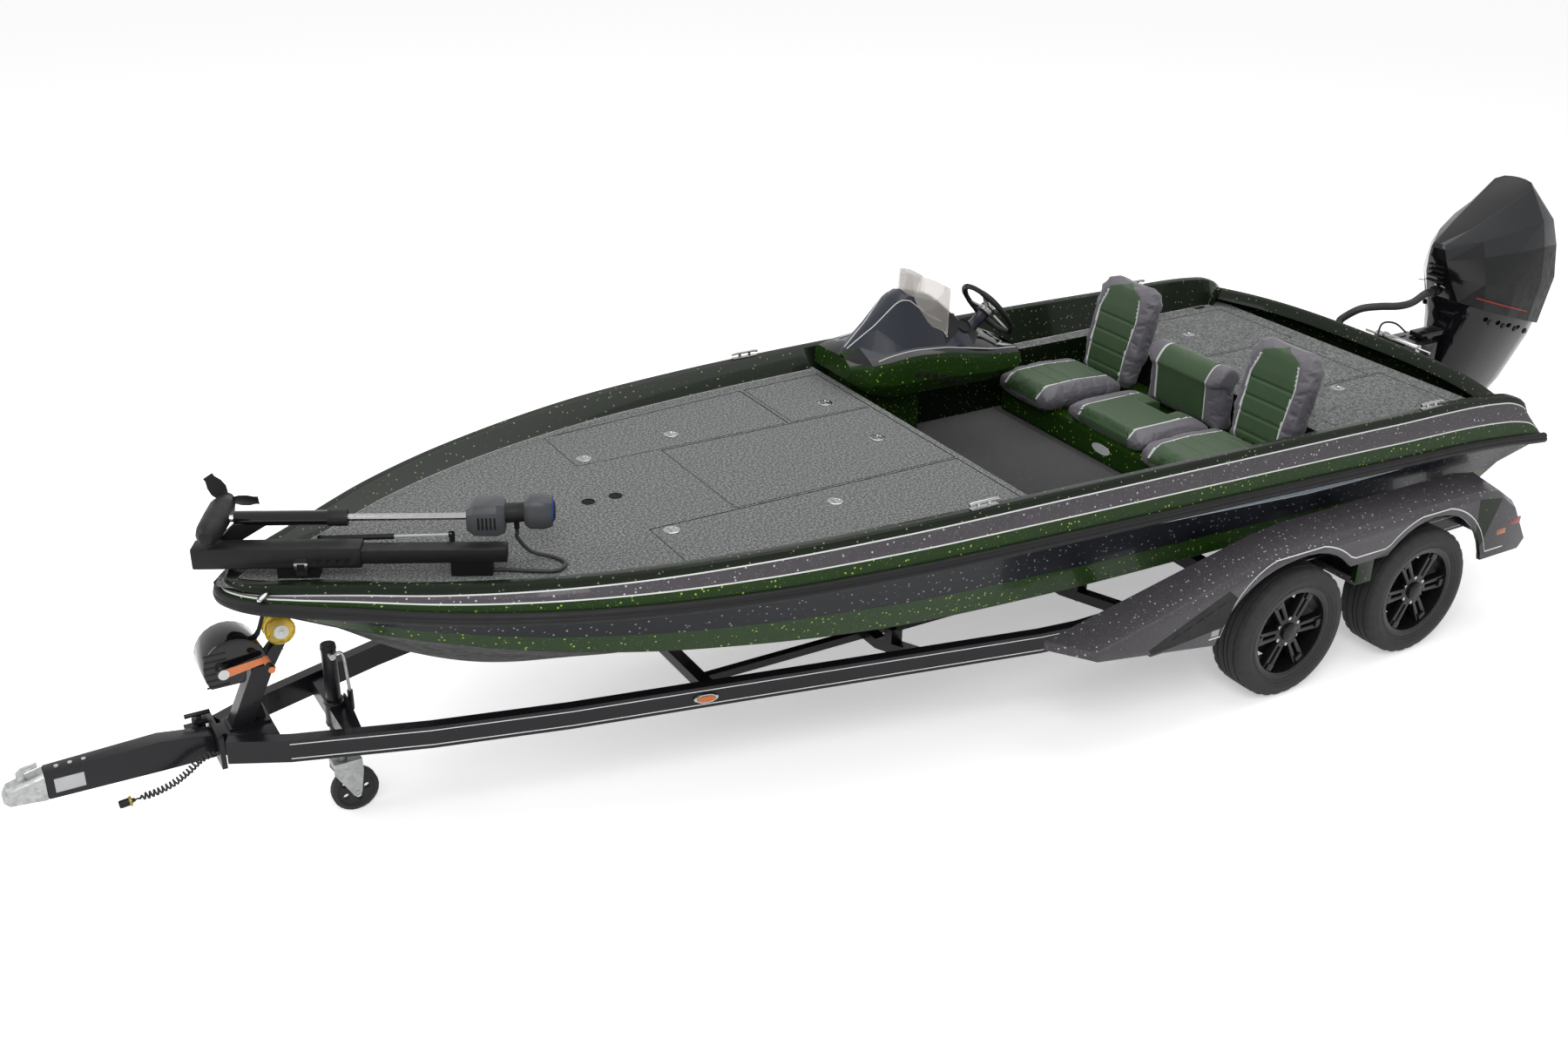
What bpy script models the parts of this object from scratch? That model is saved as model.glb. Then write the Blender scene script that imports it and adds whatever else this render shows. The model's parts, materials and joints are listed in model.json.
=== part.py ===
"""Bass boat on its tandem-axle trailer, modelled in metres with +Z up.

X runs from the bow (-X) to the stern (+X), port is -Y, and the ground is Z = 0. While the
pieces are placed, X = 0 lies midway between the trailer's two axles; at the end everything
hangs from one empty that is moved so that the whole object is centred over the origin.
"""
import bpy
import bmesh
import math
from collections import namedtuple
from mathutils import Matrix, Vector

# Fits shared by all pieces
GAP = 0.0003                 # clearance between pieces that touch
MERGE = 0.00005              # welding distance for turned shapes

# Boat: sheer line, deck levels and walls
FRONT_DECK_Z = 1.20
AFT_DECK_Z = 1.10
DECK_AFT_X = -1.80           # aft edge of the front deck
AFT_DECK_X = 0.10            # forward edge of the aft deck
TRANSOM_X = 1.15
COCKPIT_HALF_WIDTH = 0.90
COCKPIT_FLOOR_Z = 0.78
GUNWALE_TUMBLE = 0.035       # how far the cap's side leans in
GUNWALE_CREST = 0.055        # flat width of the crest
GUNWALE_SLOPE = 0.07         # width of the inner slope down to the deck
SIDE_KNEE = 0.45             # height of the topside's knuckle, as a share of the topside
SIDE_FLARE = 0.40            # the knuckle's reach outboard, as a share of the flare
RAIL_OUT = 0.030             # rub rail's projection
RAIL_HALF_HEIGHT = 0.026

# Lids
LID_THICKNESS = 0.022
LID_GAP = 0.006              # open joint round a lid, for the 5 mm running clearance
LID_LEDGE = 0.022            # landing under a lid's edge
LID_HINGE_RISE = 0.003       # hinge axis above the deck, so that the lid's edge swings inward
WELL_DEPTH = 0.26
SEAT_BACK_LIFT = 0.006       # brings the reclined back's lower edge onto the seat box
SOLE_Z = COCKPIT_FLOOR_Z + GAP   # what stands on the cockpit floor starts here

# Trailer
WHEEL_X = 0.44               # axle stations, fore and aft of X = 0
TYRE_RADIUS = 0.340
TYRE_WIDTH = 0.225
TYRE_OUTER_Y = 1.287
RIM_RADIUS = 0.245
FRAME_Z = 0.455              # underside of the side rails
RAIL_HEIGHT = 0.102
RAIL_WIDTH = 0.051
FENDER_OUTER_Y = 1.290
FENDER_INNER_Y = 1.088
FENDER_WALL = 0.022
FENDER_TOP_Z = 0.818         # at the outer edge
FENDER_CROWN = 0.040         # how much higher the inner edge is
FENDER_LOW_Z = 0.430
SKIRT_Z = 0.635              # lower edge of the skirt between the wheels
ARCH_RADIUS = 0.430
ARCH_FLARE = 0.120           # how far the front arch opens forward at its foot
SPINDLE_RADIUS = 0.045
CROSSMEMBER_X = (-3.15, -2.25, -1.15, 1.10)
CROSSMEMBER_WIDTH = 0.060
BUNK_Y = 0.52
BUNK_LOW_Z = 0.497
SPINE_Y = 0.30               # light bars that tie the crossmembers together
TONGUE_HINGE_X = -5.225
TONGUE_HINGE_Y = 0.085
LUG_RADIUS = 0.024           # rounded eye of the tongue about its hinge pin
HINGE_CLEARANCE = 0.006      # between the hinge's plates and the tongue that swings between them
HINGE_PLATE = 0.014
COUPLER_TIP_X = -5.985

# Jack
JACK_X = -4.700
JACK_TUBE_RADIUS = 0.031
JACK_LEG_RADIUS = 0.0255
JACK_FIT = 0.0005
CASTER_RADIUS = 0.1016
CASTER_TRAIL = 0.045

# Outboard motor
MOTOR_X = 1.640              # tilt tube
MOTOR_TILT_Z = 1.045
STEER_X = 1.735              # swivel axis
SWIVEL_PIN_RADIUS = 0.020
PROP_SHAFT_RADIUS = 0.014
PROP_Z = 0.340
PROP_RADIUS = 0.185

# Trolling motor, laid along the port bow
TROLL_PIVOT = Vector((-5.060, 0.165, 1.285))
TROLL_HEADING = math.radians(-27.0)
TROLL_SHAFT_RISE = 0.115     # the shaft's axis above the pivot

# Helm
HELM_Y = 0.660
HELM_WHEEL_RADIUS = 0.165
HELM_RAKE = math.radians(38.0)
SCREEN_THICKNESS = 0.005

Station = namedtuple("Station", "x keel chine_y chine_z sheer_y sheer_z rise deck")
STATIONS = [
    Station(-5.105, 1.118, 0.012, 1.124, 0.040, 1.150, 0.060, FRONT_DECK_Z),
    Station(-5.080, 1.105, 0.030, 1.114, 0.105, 1.150, 0.068, FRONT_DECK_Z),
    Station(-5.020, 1.082, 0.060, 1.100, 0.185, 1.149, 0.075, FRONT_DECK_Z),
    Station(-4.900, 1.033, 0.110, 1.070, 0.275, 1.146, 0.085, FRONT_DECK_Z),
    Station(-4.700, 0.915, 0.220, 1.010, 0.405, 1.142, 0.098, FRONT_DECK_Z),
    Station(-4.400, 0.712, 0.420, 0.965, 0.596, 1.136, 0.116, FRONT_DECK_Z),
    Station(-4.100, 0.572, 0.590, 0.930, 0.745, 1.130, 0.132, FRONT_DECK_Z),
    Station(-3.700, 0.478, 0.735, 0.890, 0.890, 1.124, 0.150, FRONT_DECK_Z),
    Station(-3.200, 0.455, 0.845, 0.835, 1.010, 1.118, 0.172, FRONT_DECK_Z),
    Station(-2.600, 0.455, 0.915, 0.775, 1.085, 1.110, 0.188, FRONT_DECK_Z),
    Station(DECK_AFT_X, 0.458, 0.950, 0.740, 1.130, 1.098, 0.204, FRONT_DECK_Z),
    Station(DECK_AFT_X + 0.01, 0.458, 0.950, 0.740, 1.130, 1.098, 0.204, AFT_DECK_Z),
    Station(-0.800, 0.462, 0.968, 0.722, 1.158, 1.076, 0.216, AFT_DECK_Z),
    Station(0.200, 0.466, 0.975, 0.712, 1.174, 1.045, 0.228, AFT_DECK_Z),
    Station(TRANSOM_X, 0.470, 0.980, 0.708, 1.190, 1.000, 0.240, AFT_DECK_Z),
]

Lid = namedtuple("Lid", "name x0 x1 y0_fwd y0_aft y1_fwd y1_aft deck")
LIDS = [
    Lid("lid_front_port", -3.41, -1.84, -0.738, -0.865, -0.372, -0.372, FRONT_DECK_Z),
    Lid("lid_front_centre", -2.99, -1.84, -0.350, -0.350, 0.350, 0.350, FRONT_DECK_Z),
    Lid("lid_front_starboard", -3.41, -2.31, 0.372, 0.372, 0.738, 0.840, FRONT_DECK_Z),
    Lid("lid_helm_starboard", -2.28, -1.84, 0.372, 0.372, 0.840, 0.865, FRONT_DECK_Z),
    Lid("lid_aft_port", 0.24, 1.04, -0.900, -0.900, -0.330, -0.330, AFT_DECK_Z),
    Lid("lid_aft_centre", 0.24, 0.96, -0.305, -0.305, 0.305, 0.305, AFT_DECK_Z),
    Lid("lid_aft_starboard", 0.24, 1.04, 0.330, 0.330, 0.900, 0.900, AFT_DECK_Z),
]

Finish = namedtuple("Finish", "name colour roughness metallic")
FINISHES = [
    Finish("hull_flake", (0.010, 0.014, 0.022), 0.18, 0.3),
    Finish("cap_flake", (0.16, 0.16, 0.17), 0.25, 0.4),
    Finish("green_flake", (0.020, 0.075, 0.012), 0.22, 0.4),
    Finish("carpet", (0.16, 0.165, 0.165), 0.95, 0.0),
    Finish("rub_rail", (0.07, 0.07, 0.075), 0.45, 0.0),
    Finish("black_plastic", (0.018, 0.018, 0.020), 0.50, 0.0),
    Finish("black_gloss", (0.010, 0.010, 0.012), 0.15, 0.0),
    Finish("frame_paint", (0.030, 0.031, 0.034), 0.40, 0.2),
    Finish("zinc", (0.55, 0.55, 0.56), 0.35, 0.9),
    Finish("tyre_rubber", (0.020, 0.020, 0.021), 0.80, 0.0),
    Finish("rim_black", (0.015, 0.015, 0.016), 0.35, 0.3),
    Finish("yellow_roller", (0.85, 0.62, 0.05), 0.25, 0.0),
    Finish("vinyl", (0.035, 0.085, 0.035), 0.55, 0.0),
    Finish("smoke_clear", (0.60, 0.57, 0.54), 0.10, 0.0),
    Finish("motor_grey", (0.045, 0.045, 0.048), 0.30, 0.1),
]

PARTS = None
CUTTERS = None
MATERIALS = {}


def clear_scene():
    """Remove the objects of the start-up scene and make the two collections."""
    global PARTS, CUTTERS
    for old in list(bpy.data.objects):
        bpy.data.objects.remove(old, do_unlink=True)
    PARTS = bpy.data.collections.new("bass_boat")
    CUTTERS = bpy.data.collections.new("cutters")
    for group in (PARTS, CUTTERS):
        bpy.context.scene.collection.children.link(group)


def make_materials():
    for finish in FINISHES:
        mat = bpy.data.materials.new(finish.name)
        mat.use_nodes = True
        shader = mat.node_tree.nodes["Principled BSDF"]
        shader.inputs["Base Color"].default_value = (*finish.colour, 1.0)
        shader.inputs["Roughness"].default_value = finish.roughness
        shader.inputs["Metallic"].default_value = finish.metallic
        MATERIALS[finish.name] = mat


def new_object(name, mesh, finish=None, location=(0, 0, 0), rotation=(0, 0, 0)):
    """Put a mesh in the scene: with a finish it is a part, without one it is a cutter."""
    obj = bpy.data.objects.new(name, mesh)
    obj.location = location
    obj.rotation_euler = rotation
    if finish is None:
        CUTTERS.objects.link(obj)
        obj.hide_render = True
        obj.display_type = "WIRE"
    else:
        PARTS.objects.link(obj)
        if not mesh.materials:
            mesh.materials.append(MATERIALS[finish])
    return obj


def mesh_from(bm, name, smooth=None):
    """Turn a bmesh into a mesh with its faces pointing out."""
    bmesh.ops.recalc_face_normals(bm, faces=bm.faces)
    mesh = bpy.data.meshes.new(name)
    bm.to_mesh(mesh)
    bm.free()
    if smooth:
        mesh.shade_smooth()
        mesh.set_sharp_from_angle(angle=math.radians(smooth))
    return mesh


def box_mesh(name, size, centre=(0, 0, 0)):
    bm = bmesh.new()
    bmesh.ops.create_cube(bm, size=1.0)
    bmesh.ops.scale(bm, vec=Vector(size), verts=bm.verts)
    bmesh.ops.translate(bm, vec=Vector(centre), verts=bm.verts)
    return mesh_from(bm, name)


def span_box(name, low, high):
    """A box given by its lowest and highest corners."""
    size = [b - a for a, b in zip(low, high)]
    centre = [(a + b) / 2 for a, b in zip(low, high)]
    return box_mesh(name, size, centre)


def rod_mesh(name, start, end, radius, sides=20, end_radius=None):
    """A solid round bar, or a cone, between two points."""
    start, end = Vector(start), Vector(end)
    bm = bmesh.new()
    length = (end - start).length
    bmesh.ops.create_cone(bm, cap_ends=True, segments=sides, radius1=radius,
                          radius2=radius if end_radius is None else end_radius, depth=length)
    turn = (end - start).to_track_quat("Z", "Y").to_matrix().to_4x4()
    bmesh.ops.transform(bm, matrix=Matrix.Translation((start + end) / 2) @ turn, verts=bm.verts)
    return mesh_from(bm, name, smooth=40)


def prism_mesh(name, outline, low, high, axis="Y"):
    """A flat outline, extruded from low to high along one axis."""
    place = {"Y": lambda a, b, h: (a, h, b), "Z": lambda a, b, h: (a, b, h),
             "X": lambda a, b, h: (h, a, b)}[axis]
    bm = bmesh.new()
    ends = [[bm.verts.new(place(a, b, h)) for a, b in outline] for h in (low, high)]
    join_rings(bm, ends)
    return mesh_from(bm, name)


def join_rings(bm, rings):
    """Skin closed rings of equal length one to the next and cap both ends."""
    count = len(rings[0])
    for first, second in zip(rings, rings[1:]):
        for i in range(count):
            j = (i + 1) % count
            bm.faces.new((first[i], first[j], second[j], second[i]))
    bm.faces.new(rings[0])
    bm.faces.new(rings[-1])


def loft_mesh(name, rings, smooth=None):
    """A closed body through rings of points, in flat triangles."""
    bm = bmesh.new()
    join_rings(bm, [[bm.verts.new(p) for p in ring] for ring in rings])
    bmesh.ops.triangulate(bm, faces=bm.faces)
    return mesh_from(bm, name, smooth)


def sweep_mesh(name, path, width, height, centred=False):
    """A rectangular bar along a path in plan, mitred at its bends; path points are its
    underside's middle, or its axis if it is centred."""
    rings = []
    path = [Vector(p) for p in path]
    drop = -height / 2 if centred else 0.0
    for i, point in enumerate(path):
        before = path[max(i - 1, 0)]
        after = path[min(i + 1, len(path) - 1)]
        inward = (point - before).normalized() if i else (after - point).normalized()
        outward = (after - point).normalized() if i < len(path) - 1 else inward
        along = (inward + outward).normalized()
        side = Vector((-along.y, along.x, 0)).normalized()
        turn = Vector((-inward.y, inward.x, 0)).normalized().dot(side)
        reach = side * (width / 2 / max(turn, 0.5))
        low, high = Vector((0, 0, drop)), Vector((0, 0, drop + height))
        rings.append([point - reach + low, point + reach + low, point + reach + high,
                      point - reach + high])
    return loft_mesh(name, rings)


def turned_mesh(name, profile, steps=32):
    """A profile of (radius, height) turned about Z, closed on itself or at the axis."""
    bm = bmesh.new()
    verts = [bm.verts.new((r, 0, z)) for r, z in profile]
    closed = profile[0][0] > 0
    for a, b in zip(verts, verts[1:] + (verts[:1] if closed else [])):
        bm.edges.new((a, b))
    mesh = bpy.data.meshes.new(name)
    bm.to_mesh(mesh)
    bm.free()
    obj = new_object(name + "_profile", mesh)
    screw = obj.modifiers.new("turn", "SCREW")
    screw.axis = "Z"
    screw.steps = steps
    screw.render_steps = steps
    screw.use_merge_vertices = True
    screw.merge_threshold = MERGE
    result = baked(obj, name)
    bm = bmesh.new()
    bm.from_mesh(result)
    bmesh.ops.remove_doubles(bm, verts=bm.verts, dist=MERGE)
    return mesh_from(bm, name, smooth=35)


def tube_mesh(name, points, radius, resolution=2):
    """A round tube through the points, closed at both ends."""
    curve = bpy.data.curves.new(name, "CURVE")
    curve.dimensions = "3D"
    curve.bevel_depth = radius
    curve.bevel_resolution = resolution
    curve.use_fill_caps = True
    spline = curve.splines.new("POLY")
    spline.points.add(len(points) - 1)
    for knot, point in zip(spline.points, points):
        knot.co = (*point, 1.0)
    obj = new_object(name + "_curve", curve)
    result = baked(obj, name)
    bm = bmesh.new()
    bm.from_mesh(result)
    bmesh.ops.remove_doubles(bm, verts=bm.verts, dist=MERGE)
    return mesh_from(bm, name, smooth=50)


def smooth_route(points, per_span=6):
    """Points on a smooth curve through the route's own points."""
    pts = [Vector(p) for p in points]
    pts = [pts[0] * 2 - pts[1]] + pts + [pts[-1] * 2 - pts[-2]]
    route = []
    for i in range(1, len(pts) - 2):
        p0, p1, p2, p3 = pts[i - 1:i + 3]
        for k in range(per_span):
            t = k / per_span
            route.append(0.5 * (2 * p1 + (p2 - p0) * t + (2 * p0 - 5 * p1 + 4 * p2 - p3) * t * t
                                + (3 * p1 - p0 - 3 * p2 + p3) * t ** 3))
    route.append(pts[-2])
    return route


def baked(obj, name):
    """Evaluate an object's modifiers into a new mesh and remove the object."""
    bpy.context.view_layer.update()
    depsgraph = bpy.context.evaluated_depsgraph_get()
    mesh = bpy.data.meshes.new_from_object(obj.evaluated_get(depsgraph))
    mesh.name = name
    bpy.data.objects.remove(obj, do_unlink=True)
    return mesh


def combine(base, other, operation):
    """Boolean of two meshes that share a frame; returns a new mesh."""
    target = new_object(base.name + "_work", base)
    tool = new_object(other.name + "_tool", other)
    mod = target.modifiers.new(operation.lower(), "BOOLEAN")
    mod.operation = operation
    mod.solver = "EXACT"
    mod.object = tool
    result = baked(target, base.name)
    bpy.data.objects.remove(tool, do_unlink=True)
    return result


def union(base, *others):
    for other in others:
        base = combine(base, other, "UNION")
    return base


def cut(base, *others):
    for other in others:
        base = combine(base, other, "DIFFERENCE")
    return base


def rounded(mesh, width, segments=2, angle=30.0):
    """The mesh with its sharp edges rounded."""
    obj = new_object(mesh.name + "_round", mesh)
    bevel = obj.modifiers.new("round", "BEVEL")
    bevel.width = width
    bevel.segments = segments
    bevel.limit_method = "ANGLE"
    bevel.angle_limit = math.radians(angle)
    return baked(obj, mesh.name)


def moved(mesh, matrix):
    """A copy of a mesh, transformed."""
    copy = mesh.copy()
    copy.transform(matrix)
    if matrix.is_negative:
        copy.flip_normals()
    return copy


def mirrored(mesh):
    """A copy of a mesh on the boat's other side."""
    return moved(mesh, Matrix.Scale(-1, 4, (0, 1, 0)))


def part(name, mesh, finish, pivot=(0.0, 0.0, 0.0)):
    """Add a sub-part; a moving one gets its origin at pivot, on its joint's axis."""
    mesh.name = name
    mesh.materials.clear()
    mesh.transform(Matrix.Translation(-Vector(pivot)))
    return new_object(name, mesh, finish, location=pivot)


def sheer_at(x):
    """Half breadth and height of the sheer line at a station along the boat."""
    for a, b in zip(STATIONS, STATIONS[1:]):
        if a.x <= x <= b.x:
            t = (x - a.x) / (b.x - a.x)
            return a.sheer_y + (b.sheer_y - a.sheer_y) * t, a.sheer_z + (b.sheer_z - a.sheer_z) * t
    last = STATIONS[-1]
    return last.sheer_y, last.sheer_z


def half_ring(x, half):
    """A closed ring from a half section that starts and ends near the centre plane."""
    starboard = [(x, y, z) for y, z in half]
    port = [(x, -y, z) for y, z in reversed(half) if y > 0]
    return starboard + port


def cockpit_cutter():
    """The open space between the two decks, down to the cockpit floor."""
    low = (DECK_AFT_X, -COCKPIT_HALF_WIDTH, COCKPIT_FLOOR_Z)
    high = (AFT_DECK_X, COCKPIT_HALF_WIDTH, 1.60)
    return span_box("cockpit_space", low, high)


def lid_outline(lid, margin):
    """Plan outline of a lid, grown by a margin."""
    return [(lid.x0 - margin, lid.y0_fwd - margin), (lid.x1 + margin, lid.y0_aft - margin),
            (lid.x1 + margin, lid.y1_aft + margin), (lid.x0 - margin, lid.y1_fwd + margin)]


def lid_hinge(lid):
    """A point on the lid's hinge axis and the way the axis runs; the lid opens by turning
    about it by the right-hand rule. The centre lids hinge forward, the others outboard."""
    z = lid.deck + LID_HINGE_RISE
    if "centre" in lid.name:
        return (lid.x0, 0.0, z), (0.0, -1.0, 0.0)
    if lid.y1_fwd > 0:
        edge = Vector((lid.x0 - lid.x1, lid.y1_fwd - lid.y1_aft, 0.0))
        return (lid.x0, lid.y1_fwd, z), tuple(edge.normalized())
    edge = Vector((lid.x1 - lid.x0, lid.y0_aft - lid.y0_fwd, 0.0))
    return (lid.x0, lid.y0_fwd, z), tuple(edge.normalized())


def lid_wells():
    """For each lid, the rebate that it lies in and the locker below it."""
    cutters = []
    for lid in LIDS:
        bottom = lid.deck - LID_THICKNESS - GAP
        cutters.append(prism_mesh(lid.name + "_rebate", lid_outline(lid, LID_GAP), bottom,
                                  lid.deck + 0.05, "Z"))
        cutters.append(prism_mesh(lid.name + "_well", lid_outline(lid, -LID_LEDGE),
                                  lid.deck - WELL_DEPTH, bottom + 0.001, "Z"))
    return cutters


def hull_mesh():
    """The whole hull below the sheer line, before its spaces are cut."""
    rings = []
    for s in STATIONS:
        if s.x == DECK_AFT_X + 0.01:
            continue
        side_y = s.chine_y + (s.sheer_y - s.chine_y) * SIDE_FLARE
        side_z = s.chine_z + (s.sheer_z - s.chine_z) * SIDE_KNEE
        half = [(0.0, s.keel), (s.chine_y * 0.94, s.chine_z - 0.010), (s.chine_y, s.chine_z),
                (side_y, side_z), (s.sheer_y - GAP, s.sheer_z)]
        rings.append(half_ring(s.x, half))
    return loft_mesh("hull", rings)


def hull():
    return part("hull", cut(hull_mesh(), cockpit_cutter(), *lid_wells()), "hull_flake")


def deck_cap():
    rings = []
    for s in STATIONS:
        b, low, top = s.sheer_y, s.sheer_z + GAP, s.sheer_z + s.rise
        k = min(1.0, b / 0.30)
        lean, crest, slope = GUNWALE_TUMBLE * k, GUNWALE_CREST * k, GUNWALE_SLOPE * k
        deck = min(s.deck, top - 0.012)
        half = [(b - GAP, low), (b - lean * 0.5, low + s.rise * 0.60), (b - lean, top - 0.018),
                (b - lean - 0.2 * crest, top), (b - lean - crest, top),
                (b - lean - crest - slope, deck)]
        rings.append(half_ring(s.x, half))
    body = loft_mesh("deck_cap", rings)
    return part("deck_cap", cut(body, cockpit_cutter(), *lid_wells()), "cap_flake")


def rub_rail():
    """One strip from the port quarter round the bow to the starboard quarter."""
    plan = [(s.x, s.sheer_y, s.sheer_z) for s in STATIONS if s.x != DECK_AFT_X + 0.01]
    nose = (STATIONS[0].x - 0.004, 0.0, STATIONS[0].sheer_z)
    path = [Vector((x, -y, z)) for x, y, z in reversed(plan)] + [Vector(nose)]
    path += [Vector(p) for p in plan]
    section = [(GAP, -RAIL_HALF_HEIGHT), (RAIL_OUT * 0.8, -RAIL_HALF_HEIGHT * 0.7),
               (RAIL_OUT, 0.0), (RAIL_OUT * 0.8, RAIL_HALF_HEIGHT * 0.7), (GAP, RAIL_HALF_HEIGHT)]
    rings = []
    for i, point in enumerate(path):
        before, after = path[max(i - 1, 0)], path[min(i + 1, len(path) - 1)]
        first = (point - before) if i else (after - point)
        second = (after - point) if i < len(path) - 1 else first
        n1 = Vector((first.y, -first.x, 0)).normalized()
        n2 = Vector((second.y, -second.x, 0)).normalized()
        mitre = (n1 + n2).normalized()
        mitre /= max(mitre.dot(n1), 0.4)
        rings.append([point + mitre * -out + Vector((0, 0, up)) for out, up in section])
    rings = [[p + (path[i] - p) * 0 for p in ring] for i, ring in enumerate(rings)]
    return part("rub_rail", loft_mesh("rub_rail", flip_out(rings, path)), "rub_rail")


def flip_out(rings, path):
    """Turn the strip's section to the outboard side if the walk put it inboard."""
    if rings[0][2].y < path[0].y:
        return rings
    return [[path[i] * 2 - p + Vector((0, 0, 2 * (p.z - path[i].z))) for p in ring]
            for i, ring in enumerate(rings)]


def lids():
    for lid in LIDS:
        mesh = prism_mesh(lid.name, lid_outline(lid, 0.0), lid.deck - LID_THICKNESS, lid.deck, "Z")
        part(lid.name, mesh, "carpet", lid_hinge(lid)[0])


def console_mesh():
    outline = [(-1.74, SOLE_Z), (-1.76, 1.24), (-1.70, 1.36), (-1.44, 1.56), (-1.34, 1.58),
               (-1.20, 1.50), (-1.08, 1.36), (-0.74, 1.24), (-0.70, 1.14), (-1.02, 1.06),
               (-1.10, SOLE_Z)]
    return rounded(prism_mesh("console", outline, 0.42, COCKPIT_HALF_WIDTH - GAP), 0.015)


def console():
    column = rod_mesh("column", (0, 0, -0.150), (0, 0, -0.030 - GAP), 0.030, 16)
    part("console", union(console_mesh(), moved(column, helm_frame())), "green_flake")


def windshield():
    """A curved smoked screen that stands on the console's crown."""
    rings = []
    for k in range(9):
        angle = math.radians(-80 + 20 * k)
        reach_y, reach_x = math.sin(angle), math.cos(angle)
        top_z = 1.60 + 0.16 * max(reach_x, 0.0) ** 0.6
        ring = []
        for r, z in ((0.24, 1.46), (0.16, top_z), (0.16 - SCREEN_THICKNESS, top_z),
                     (0.24 - SCREEN_THICKNESS, 1.46)):
            ring.append((-1.24 - r * 0.75 * reach_x, HELM_Y + r * reach_y, z))
        rings.append(ring)
    form = moved(console_mesh(), Matrix.Translation((0, 0, GAP)))
    part("windshield", cut(loft_mesh("windshield", rings, smooth=60), form), "smoke_clear")


def helm_frame():
    """Placement of the steering wheel: its axis leans back towards the driver."""
    return Matrix.Translation((-0.96, HELM_Y, 1.435)) @ Matrix.Rotation(math.pi / 2 - HELM_RAKE, 4, "Y")


def steering_wheel():
    rim = bmesh.new()
    segments, ring_sides, thick = 32, 8, 0.014
    rings = []
    for k in range(segments):
        a = 2 * math.pi * k / segments
        ring = []
        for j in range(ring_sides):
            b = 2 * math.pi * j / ring_sides
            r = HELM_WHEEL_RADIUS + thick * math.cos(b)
            ring.append(rim.verts.new((r * math.cos(a), r * math.sin(a), thick * math.sin(b))))
        rings.append(ring)
    for first, second in zip(rings, rings[1:] + rings[:1]):
        for j in range(ring_sides):
            n = (j + 1) % ring_sides
            rim.faces.new((first[j], first[n], second[n], second[j]))
    body = mesh_from(rim, "steering_wheel", smooth=60)
    hub = rod_mesh("hub", (0, 0, -0.030), (0, 0, 0.012), 0.045, 16)
    spokes = []
    for k in range(3):
        turn = Matrix.Rotation(math.radians(90 + 120 * k), 4, "Z")
        spokes.append(moved(box_mesh("spoke", (0.14, 0.026, 0.010), (0.100, 0, -0.004)), turn))
    body = union(body, hub, *spokes)
    place = helm_frame()
    part("steering_wheel", moved(body, place), "black_plastic", place.translation)


def seat_pad(name, low, high, radius):
    return part(name, rounded(span_box(name, low, high), radius, 3), "vinyl")


def seats():
    """Two bucket seats and a centre seat on one moulded box."""
    box = span_box("seat_box", (-0.62, -0.86, SOLE_Z), (AFT_DECK_X - 0.004, 0.86, 0.93))
    part("seat_box", rounded(box, 0.02), "green_flake")
    base = 0.93 + GAP
    for side, name in ((-1, "port"), (1, "starboard")):
        centre = side * 0.575
        seat_pad("seat_cushion_" + name, (-0.72, centre - 0.235, base),
                 (-0.18, centre + 0.235, base + 0.13), 0.04)
        back = rounded(span_box("back", (-0.065, -0.235, 0.0), (0.065, 0.235, 0.56)), 0.04, 3)
        lean = Matrix.Translation((-0.095, centre, base + SEAT_BACK_LIFT)) @ Matrix.Rotation(math.radians(14), 4, "Y")
        part("seat_back_" + name, moved(back, lean), "vinyl")
    seat_pad("seat_cushion_centre", (-0.60, -0.325, base), (-0.14, 0.325, base + 0.10), 0.03)
    seat_pad("seat_back_centre", (-0.10, -0.25, base), (0.04, 0.25, base + 0.36), 0.04)


def side_rail_path(side):
    """Underside middle of one side rail, from the tongue to the stern."""
    points = [(-5.160, 0.090), (-4.938, 0.198), (-4.412, 0.372), (-3.858, 0.515), (-1.750, 0.960),
              (-1.550, 0.985), (1.230, 0.985)]
    return [(x, side * y, FRAME_Z) for x, y in points]


def frame_half_width(x):
    """Inner half width between the side rails."""
    points = side_rail_path(1)
    for a, b in zip(points, points[1:]):
        if a[0] <= x <= b[0]:
            t = (x - a[0]) / (b[0] - a[0])
            half = RAIL_WIDTH / 2 * math.hypot(b[1] - a[1], b[0] - a[0]) / (b[0] - a[0])
            return a[1] + (b[1] - a[1]) * t - half
    return points[-1][1] - RAIL_WIDTH / 2


def between_rails(name, x0, x1, low, high):
    """A plate that fits between the two side rails."""
    near, far = frame_half_width(x0) - 2 * GAP, frame_half_width(x1) - 2 * GAP
    return prism_mesh(name, [(x0, -near), (x1, -far), (x1, far), (x0, near)], low, high, "Z")


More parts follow.
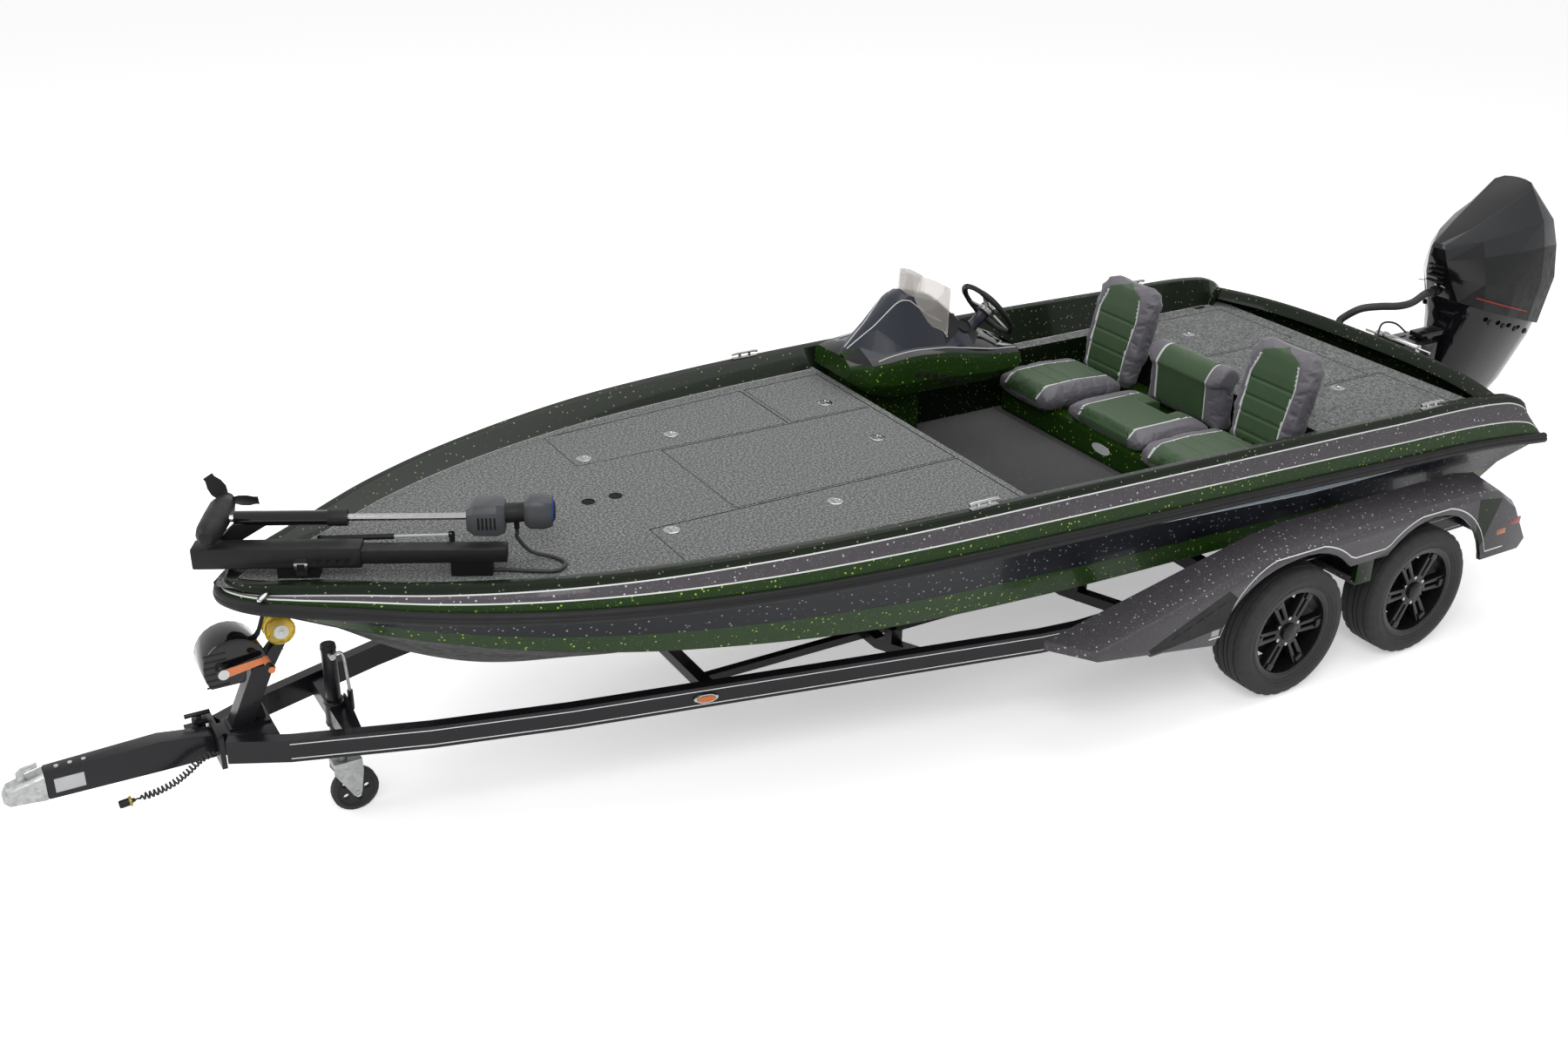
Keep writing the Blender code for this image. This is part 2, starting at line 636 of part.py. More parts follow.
def trailer_frame():
    for side, name in ((-1, "port"), (1, "starboard")):
        part("side_rail_" + name, sweep_mesh("rail", side_rail_path(side), RAIL_WIDTH, RAIL_HEIGHT),
             "frame_paint")
    members = []
    for x in CROSSMEMBER_X:
        reach = frame_half_width(x - CROSSMEMBER_WIDTH / 2) - 2 * GAP
        high, low, deep = FRAME_Z + 0.052, FRAME_Z - 0.065, 0.050
        outline = [(-reach, high), (-reach, high - deep), (-0.42, low - deep), (0.42, low - deep),
                   (reach, high - deep), (reach, high), (0.42, low), (-0.42, low)]
        members.append(prism_mesh("crossmember", outline, x - CROSSMEMBER_WIDTH / 2,
                                  x + CROSSMEMBER_WIDTH / 2, "X"))
        if x >= CROSSMEMBER_X[1]:
            members += [span_box("bunk_post", (x - 0.03, side * BUNK_Y - 0.03, FRAME_Z - 0.09),
                                 (x + 0.03, side * BUNK_Y + 0.03, BUNK_LOW_Z - GAP)) for side in (-1, 1)]
    for side in (-1, 1):
        spine = span_box("spine", (CROSSMEMBER_X[0], side * SPINE_Y - 0.02, FRAME_Z - 0.114),
                         (CROSSMEMBER_X[-1], side * SPINE_Y + 0.02, FRAME_Z - 0.078))
        members.append(spine)
    part("cross_frame", union(*members), "frame_paint")


def bunks():
    """Carpeted bunks under the hull's bottom, trimmed to its shape."""
    low = BUNK_LOW_Z
    form = moved(hull_mesh(), Matrix.Translation((0, 0, -GAP)))
    plank = span_box("bunk", (CROSSMEMBER_X[1], BUNK_Y - 0.045, low), (1.12, BUNK_Y + 0.045, 0.72))
    plank = cut(plank, form)
    part("bunk_starboard", plank, "carpet")
    part("bunk_port", mirrored(plank), "carpet")


def axles():
    for x, name in ((-WHEEL_X, "front"), (WHEEL_X, "rear")):
        inner = TYRE_OUTER_Y - TYRE_WIDTH - 0.030
        beam = span_box("beam", (x - 0.038, -inner, FRAME_Z - 0.076 - GAP), (x + 0.038, inner, FRAME_Z - GAP))
        arms = []
        for side in (-1, 1):
            arms.append(span_box("arm", (x - 0.050, min(side * inner, side * (inner - 0.03)), 0.300),
                                 (x + 0.050, max(side * inner, side * (inner - 0.03)), FRAME_Z - 0.030)))
            arms.append(rod_mesh("spindle", (x, side * (inner - 0.02), TYRE_RADIUS),
                                 (x, side * (TYRE_OUTER_Y - 0.118 - GAP), TYRE_RADIUS), SPINDLE_RADIUS, 20))
        part("axle_" + name, union(beam, *arms), "frame_paint")


def tyre_mesh():
    w, r, inner = TYRE_WIDTH / 2, TYRE_RADIUS, RIM_RADIUS
    profile = [(inner, -w * 0.80), (r - 0.035, -w), (r - 0.010, -w * 0.90), (r, -w * 0.72),
               (r, w * 0.72), (r - 0.010, w * 0.90), (r - 0.035, w), (inner, w * 0.80)]
    return turned_mesh("tyre", list(reversed(profile)), 40)


def rim_mesh():
    """Six split spokes in a barrel, hub to the outside at +Z."""
    w, r = TYRE_WIDTH / 2 * 0.80, RIM_RADIUS - GAP
    barrel = turned_mesh("barrel", list(reversed([
        (r, -w), (r, w), (r - 0.020, w), (r - 0.030, w * 0.6), (r - 0.030, -w)])), 40)
    star = []
    spokes, hub, tip = 6, 0.062, r - 0.026
    for k in range(spokes):
        mid = 2 * math.pi * k / spokes
        for radius, offset in ((hub, -0.42), (tip, -0.165), (tip, 0.165), (hub, 0.42)):
            star.append((radius * math.cos(mid + offset), radius * math.sin(mid + offset)))
    disc = prism_mesh("star", star, w * 0.30, w * 0.78, "Z")
    slots = bmesh.new()
    for k in range(spokes):
        made = bmesh.ops.create_cube(slots, size=1.0)["verts"]
        bmesh.ops.scale(slots, vec=(0.115, 0.018, 0.2), verts=made)
        bmesh.ops.translate(slots, vec=(0.142, 0, 0.05), verts=made)
        bmesh.ops.rotate(slots, matrix=Matrix.Rotation(2 * math.pi * k / spokes, 3, "Z"), verts=made)
    disc = cut(disc, mesh_from(slots, "slots"))
    cap = rod_mesh("cap", (0, 0, -0.005), (0, 0, w * 0.92), 0.052, 24, end_radius=0.040)
    return union(barrel, disc, cap)


def wheels():
    tyre, rim = tyre_mesh(), rim_mesh()
    centre_y = TYRE_OUTER_Y - TYRE_WIDTH / 2
    for x, end in ((-WHEEL_X, "front"), (WHEEL_X, "rear")):
        for side, name in ((-1, "port"), (1, "starboard")):
            face = Matrix.Rotation(-side * math.pi / 2, 4, "X")
            place = Matrix.Translation((x, side * centre_y, TYRE_RADIUS)) @ face
            part("tyre_%s_%s" % (end, name), moved(tyre, place), "tyre_rubber", place.translation)
            part("rim_%s_%s" % (end, name), moved(rim, place), "rim_black", place.translation)


def fender_outline(inset, rise, nose):
    """Side view of the fender's skin; inset gives the hollow inside it, open below."""
    top, low = FENDER_TOP_Z + rise - inset, FENDER_LOW_Z - (0.3 if inset else 0.0)
    return [(nose + 5 * inset, low + (0.0 if inset else 0.115)), (nose + 5 * inset, 0.590 - inset),
            (-0.640, top - 0.022), (-0.420, top), (0.760, top), (0.940, top - 0.030),
            (1.060 - inset, top - 0.110), (1.190 - inset, 0.480), (1.150 - inset, low),
            (0.800, low), (-0.960, low)]


def arch_mesh(x, flare):
    """Cutter for one wheel arch, which may open forward at its foot."""
    outline = []
    for k in range(36):
        angle = 2 * math.pi * k / 36
        radius = ARCH_RADIUS + flare * max(0.0, -math.cos(angle)) ** 2
        outline.append((x + radius * math.cos(angle), TYRE_RADIUS + radius * math.sin(angle)))
    return prism_mesh("arch", outline, 0.9, 1.5)


def fenders():
    """Moulded shells over the wheels, open towards the boat, with their brackets."""
    rail_face = side_rail_path(1)[-1][1] + RAIL_WIDTH / 2 + GAP
    skins = []
    for inset, inner, outer in ((0.0, FENDER_INNER_Y, FENDER_OUTER_Y),
                                (FENDER_WALL, FENDER_INNER_Y - 0.1, FENDER_OUTER_Y - FENDER_WALL)):
        crown = FENDER_CROWN * (FENDER_OUTER_Y - inner) / (FENDER_OUTER_Y - FENDER_INNER_Y)
        flat = FENDER_CROWN * (FENDER_OUTER_Y - outer) / (FENDER_OUTER_Y - FENDER_INNER_Y)
        rings = [[(x, inner, z) for x, z in fender_outline(inset, crown, -1.830)],
                 [(x, outer, z) for x, z in fender_outline(inset, flat, -1.690)]]
        skins.append(loft_mesh("fender", rings))
    shell, hollow = skins
    skirt_gap = span_box("skirt_gap", (-WHEEL_X, 0.9, 0.2), (WHEEL_X, 1.5, SKIRT_Z))
    shell = cut(shell, hollow, arch_mesh(-WHEEL_X, ARCH_FLARE), arch_mesh(WHEEL_X, 0.0), skirt_gap)
    deep = FENDER_OUTER_Y - FENDER_WALL + 0.005
    brackets = [span_box("bracket", (x - 0.04, rail_face, 0.470), (x + 0.04, deep, 0.510))
                for x in (-1.32, 1.08)]
    brackets.append(span_box("step", (-0.055, rail_face, 0.505), (0.055, deep, 0.540)))
    brackets.append(span_box("hanger", (-0.055, deep - 0.030, 0.520), (0.055, deep, SKIRT_Z + 0.025)))
    shell = union(shell, *brackets)
    part("fender_starboard", shell, "cap_flake")
    part("fender_port", mirrored(shell), "cap_flake")


def tongue():
    """The swing-away tongue, its coupler and the hinge plates on the frame."""
    upper = FRAME_Z + RAIL_HEIGHT + HINGE_CLEARANCE
    lower = FRAME_Z - HINGE_CLEARANCE
    hinge_z0, hinge_z1 = lower - HINGE_PLATE, upper + HINGE_PLATE
    x = TONGUE_HINGE_X
    beam = [(-5.830, 0.462, 0.575), (-5.400, 0.455, 0.590), (x + 0.030, FRAME_Z, FRAME_Z + RAIL_HEIGHT)]
    rings = [[(bx, -0.040, low), (bx, 0.040, low), (bx, 0.040, high), (bx, -0.040, high)]
             for bx, low, high in beam]
    body = loft_mesh("swing_tongue", rings)
    low, high = FRAME_Z + 0.006, FRAME_Z + RAIL_HEIGHT - 0.006
    lug = span_box("lug", (x - 0.060, 0.030, low), (x, TONGUE_HINGE_Y + LUG_RADIUS - 0.001, high))
    eye = rod_mesh("eye", (x, TONGUE_HINGE_Y, low + 0.001), (x, TONGUE_HINGE_Y, high - 0.001), LUG_RADIUS, 24)
    body = union(body, lug, eye)
    hole = rod_mesh("pin_hole", (x, TONGUE_HINGE_Y, 0.3), (x, TONGUE_HINGE_Y, 0.8), 0.0105, 16)
    pivot = (x, TONGUE_HINGE_Y, FRAME_Z + RAIL_HEIGHT / 2)
    part("swing_tongue", cut(body, hole), "frame_paint", pivot)
    coupler = loft_mesh("coupler", [
        [(cx, -w, low), (cx, w, low), (cx, w, high), (cx, -w, high)]
        for cx, w, low, high in ((COUPLER_TIP_X, 0.030, 0.480, 0.520), (-5.950, 0.044, 0.470, 0.545),
                                 (-5.830 - GAP, 0.044, 0.462, 0.578))])
    socket = rod_mesh("socket", (-5.930, 0, 0.40), (-5.930, 0, 0.505), 0.027, 20)
    part("coupler", cut(coupler, socket), "zinc", pivot)
    front = x + 0.030 + GAP
    back = -5.1735
    neck = span_box("neck", (back - 0.01, -0.045, FRAME_Z), (-5.100, 0.045, FRAME_Z + RAIL_HEIGHT))
    block = between_rails("tongue_block", -5.150, -4.965, FRAME_Z + 0.004, FRAME_Z + RAIL_HEIGHT)
    reach_y = TONGUE_HINGE_Y + 0.030
    plates = [span_box("upper", (x - 0.030, TONGUE_HINGE_Y - 0.030, upper), (back - 0.001, reach_y, hinge_z1)),
              span_box("lower", (x - 0.030, TONGUE_HINGE_Y - 0.030, hinge_z0), (back - 0.001, reach_y, lower)),
              span_box("web", (front, -0.110, hinge_z0 - 0.001), (back, reach_y + 0.001, hinge_z1 + 0.001))]
    body = union(plates[2], plates[0], plates[1])
    pin = rod_mesh("pin", (x, TONGUE_HINGE_Y, hinge_z0 - 0.015), (x, TONGUE_HINGE_Y, hinge_z1 + 0.015),
                   0.0100, 16)
    part("tongue_hinge", union(body, pin, neck, block), "frame_paint")


def winch_stand():
    """Inclined post with the winch and the two bow rollers."""
    base_z = FRAME_Z + RAIL_HEIGHT + GAP
    post = loft_mesh("winch_post", [
        [(x - 0.045, -0.035, z), (x + 0.045, -0.035, z), (x + 0.045, 0.035, z), (x - 0.045, 0.035, z)]
        for x, z in ((-5.060, base_z), (-4.990, 0.840))])
    head = span_box("roller_arm", (-5.030, -0.030, 0.828), (-4.900, 0.030, 0.890))
    seat = span_box("winch_seat", (-5.050 + GAP, -0.026, 0.795), (-4.995, 0.026, 0.872))
    ear = span_box("ear", (-4.950, -0.009, 0.835), (-4.860, 0.009, 0.975))
    bore = rod_mesh("roller_bore", (-4.885, -0.1, 0.953), (-4.885, 0.1, 0.953), 0.0098, 16)
    part("winch_post", cut(union(post, head, seat, ear), bore), "frame_paint")
    cover = rounded(prism_mesh("winch", [(-5.200, 0.800), (-5.230, 0.880), (-5.130, 0.965),
                                         (-5.050, 0.965), (-5.050, 0.800), (-5.090, 0.790)],
                               -0.085, 0.085), 0.012)
    part("winch_cover", cover, "black_plastic")
    rollers = []
    for x, z, radius in ((-4.885, 0.953, 0.060), ):
        bar = rod_mesh("roller_pin", (x, -0.052, z), (x, 0.052, z), 0.0095, 16)
        wheels_pair = [rod_mesh("roller", (x, side * (0.009 + GAP), z), (x, side * 0.048, z), radius, 24)
                       for side in (-1, 1)]
        rollers.append(union(bar, *wheels_pair))
    part("bow_rollers", rollers[0], "yellow_roller")


def jack():
    """Swing-up caster jack beside the tongue, standing on its wheel."""
    wheel_z = CASTER_RADIUS
    axis_y = 0.0
    fork_top = 0.262
    tube = rod_mesh("jack_tube", (JACK_X, axis_y, 0.360), (JACK_X, axis_y, 0.820), JACK_TUBE_RADIUS, 20)
    plate = between_rails("plate", JACK_X - 0.030, JACK_X + 0.030, FRAME_Z + 0.010, FRAME_Z + 0.080)
    bore = rod_mesh("bore", (JACK_X, axis_y, 0.30), (JACK_X, axis_y, 0.780), JACK_LEG_RADIUS + JACK_FIT, 20)
    part("jack_tube", cut(union(tube, plate), bore), "frame_paint")
    leg = rod_mesh("jack_leg", (JACK_X, axis_y, fork_top + GAP), (JACK_X, axis_y, 0.560), JACK_LEG_RADIUS, 20)
    part("jack_leg", leg, "zinc", (JACK_X, 0.0, fork_top))
    wheel_x = JACK_X + CASTER_TRAIL
    crown = span_box("crown", (JACK_X - 0.040, -0.042, fork_top - 0.030), (JACK_X + 0.080, 0.042, fork_top))
    legs = [prism_mesh("fork_leg", [(JACK_X - 0.035, fork_top - 0.010), (JACK_X + 0.080, fork_top - 0.010),
                                    (wheel_x + 0.022, wheel_z - 0.020), (wheel_x - 0.022, wheel_z - 0.020)],
                       side * 0.036 - 0.004, side * 0.036 + 0.004) for side in (-1, 1)]
    axle = rod_mesh("axle", (wheel_x, -0.040, wheel_z), (wheel_x, 0.040, wheel_z), 0.008, 16)
    part("caster_fork", union(crown, *legs, axle), "zinc", (JACK_X, 0.0, fork_top))
    wheel = turned_mesh("caster_wheel", list(reversed([
        (0.0082, -0.024), (0.075, -0.016), (CASTER_RADIUS - 0.006, -0.024), (CASTER_RADIUS, -0.014),
        (CASTER_RADIUS, 0.014), (CASTER_RADIUS - 0.006, 0.024), (0.075, 0.016), (0.0082, 0.024)])), 32)
    place = Matrix.Translation((wheel_x, 0, wheel_z)) @ Matrix.Rotation(math.pi / 2, 4, "X")
    part("caster_wheel", moved(wheel, place), "tyre_rubber", place.translation)


def outboard():
    """Jack plate on the transom, bracket, steerable leg with cowl, and propeller."""
    plate_x = TRANSOM_X + GAP
    jack_plate = span_box("jack_plate", (plate_x, -0.165, 0.640), (plate_x + 0.210, 0.165, 1.060))
    pocket = span_box("pocket", (plate_x + 0.03, -0.120, 0.60), (plate_x + 0.18, 0.120, 1.10))
    jack_plate = cut(jack_plate, pocket)
    back = plate_x + 0.205
    clamp = span_box("clamp", (back, -0.150, 0.660), (back + 0.050, 0.150, 1.070))
    ears = [prism_mesh("ear", [(back + 0.04, 0.70), (back + 0.04, 1.08), (MOTOR_X - 0.02, 1.10),
                               (MOTOR_X + 0.035, MOTOR_TILT_Z), (MOTOR_X, 0.94)],
                       side * 0.135 - 0.014, side * 0.135 + 0.014) for side in (-1, 1)]
    tilt_tube = rod_mesh("tilt_tube", (MOTOR_X, -0.165, MOTOR_TILT_Z), (MOTOR_X, 0.165, MOTOR_TILT_Z), 0.016, 16)
    cylinder_x = back + 0.110
    cylinder = rod_mesh("steer_cylinder", (cylinder_x, -0.15, MOTOR_TILT_Z + 0.045),
                        (cylinder_x, 0.15, MOTOR_TILT_Z + 0.045), 0.024, 16)
    part("transom_bracket", union(jack_plate, clamp, *ears, tilt_tube, cylinder), "black_plastic")
    swivel = span_box("swivel", (MOTOR_X - 0.040, -0.110, 0.780), (STEER_X + 0.035, 0.110, MOTOR_TILT_Z + 0.045))
    bore = rod_mesh("tilt_bore", (MOTOR_X, -0.2, MOTOR_TILT_Z), (MOTOR_X, 0.2, MOTOR_TILT_Z), 0.0165, 16)
    socket = rod_mesh("swivel_bore", (STEER_X, 0, 0.7), (STEER_X, 0, 1.2), SWIVEL_PIN_RADIUS + GAP, 20)
    part("swivel_bracket", cut(swivel, bore, socket), "black_plastic", (MOTOR_X, 0.0, MOTOR_TILT_Z))
    leg_rings = []
    for z, x0, x1, w in ((1.130, 1.800, 2.330, 0.200), (0.960, 1.815, 2.240, 0.140), (0.700, 1.850, 2.150, 0.085),
                         (0.520, 1.862, 2.135, 0.055), (0.345, 1.842, 2.146, 0.038)):
        mid, half = (x0 + x1) / 2, (x1 - x0) / 2
        leg_rings.append([(mid + half * math.cos(t), w * math.sin(t), z)
                          for t in [2 * math.pi * k / 20 for k in range(20)]])
    leg = loft_mesh("motor_leg", leg_rings, smooth=60)
    plate = rounded(prism_mesh("cavitation", [(1.860, -0.060), (2.330, -0.120), (2.440, -0.080), (2.440, 0.080),
                                              (2.330, 0.120), (1.860, 0.060)], 0.538, 0.550, "Z"), 0.003, 1)
    bullet = turned_mesh("gearcase", [(0.0, 0.30), (0.030, 0.285), (0.058, 0.20), (0.062, 0.08), (0.062, -0.10),
                                      (0.048, -0.18), (0.0, -0.181)], 20)
    bullet = moved(bullet, Matrix.Translation((2.060, 0, PROP_Z)) @ Matrix.Rotation(-math.pi / 2, 4, "Y"))
    skeg = prism_mesh("skeg", [(1.880, PROP_Z), (2.130, PROP_Z), (2.150, 0.150), (2.060, 0.130)], -0.006, 0.006)
    arm = span_box("steer_arm", (STEER_X - 0.030, -0.045, MOTOR_TILT_Z + 0.051),
                   (1.860, 0.045, MOTOR_TILT_Z + 0.080))
    yoke = span_box("yoke", (STEER_X - 0.030, -0.045, 0.735), (1.880, 0.045, 0.774))
    pin = rod_mesh("swivel_pin", (STEER_X, 0, 0.745), (STEER_X, 0, MOTOR_TILT_Z + 0.070), SWIVEL_PIN_RADIUS, 20)
    shaft = rod_mesh("prop_shaft", (2.20, 0, PROP_Z), (2.425, 0, PROP_Z), PROP_SHAFT_RADIUS, 16)
    steer_axis = (STEER_X, 0.0, MOTOR_TILT_Z)
    part("motor_leg", union(leg, bullet, plate, skeg, arm, yoke, pin, shaft), "motor_grey", steer_axis)
    cowl_rings = []
    for z, x0, x1, w in ((1.130 + GAP, 1.790, 2.420, 0.230), (1.300, 1.770, 2.600, 0.270), (1.500, 1.800, 2.640, 0.285),
                         (1.720, 1.860, 2.560, 0.270), (1.880, 1.950, 2.420, 0.220), (1.960, 2.050, 2.280, 0.140)):
        mid, half = (x0 + x1) / 2, (x1 - x0) / 2
        ring = []
        for k in range(24):
            t = 2 * math.pi * k / 24
            c, s = math.cos(t), math.sin(t)
            ring.append((mid + half * math.copysign(abs(c) ** 0.7, c), w * math.copysign(abs(s) ** 0.7, s), z))
        cowl_rings.append(ring)
    part("motor_cowl", loft_mesh("motor_cowl", cowl_rings, smooth=50), "motor_grey", steer_axis)
    propeller()


def blade_mesh(radius, hub, chord, twist, thickness):
    """One propeller blade, twisting from its root to its tip, about the Z axis."""
    rings = []
    for t in (0.0, 0.35, 0.7, 1.0):
        r = hub * 0.7 + (radius - hub * 0.7) * t
        half = chord / 2 * (0.55 + 0.45 * math.sin(math.pi * min(t + 0.15, 0.9)))
        pitch = math.radians(twist * (1.2 - 0.55 * t))
        thin = thickness * (1.0 - 0.55 * t)
        ring = []
        for a, b in ((-half, 0.0), (0.0, thin), (half, 0.0), (0.0, -thin)):
            ring.append((r, a * math.cos(pitch) - b * math.sin(pitch), a * math.sin(pitch) + b * math.cos(pitch)))
        rings.append(ring)
    return loft_mesh("blade", rings, smooth=40)


def bladed(name, radius, hub, length, blades, chord, twist, thickness):
    """A hub along Z with its blades."""
    body = turned_mesh(name, [(0.0, length / 2), (hub * 0.8, length / 2), (hub, length * 0.2),
                              (hub, -length / 2), (0.0, -length / 2)], 24)
    blade = blade_mesh(radius, hub, chord, twist, thickness)
    return union(body, *[moved(blade, Matrix.Rotation(2 * math.pi * k / blades, 4, "Z"))
                         for k in range(blades)])


def propeller():
    body = bladed("propeller", PROP_RADIUS, 0.055, 0.16, 3, 0.15, 35, 0.006)
    bore = rod_mesh("prop_bore", (0, 0, -0.2), (0, 0, 0.2), PROP_SHAFT_RADIUS + GAP, 16)
    place = Matrix.Translation((2.246 + 0.080, 0, PROP_Z)) @ Matrix.Rotation(math.pi / 2, 4, "Y")
    part("propeller", moved(cut(body, bore), place), "zinc", place.translation)


def troll_frame():
    """X along the stowed shaft towards the stern, Y across it, origin at the pivot."""
    return Matrix.Translation(TROLL_PIVOT) @ Matrix.Rotation(TROLL_HEADING, 4, "Z")


def trolling_motor():
    place = troll_frame()
    base_low = FRONT_DECK_Z + 0.045 - TROLL_PIVOT.z
    base = rounded(span_box("trolling_base", (-0.020, -0.135, base_low), (1.150, -0.055, base_low + 0.075)), 0.006)
    feet = span_box("feet", (0.25, -0.130, FRONT_DECK_Z - TROLL_PIVOT.z + GAP), (1.10, -0.060, base_low + 0.01))
    pivot = rod_mesh("pivot_tube", (0.0, -0.12, 0.0), (0.0, 0.04, 0.0), 0.0140, 16)
    part("trolling_base", moved(union(base, feet, pivot), place), "black_plastic")
    rise = TROLL_SHAFT_RISE
    sleeve = rod_mesh("sleeve", (0.10, 0, rise), (0.46, 0, rise), 0.030, 16)
    bore = rod_mesh("bore", (0.0, 0, rise), (0.6, 0, rise), 0.0145, 16)
    arm = prism_mesh("arm", [(-0.030, -0.030), (0.030, -0.030), (0.16, rise), (0.10, rise)], -0.020, 0.020)
    eye = rod_mesh("eye", (0.0, -0.1, 0.0), (0.0, 0.1, 0.0), 0.0145, 16)
    part("trolling_arm", moved(cut(union(sleeve, arm), bore, eye), place), "black_plastic", TROLL_PIVOT)
    shaft = rod_mesh("shaft", (0.02, 0, rise), (1.16, 0, rise), 0.0145 - GAP, 16)
    head = rounded(span_box("head", (1.05, -0.060, rise - 0.055), (1.26, 0.060, rise + 0.075)), 0.010)
    pod = turned_mesh("pod", [(0.0, 0.19), (0.030, 0.18), (0.050, 0.13), (0.052, -0.11), (0.034, -0.15),
                              (0.0, -0.151)], 20)
    pod = moved(pod, Matrix.Translation((0.03, -0.01, rise)) @ Matrix.Rotation(math.pi / 2, 4, "X"))
    part("trolling_motor", moved(union(shaft, pod, head), place), "black_plastic",
         place @ Vector((0.0, 0.0, rise)))
    prop = bladed("trolling_propeller", 0.125, 0.030, 0.05, 3, 0.05, 25, 0.003)
    seat = place @ Matrix.Translation((0.03, 0.167, rise)) @ Matrix.Rotation(-math.pi / 2, 4, "X")
    part("trolling_propeller", moved(prop, seat), "black_plastic", seat.translation)


def centre_on_ground():
    """Hang every part from one empty and move it so that the object is centred over the origin."""
    bpy.context.view_layer.update()
    lows, highs = [], []
    for obj in PARTS.objects:
        xs = [(obj.matrix_world @ v.co).x for v in obj.data.vertices]
        lows.append(min(xs))
        highs.append(max(xs))
    shift = -(min(lows) + max(highs)) / 2
    root = bpy.data.objects.new("boat_and_trailer", None)
    PARTS.objects.link(root)
    for obj in list(PARTS.objects):
        if obj is not root:
            obj.parent = root
    root.location = (shift, 0, 0)
    bpy.context.view_layer.update()


def build():
    clear_scene()
    make_materials()
    hull()
    deck_cap()
    rub_rail()
    lids()
    console()
    windshield()
    steering_wheel()
    seats()
    trailer_frame()
    bunks()
    axles()
    wheels()
    fenders()
    tongue()
    winch_stand()
    jack()
    outboard()
    trolling_motor()
    centre_on_ground()


build()
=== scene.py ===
"""Bass boat on its tandem-axle trailer: the visual model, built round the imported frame.

Metres, +Z up, the bow at -X, port at -Y, the ground at Z = 0.
"""
import math
from collections import namedtuple
import bpy
import bmesh
import numpy as np
from mathutils import Matrix, Vector
from mathutils.bvhtree import BVHTree
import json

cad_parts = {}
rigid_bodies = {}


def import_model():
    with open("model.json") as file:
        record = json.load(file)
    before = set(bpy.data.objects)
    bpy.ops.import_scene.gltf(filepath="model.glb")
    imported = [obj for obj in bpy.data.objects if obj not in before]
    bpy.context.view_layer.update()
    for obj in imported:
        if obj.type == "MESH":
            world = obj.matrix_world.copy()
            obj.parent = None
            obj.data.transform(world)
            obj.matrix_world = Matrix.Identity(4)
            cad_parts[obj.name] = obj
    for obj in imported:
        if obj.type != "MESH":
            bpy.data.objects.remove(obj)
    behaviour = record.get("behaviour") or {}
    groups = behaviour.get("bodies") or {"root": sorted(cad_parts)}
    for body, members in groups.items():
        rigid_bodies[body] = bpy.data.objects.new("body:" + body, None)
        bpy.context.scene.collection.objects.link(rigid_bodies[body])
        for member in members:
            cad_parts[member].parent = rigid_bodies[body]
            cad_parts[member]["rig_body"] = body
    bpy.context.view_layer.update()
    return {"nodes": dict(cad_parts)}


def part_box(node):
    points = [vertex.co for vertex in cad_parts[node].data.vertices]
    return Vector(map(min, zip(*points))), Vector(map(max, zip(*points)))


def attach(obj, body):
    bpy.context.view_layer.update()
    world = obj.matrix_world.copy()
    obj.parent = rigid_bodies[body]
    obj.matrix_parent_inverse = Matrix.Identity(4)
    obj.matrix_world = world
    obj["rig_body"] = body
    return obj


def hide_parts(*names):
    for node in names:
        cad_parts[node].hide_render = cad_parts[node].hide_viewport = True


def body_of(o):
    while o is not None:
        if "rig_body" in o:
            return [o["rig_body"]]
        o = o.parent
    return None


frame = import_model()
NODES = frame["nodes"]
ROOT = "boat_and_trailer"
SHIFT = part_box("coupler")[0][0] + 5.985   # the source's X = 0, midway between the axles, lies here


# Camera, floor and light
def camera():
    azimuth, elevation, roll = math.radians(-31.01), math.radians(25.77), math.radians(1.161)
    back = Vector((math.sin(azimuth) * math.cos(elevation),
                   -math.cos(azimuth) * math.cos(elevation), math.sin(elevation)))
    right = Vector((math.cos(azimuth), math.sin(azimuth), 0))
    up = right.cross(-back)
    tilted_right = math.cos(roll) * right + math.sin(roll) * up
    tilted_up = -math.sin(roll) * right + math.cos(roll) * up
    data = bpy.data.cameras.new("camera")
    data.sensor_width = 36.0
    data.lens = 1909.1 * 36.0 / 1800.0
    data.clip_end = 200.0
    obj = bpy.data.objects.new("camera", data)
    place = Matrix((tilted_right, tilted_up, back)).transposed().to_4x4()
    place.translation = Vector((-6.1418 + SHIFT, -5.9957, 4.2522))
    obj.matrix_world = place
    bpy.context.scene.collection.objects.link(obj)
    bpy.context.scene.camera = obj


def camera_sees(tree):
    """A shader factor that is 1 for what the camera sees directly, in mirrors or through glass."""
    path = tree.nodes.new("ShaderNodeLightPath")
    total = path.outputs["Is Camera Ray"]
    for other in ("Is Glossy Ray", "Is Transmission Ray"):
        either = tree.nodes.new("ShaderNodeMath")
        either.operation = "MAXIMUM"
        tree.links.new(total, either.inputs[0])
        tree.links.new(path.outputs[other], either.inputs[1])
        total = either.outputs[0]
    return total


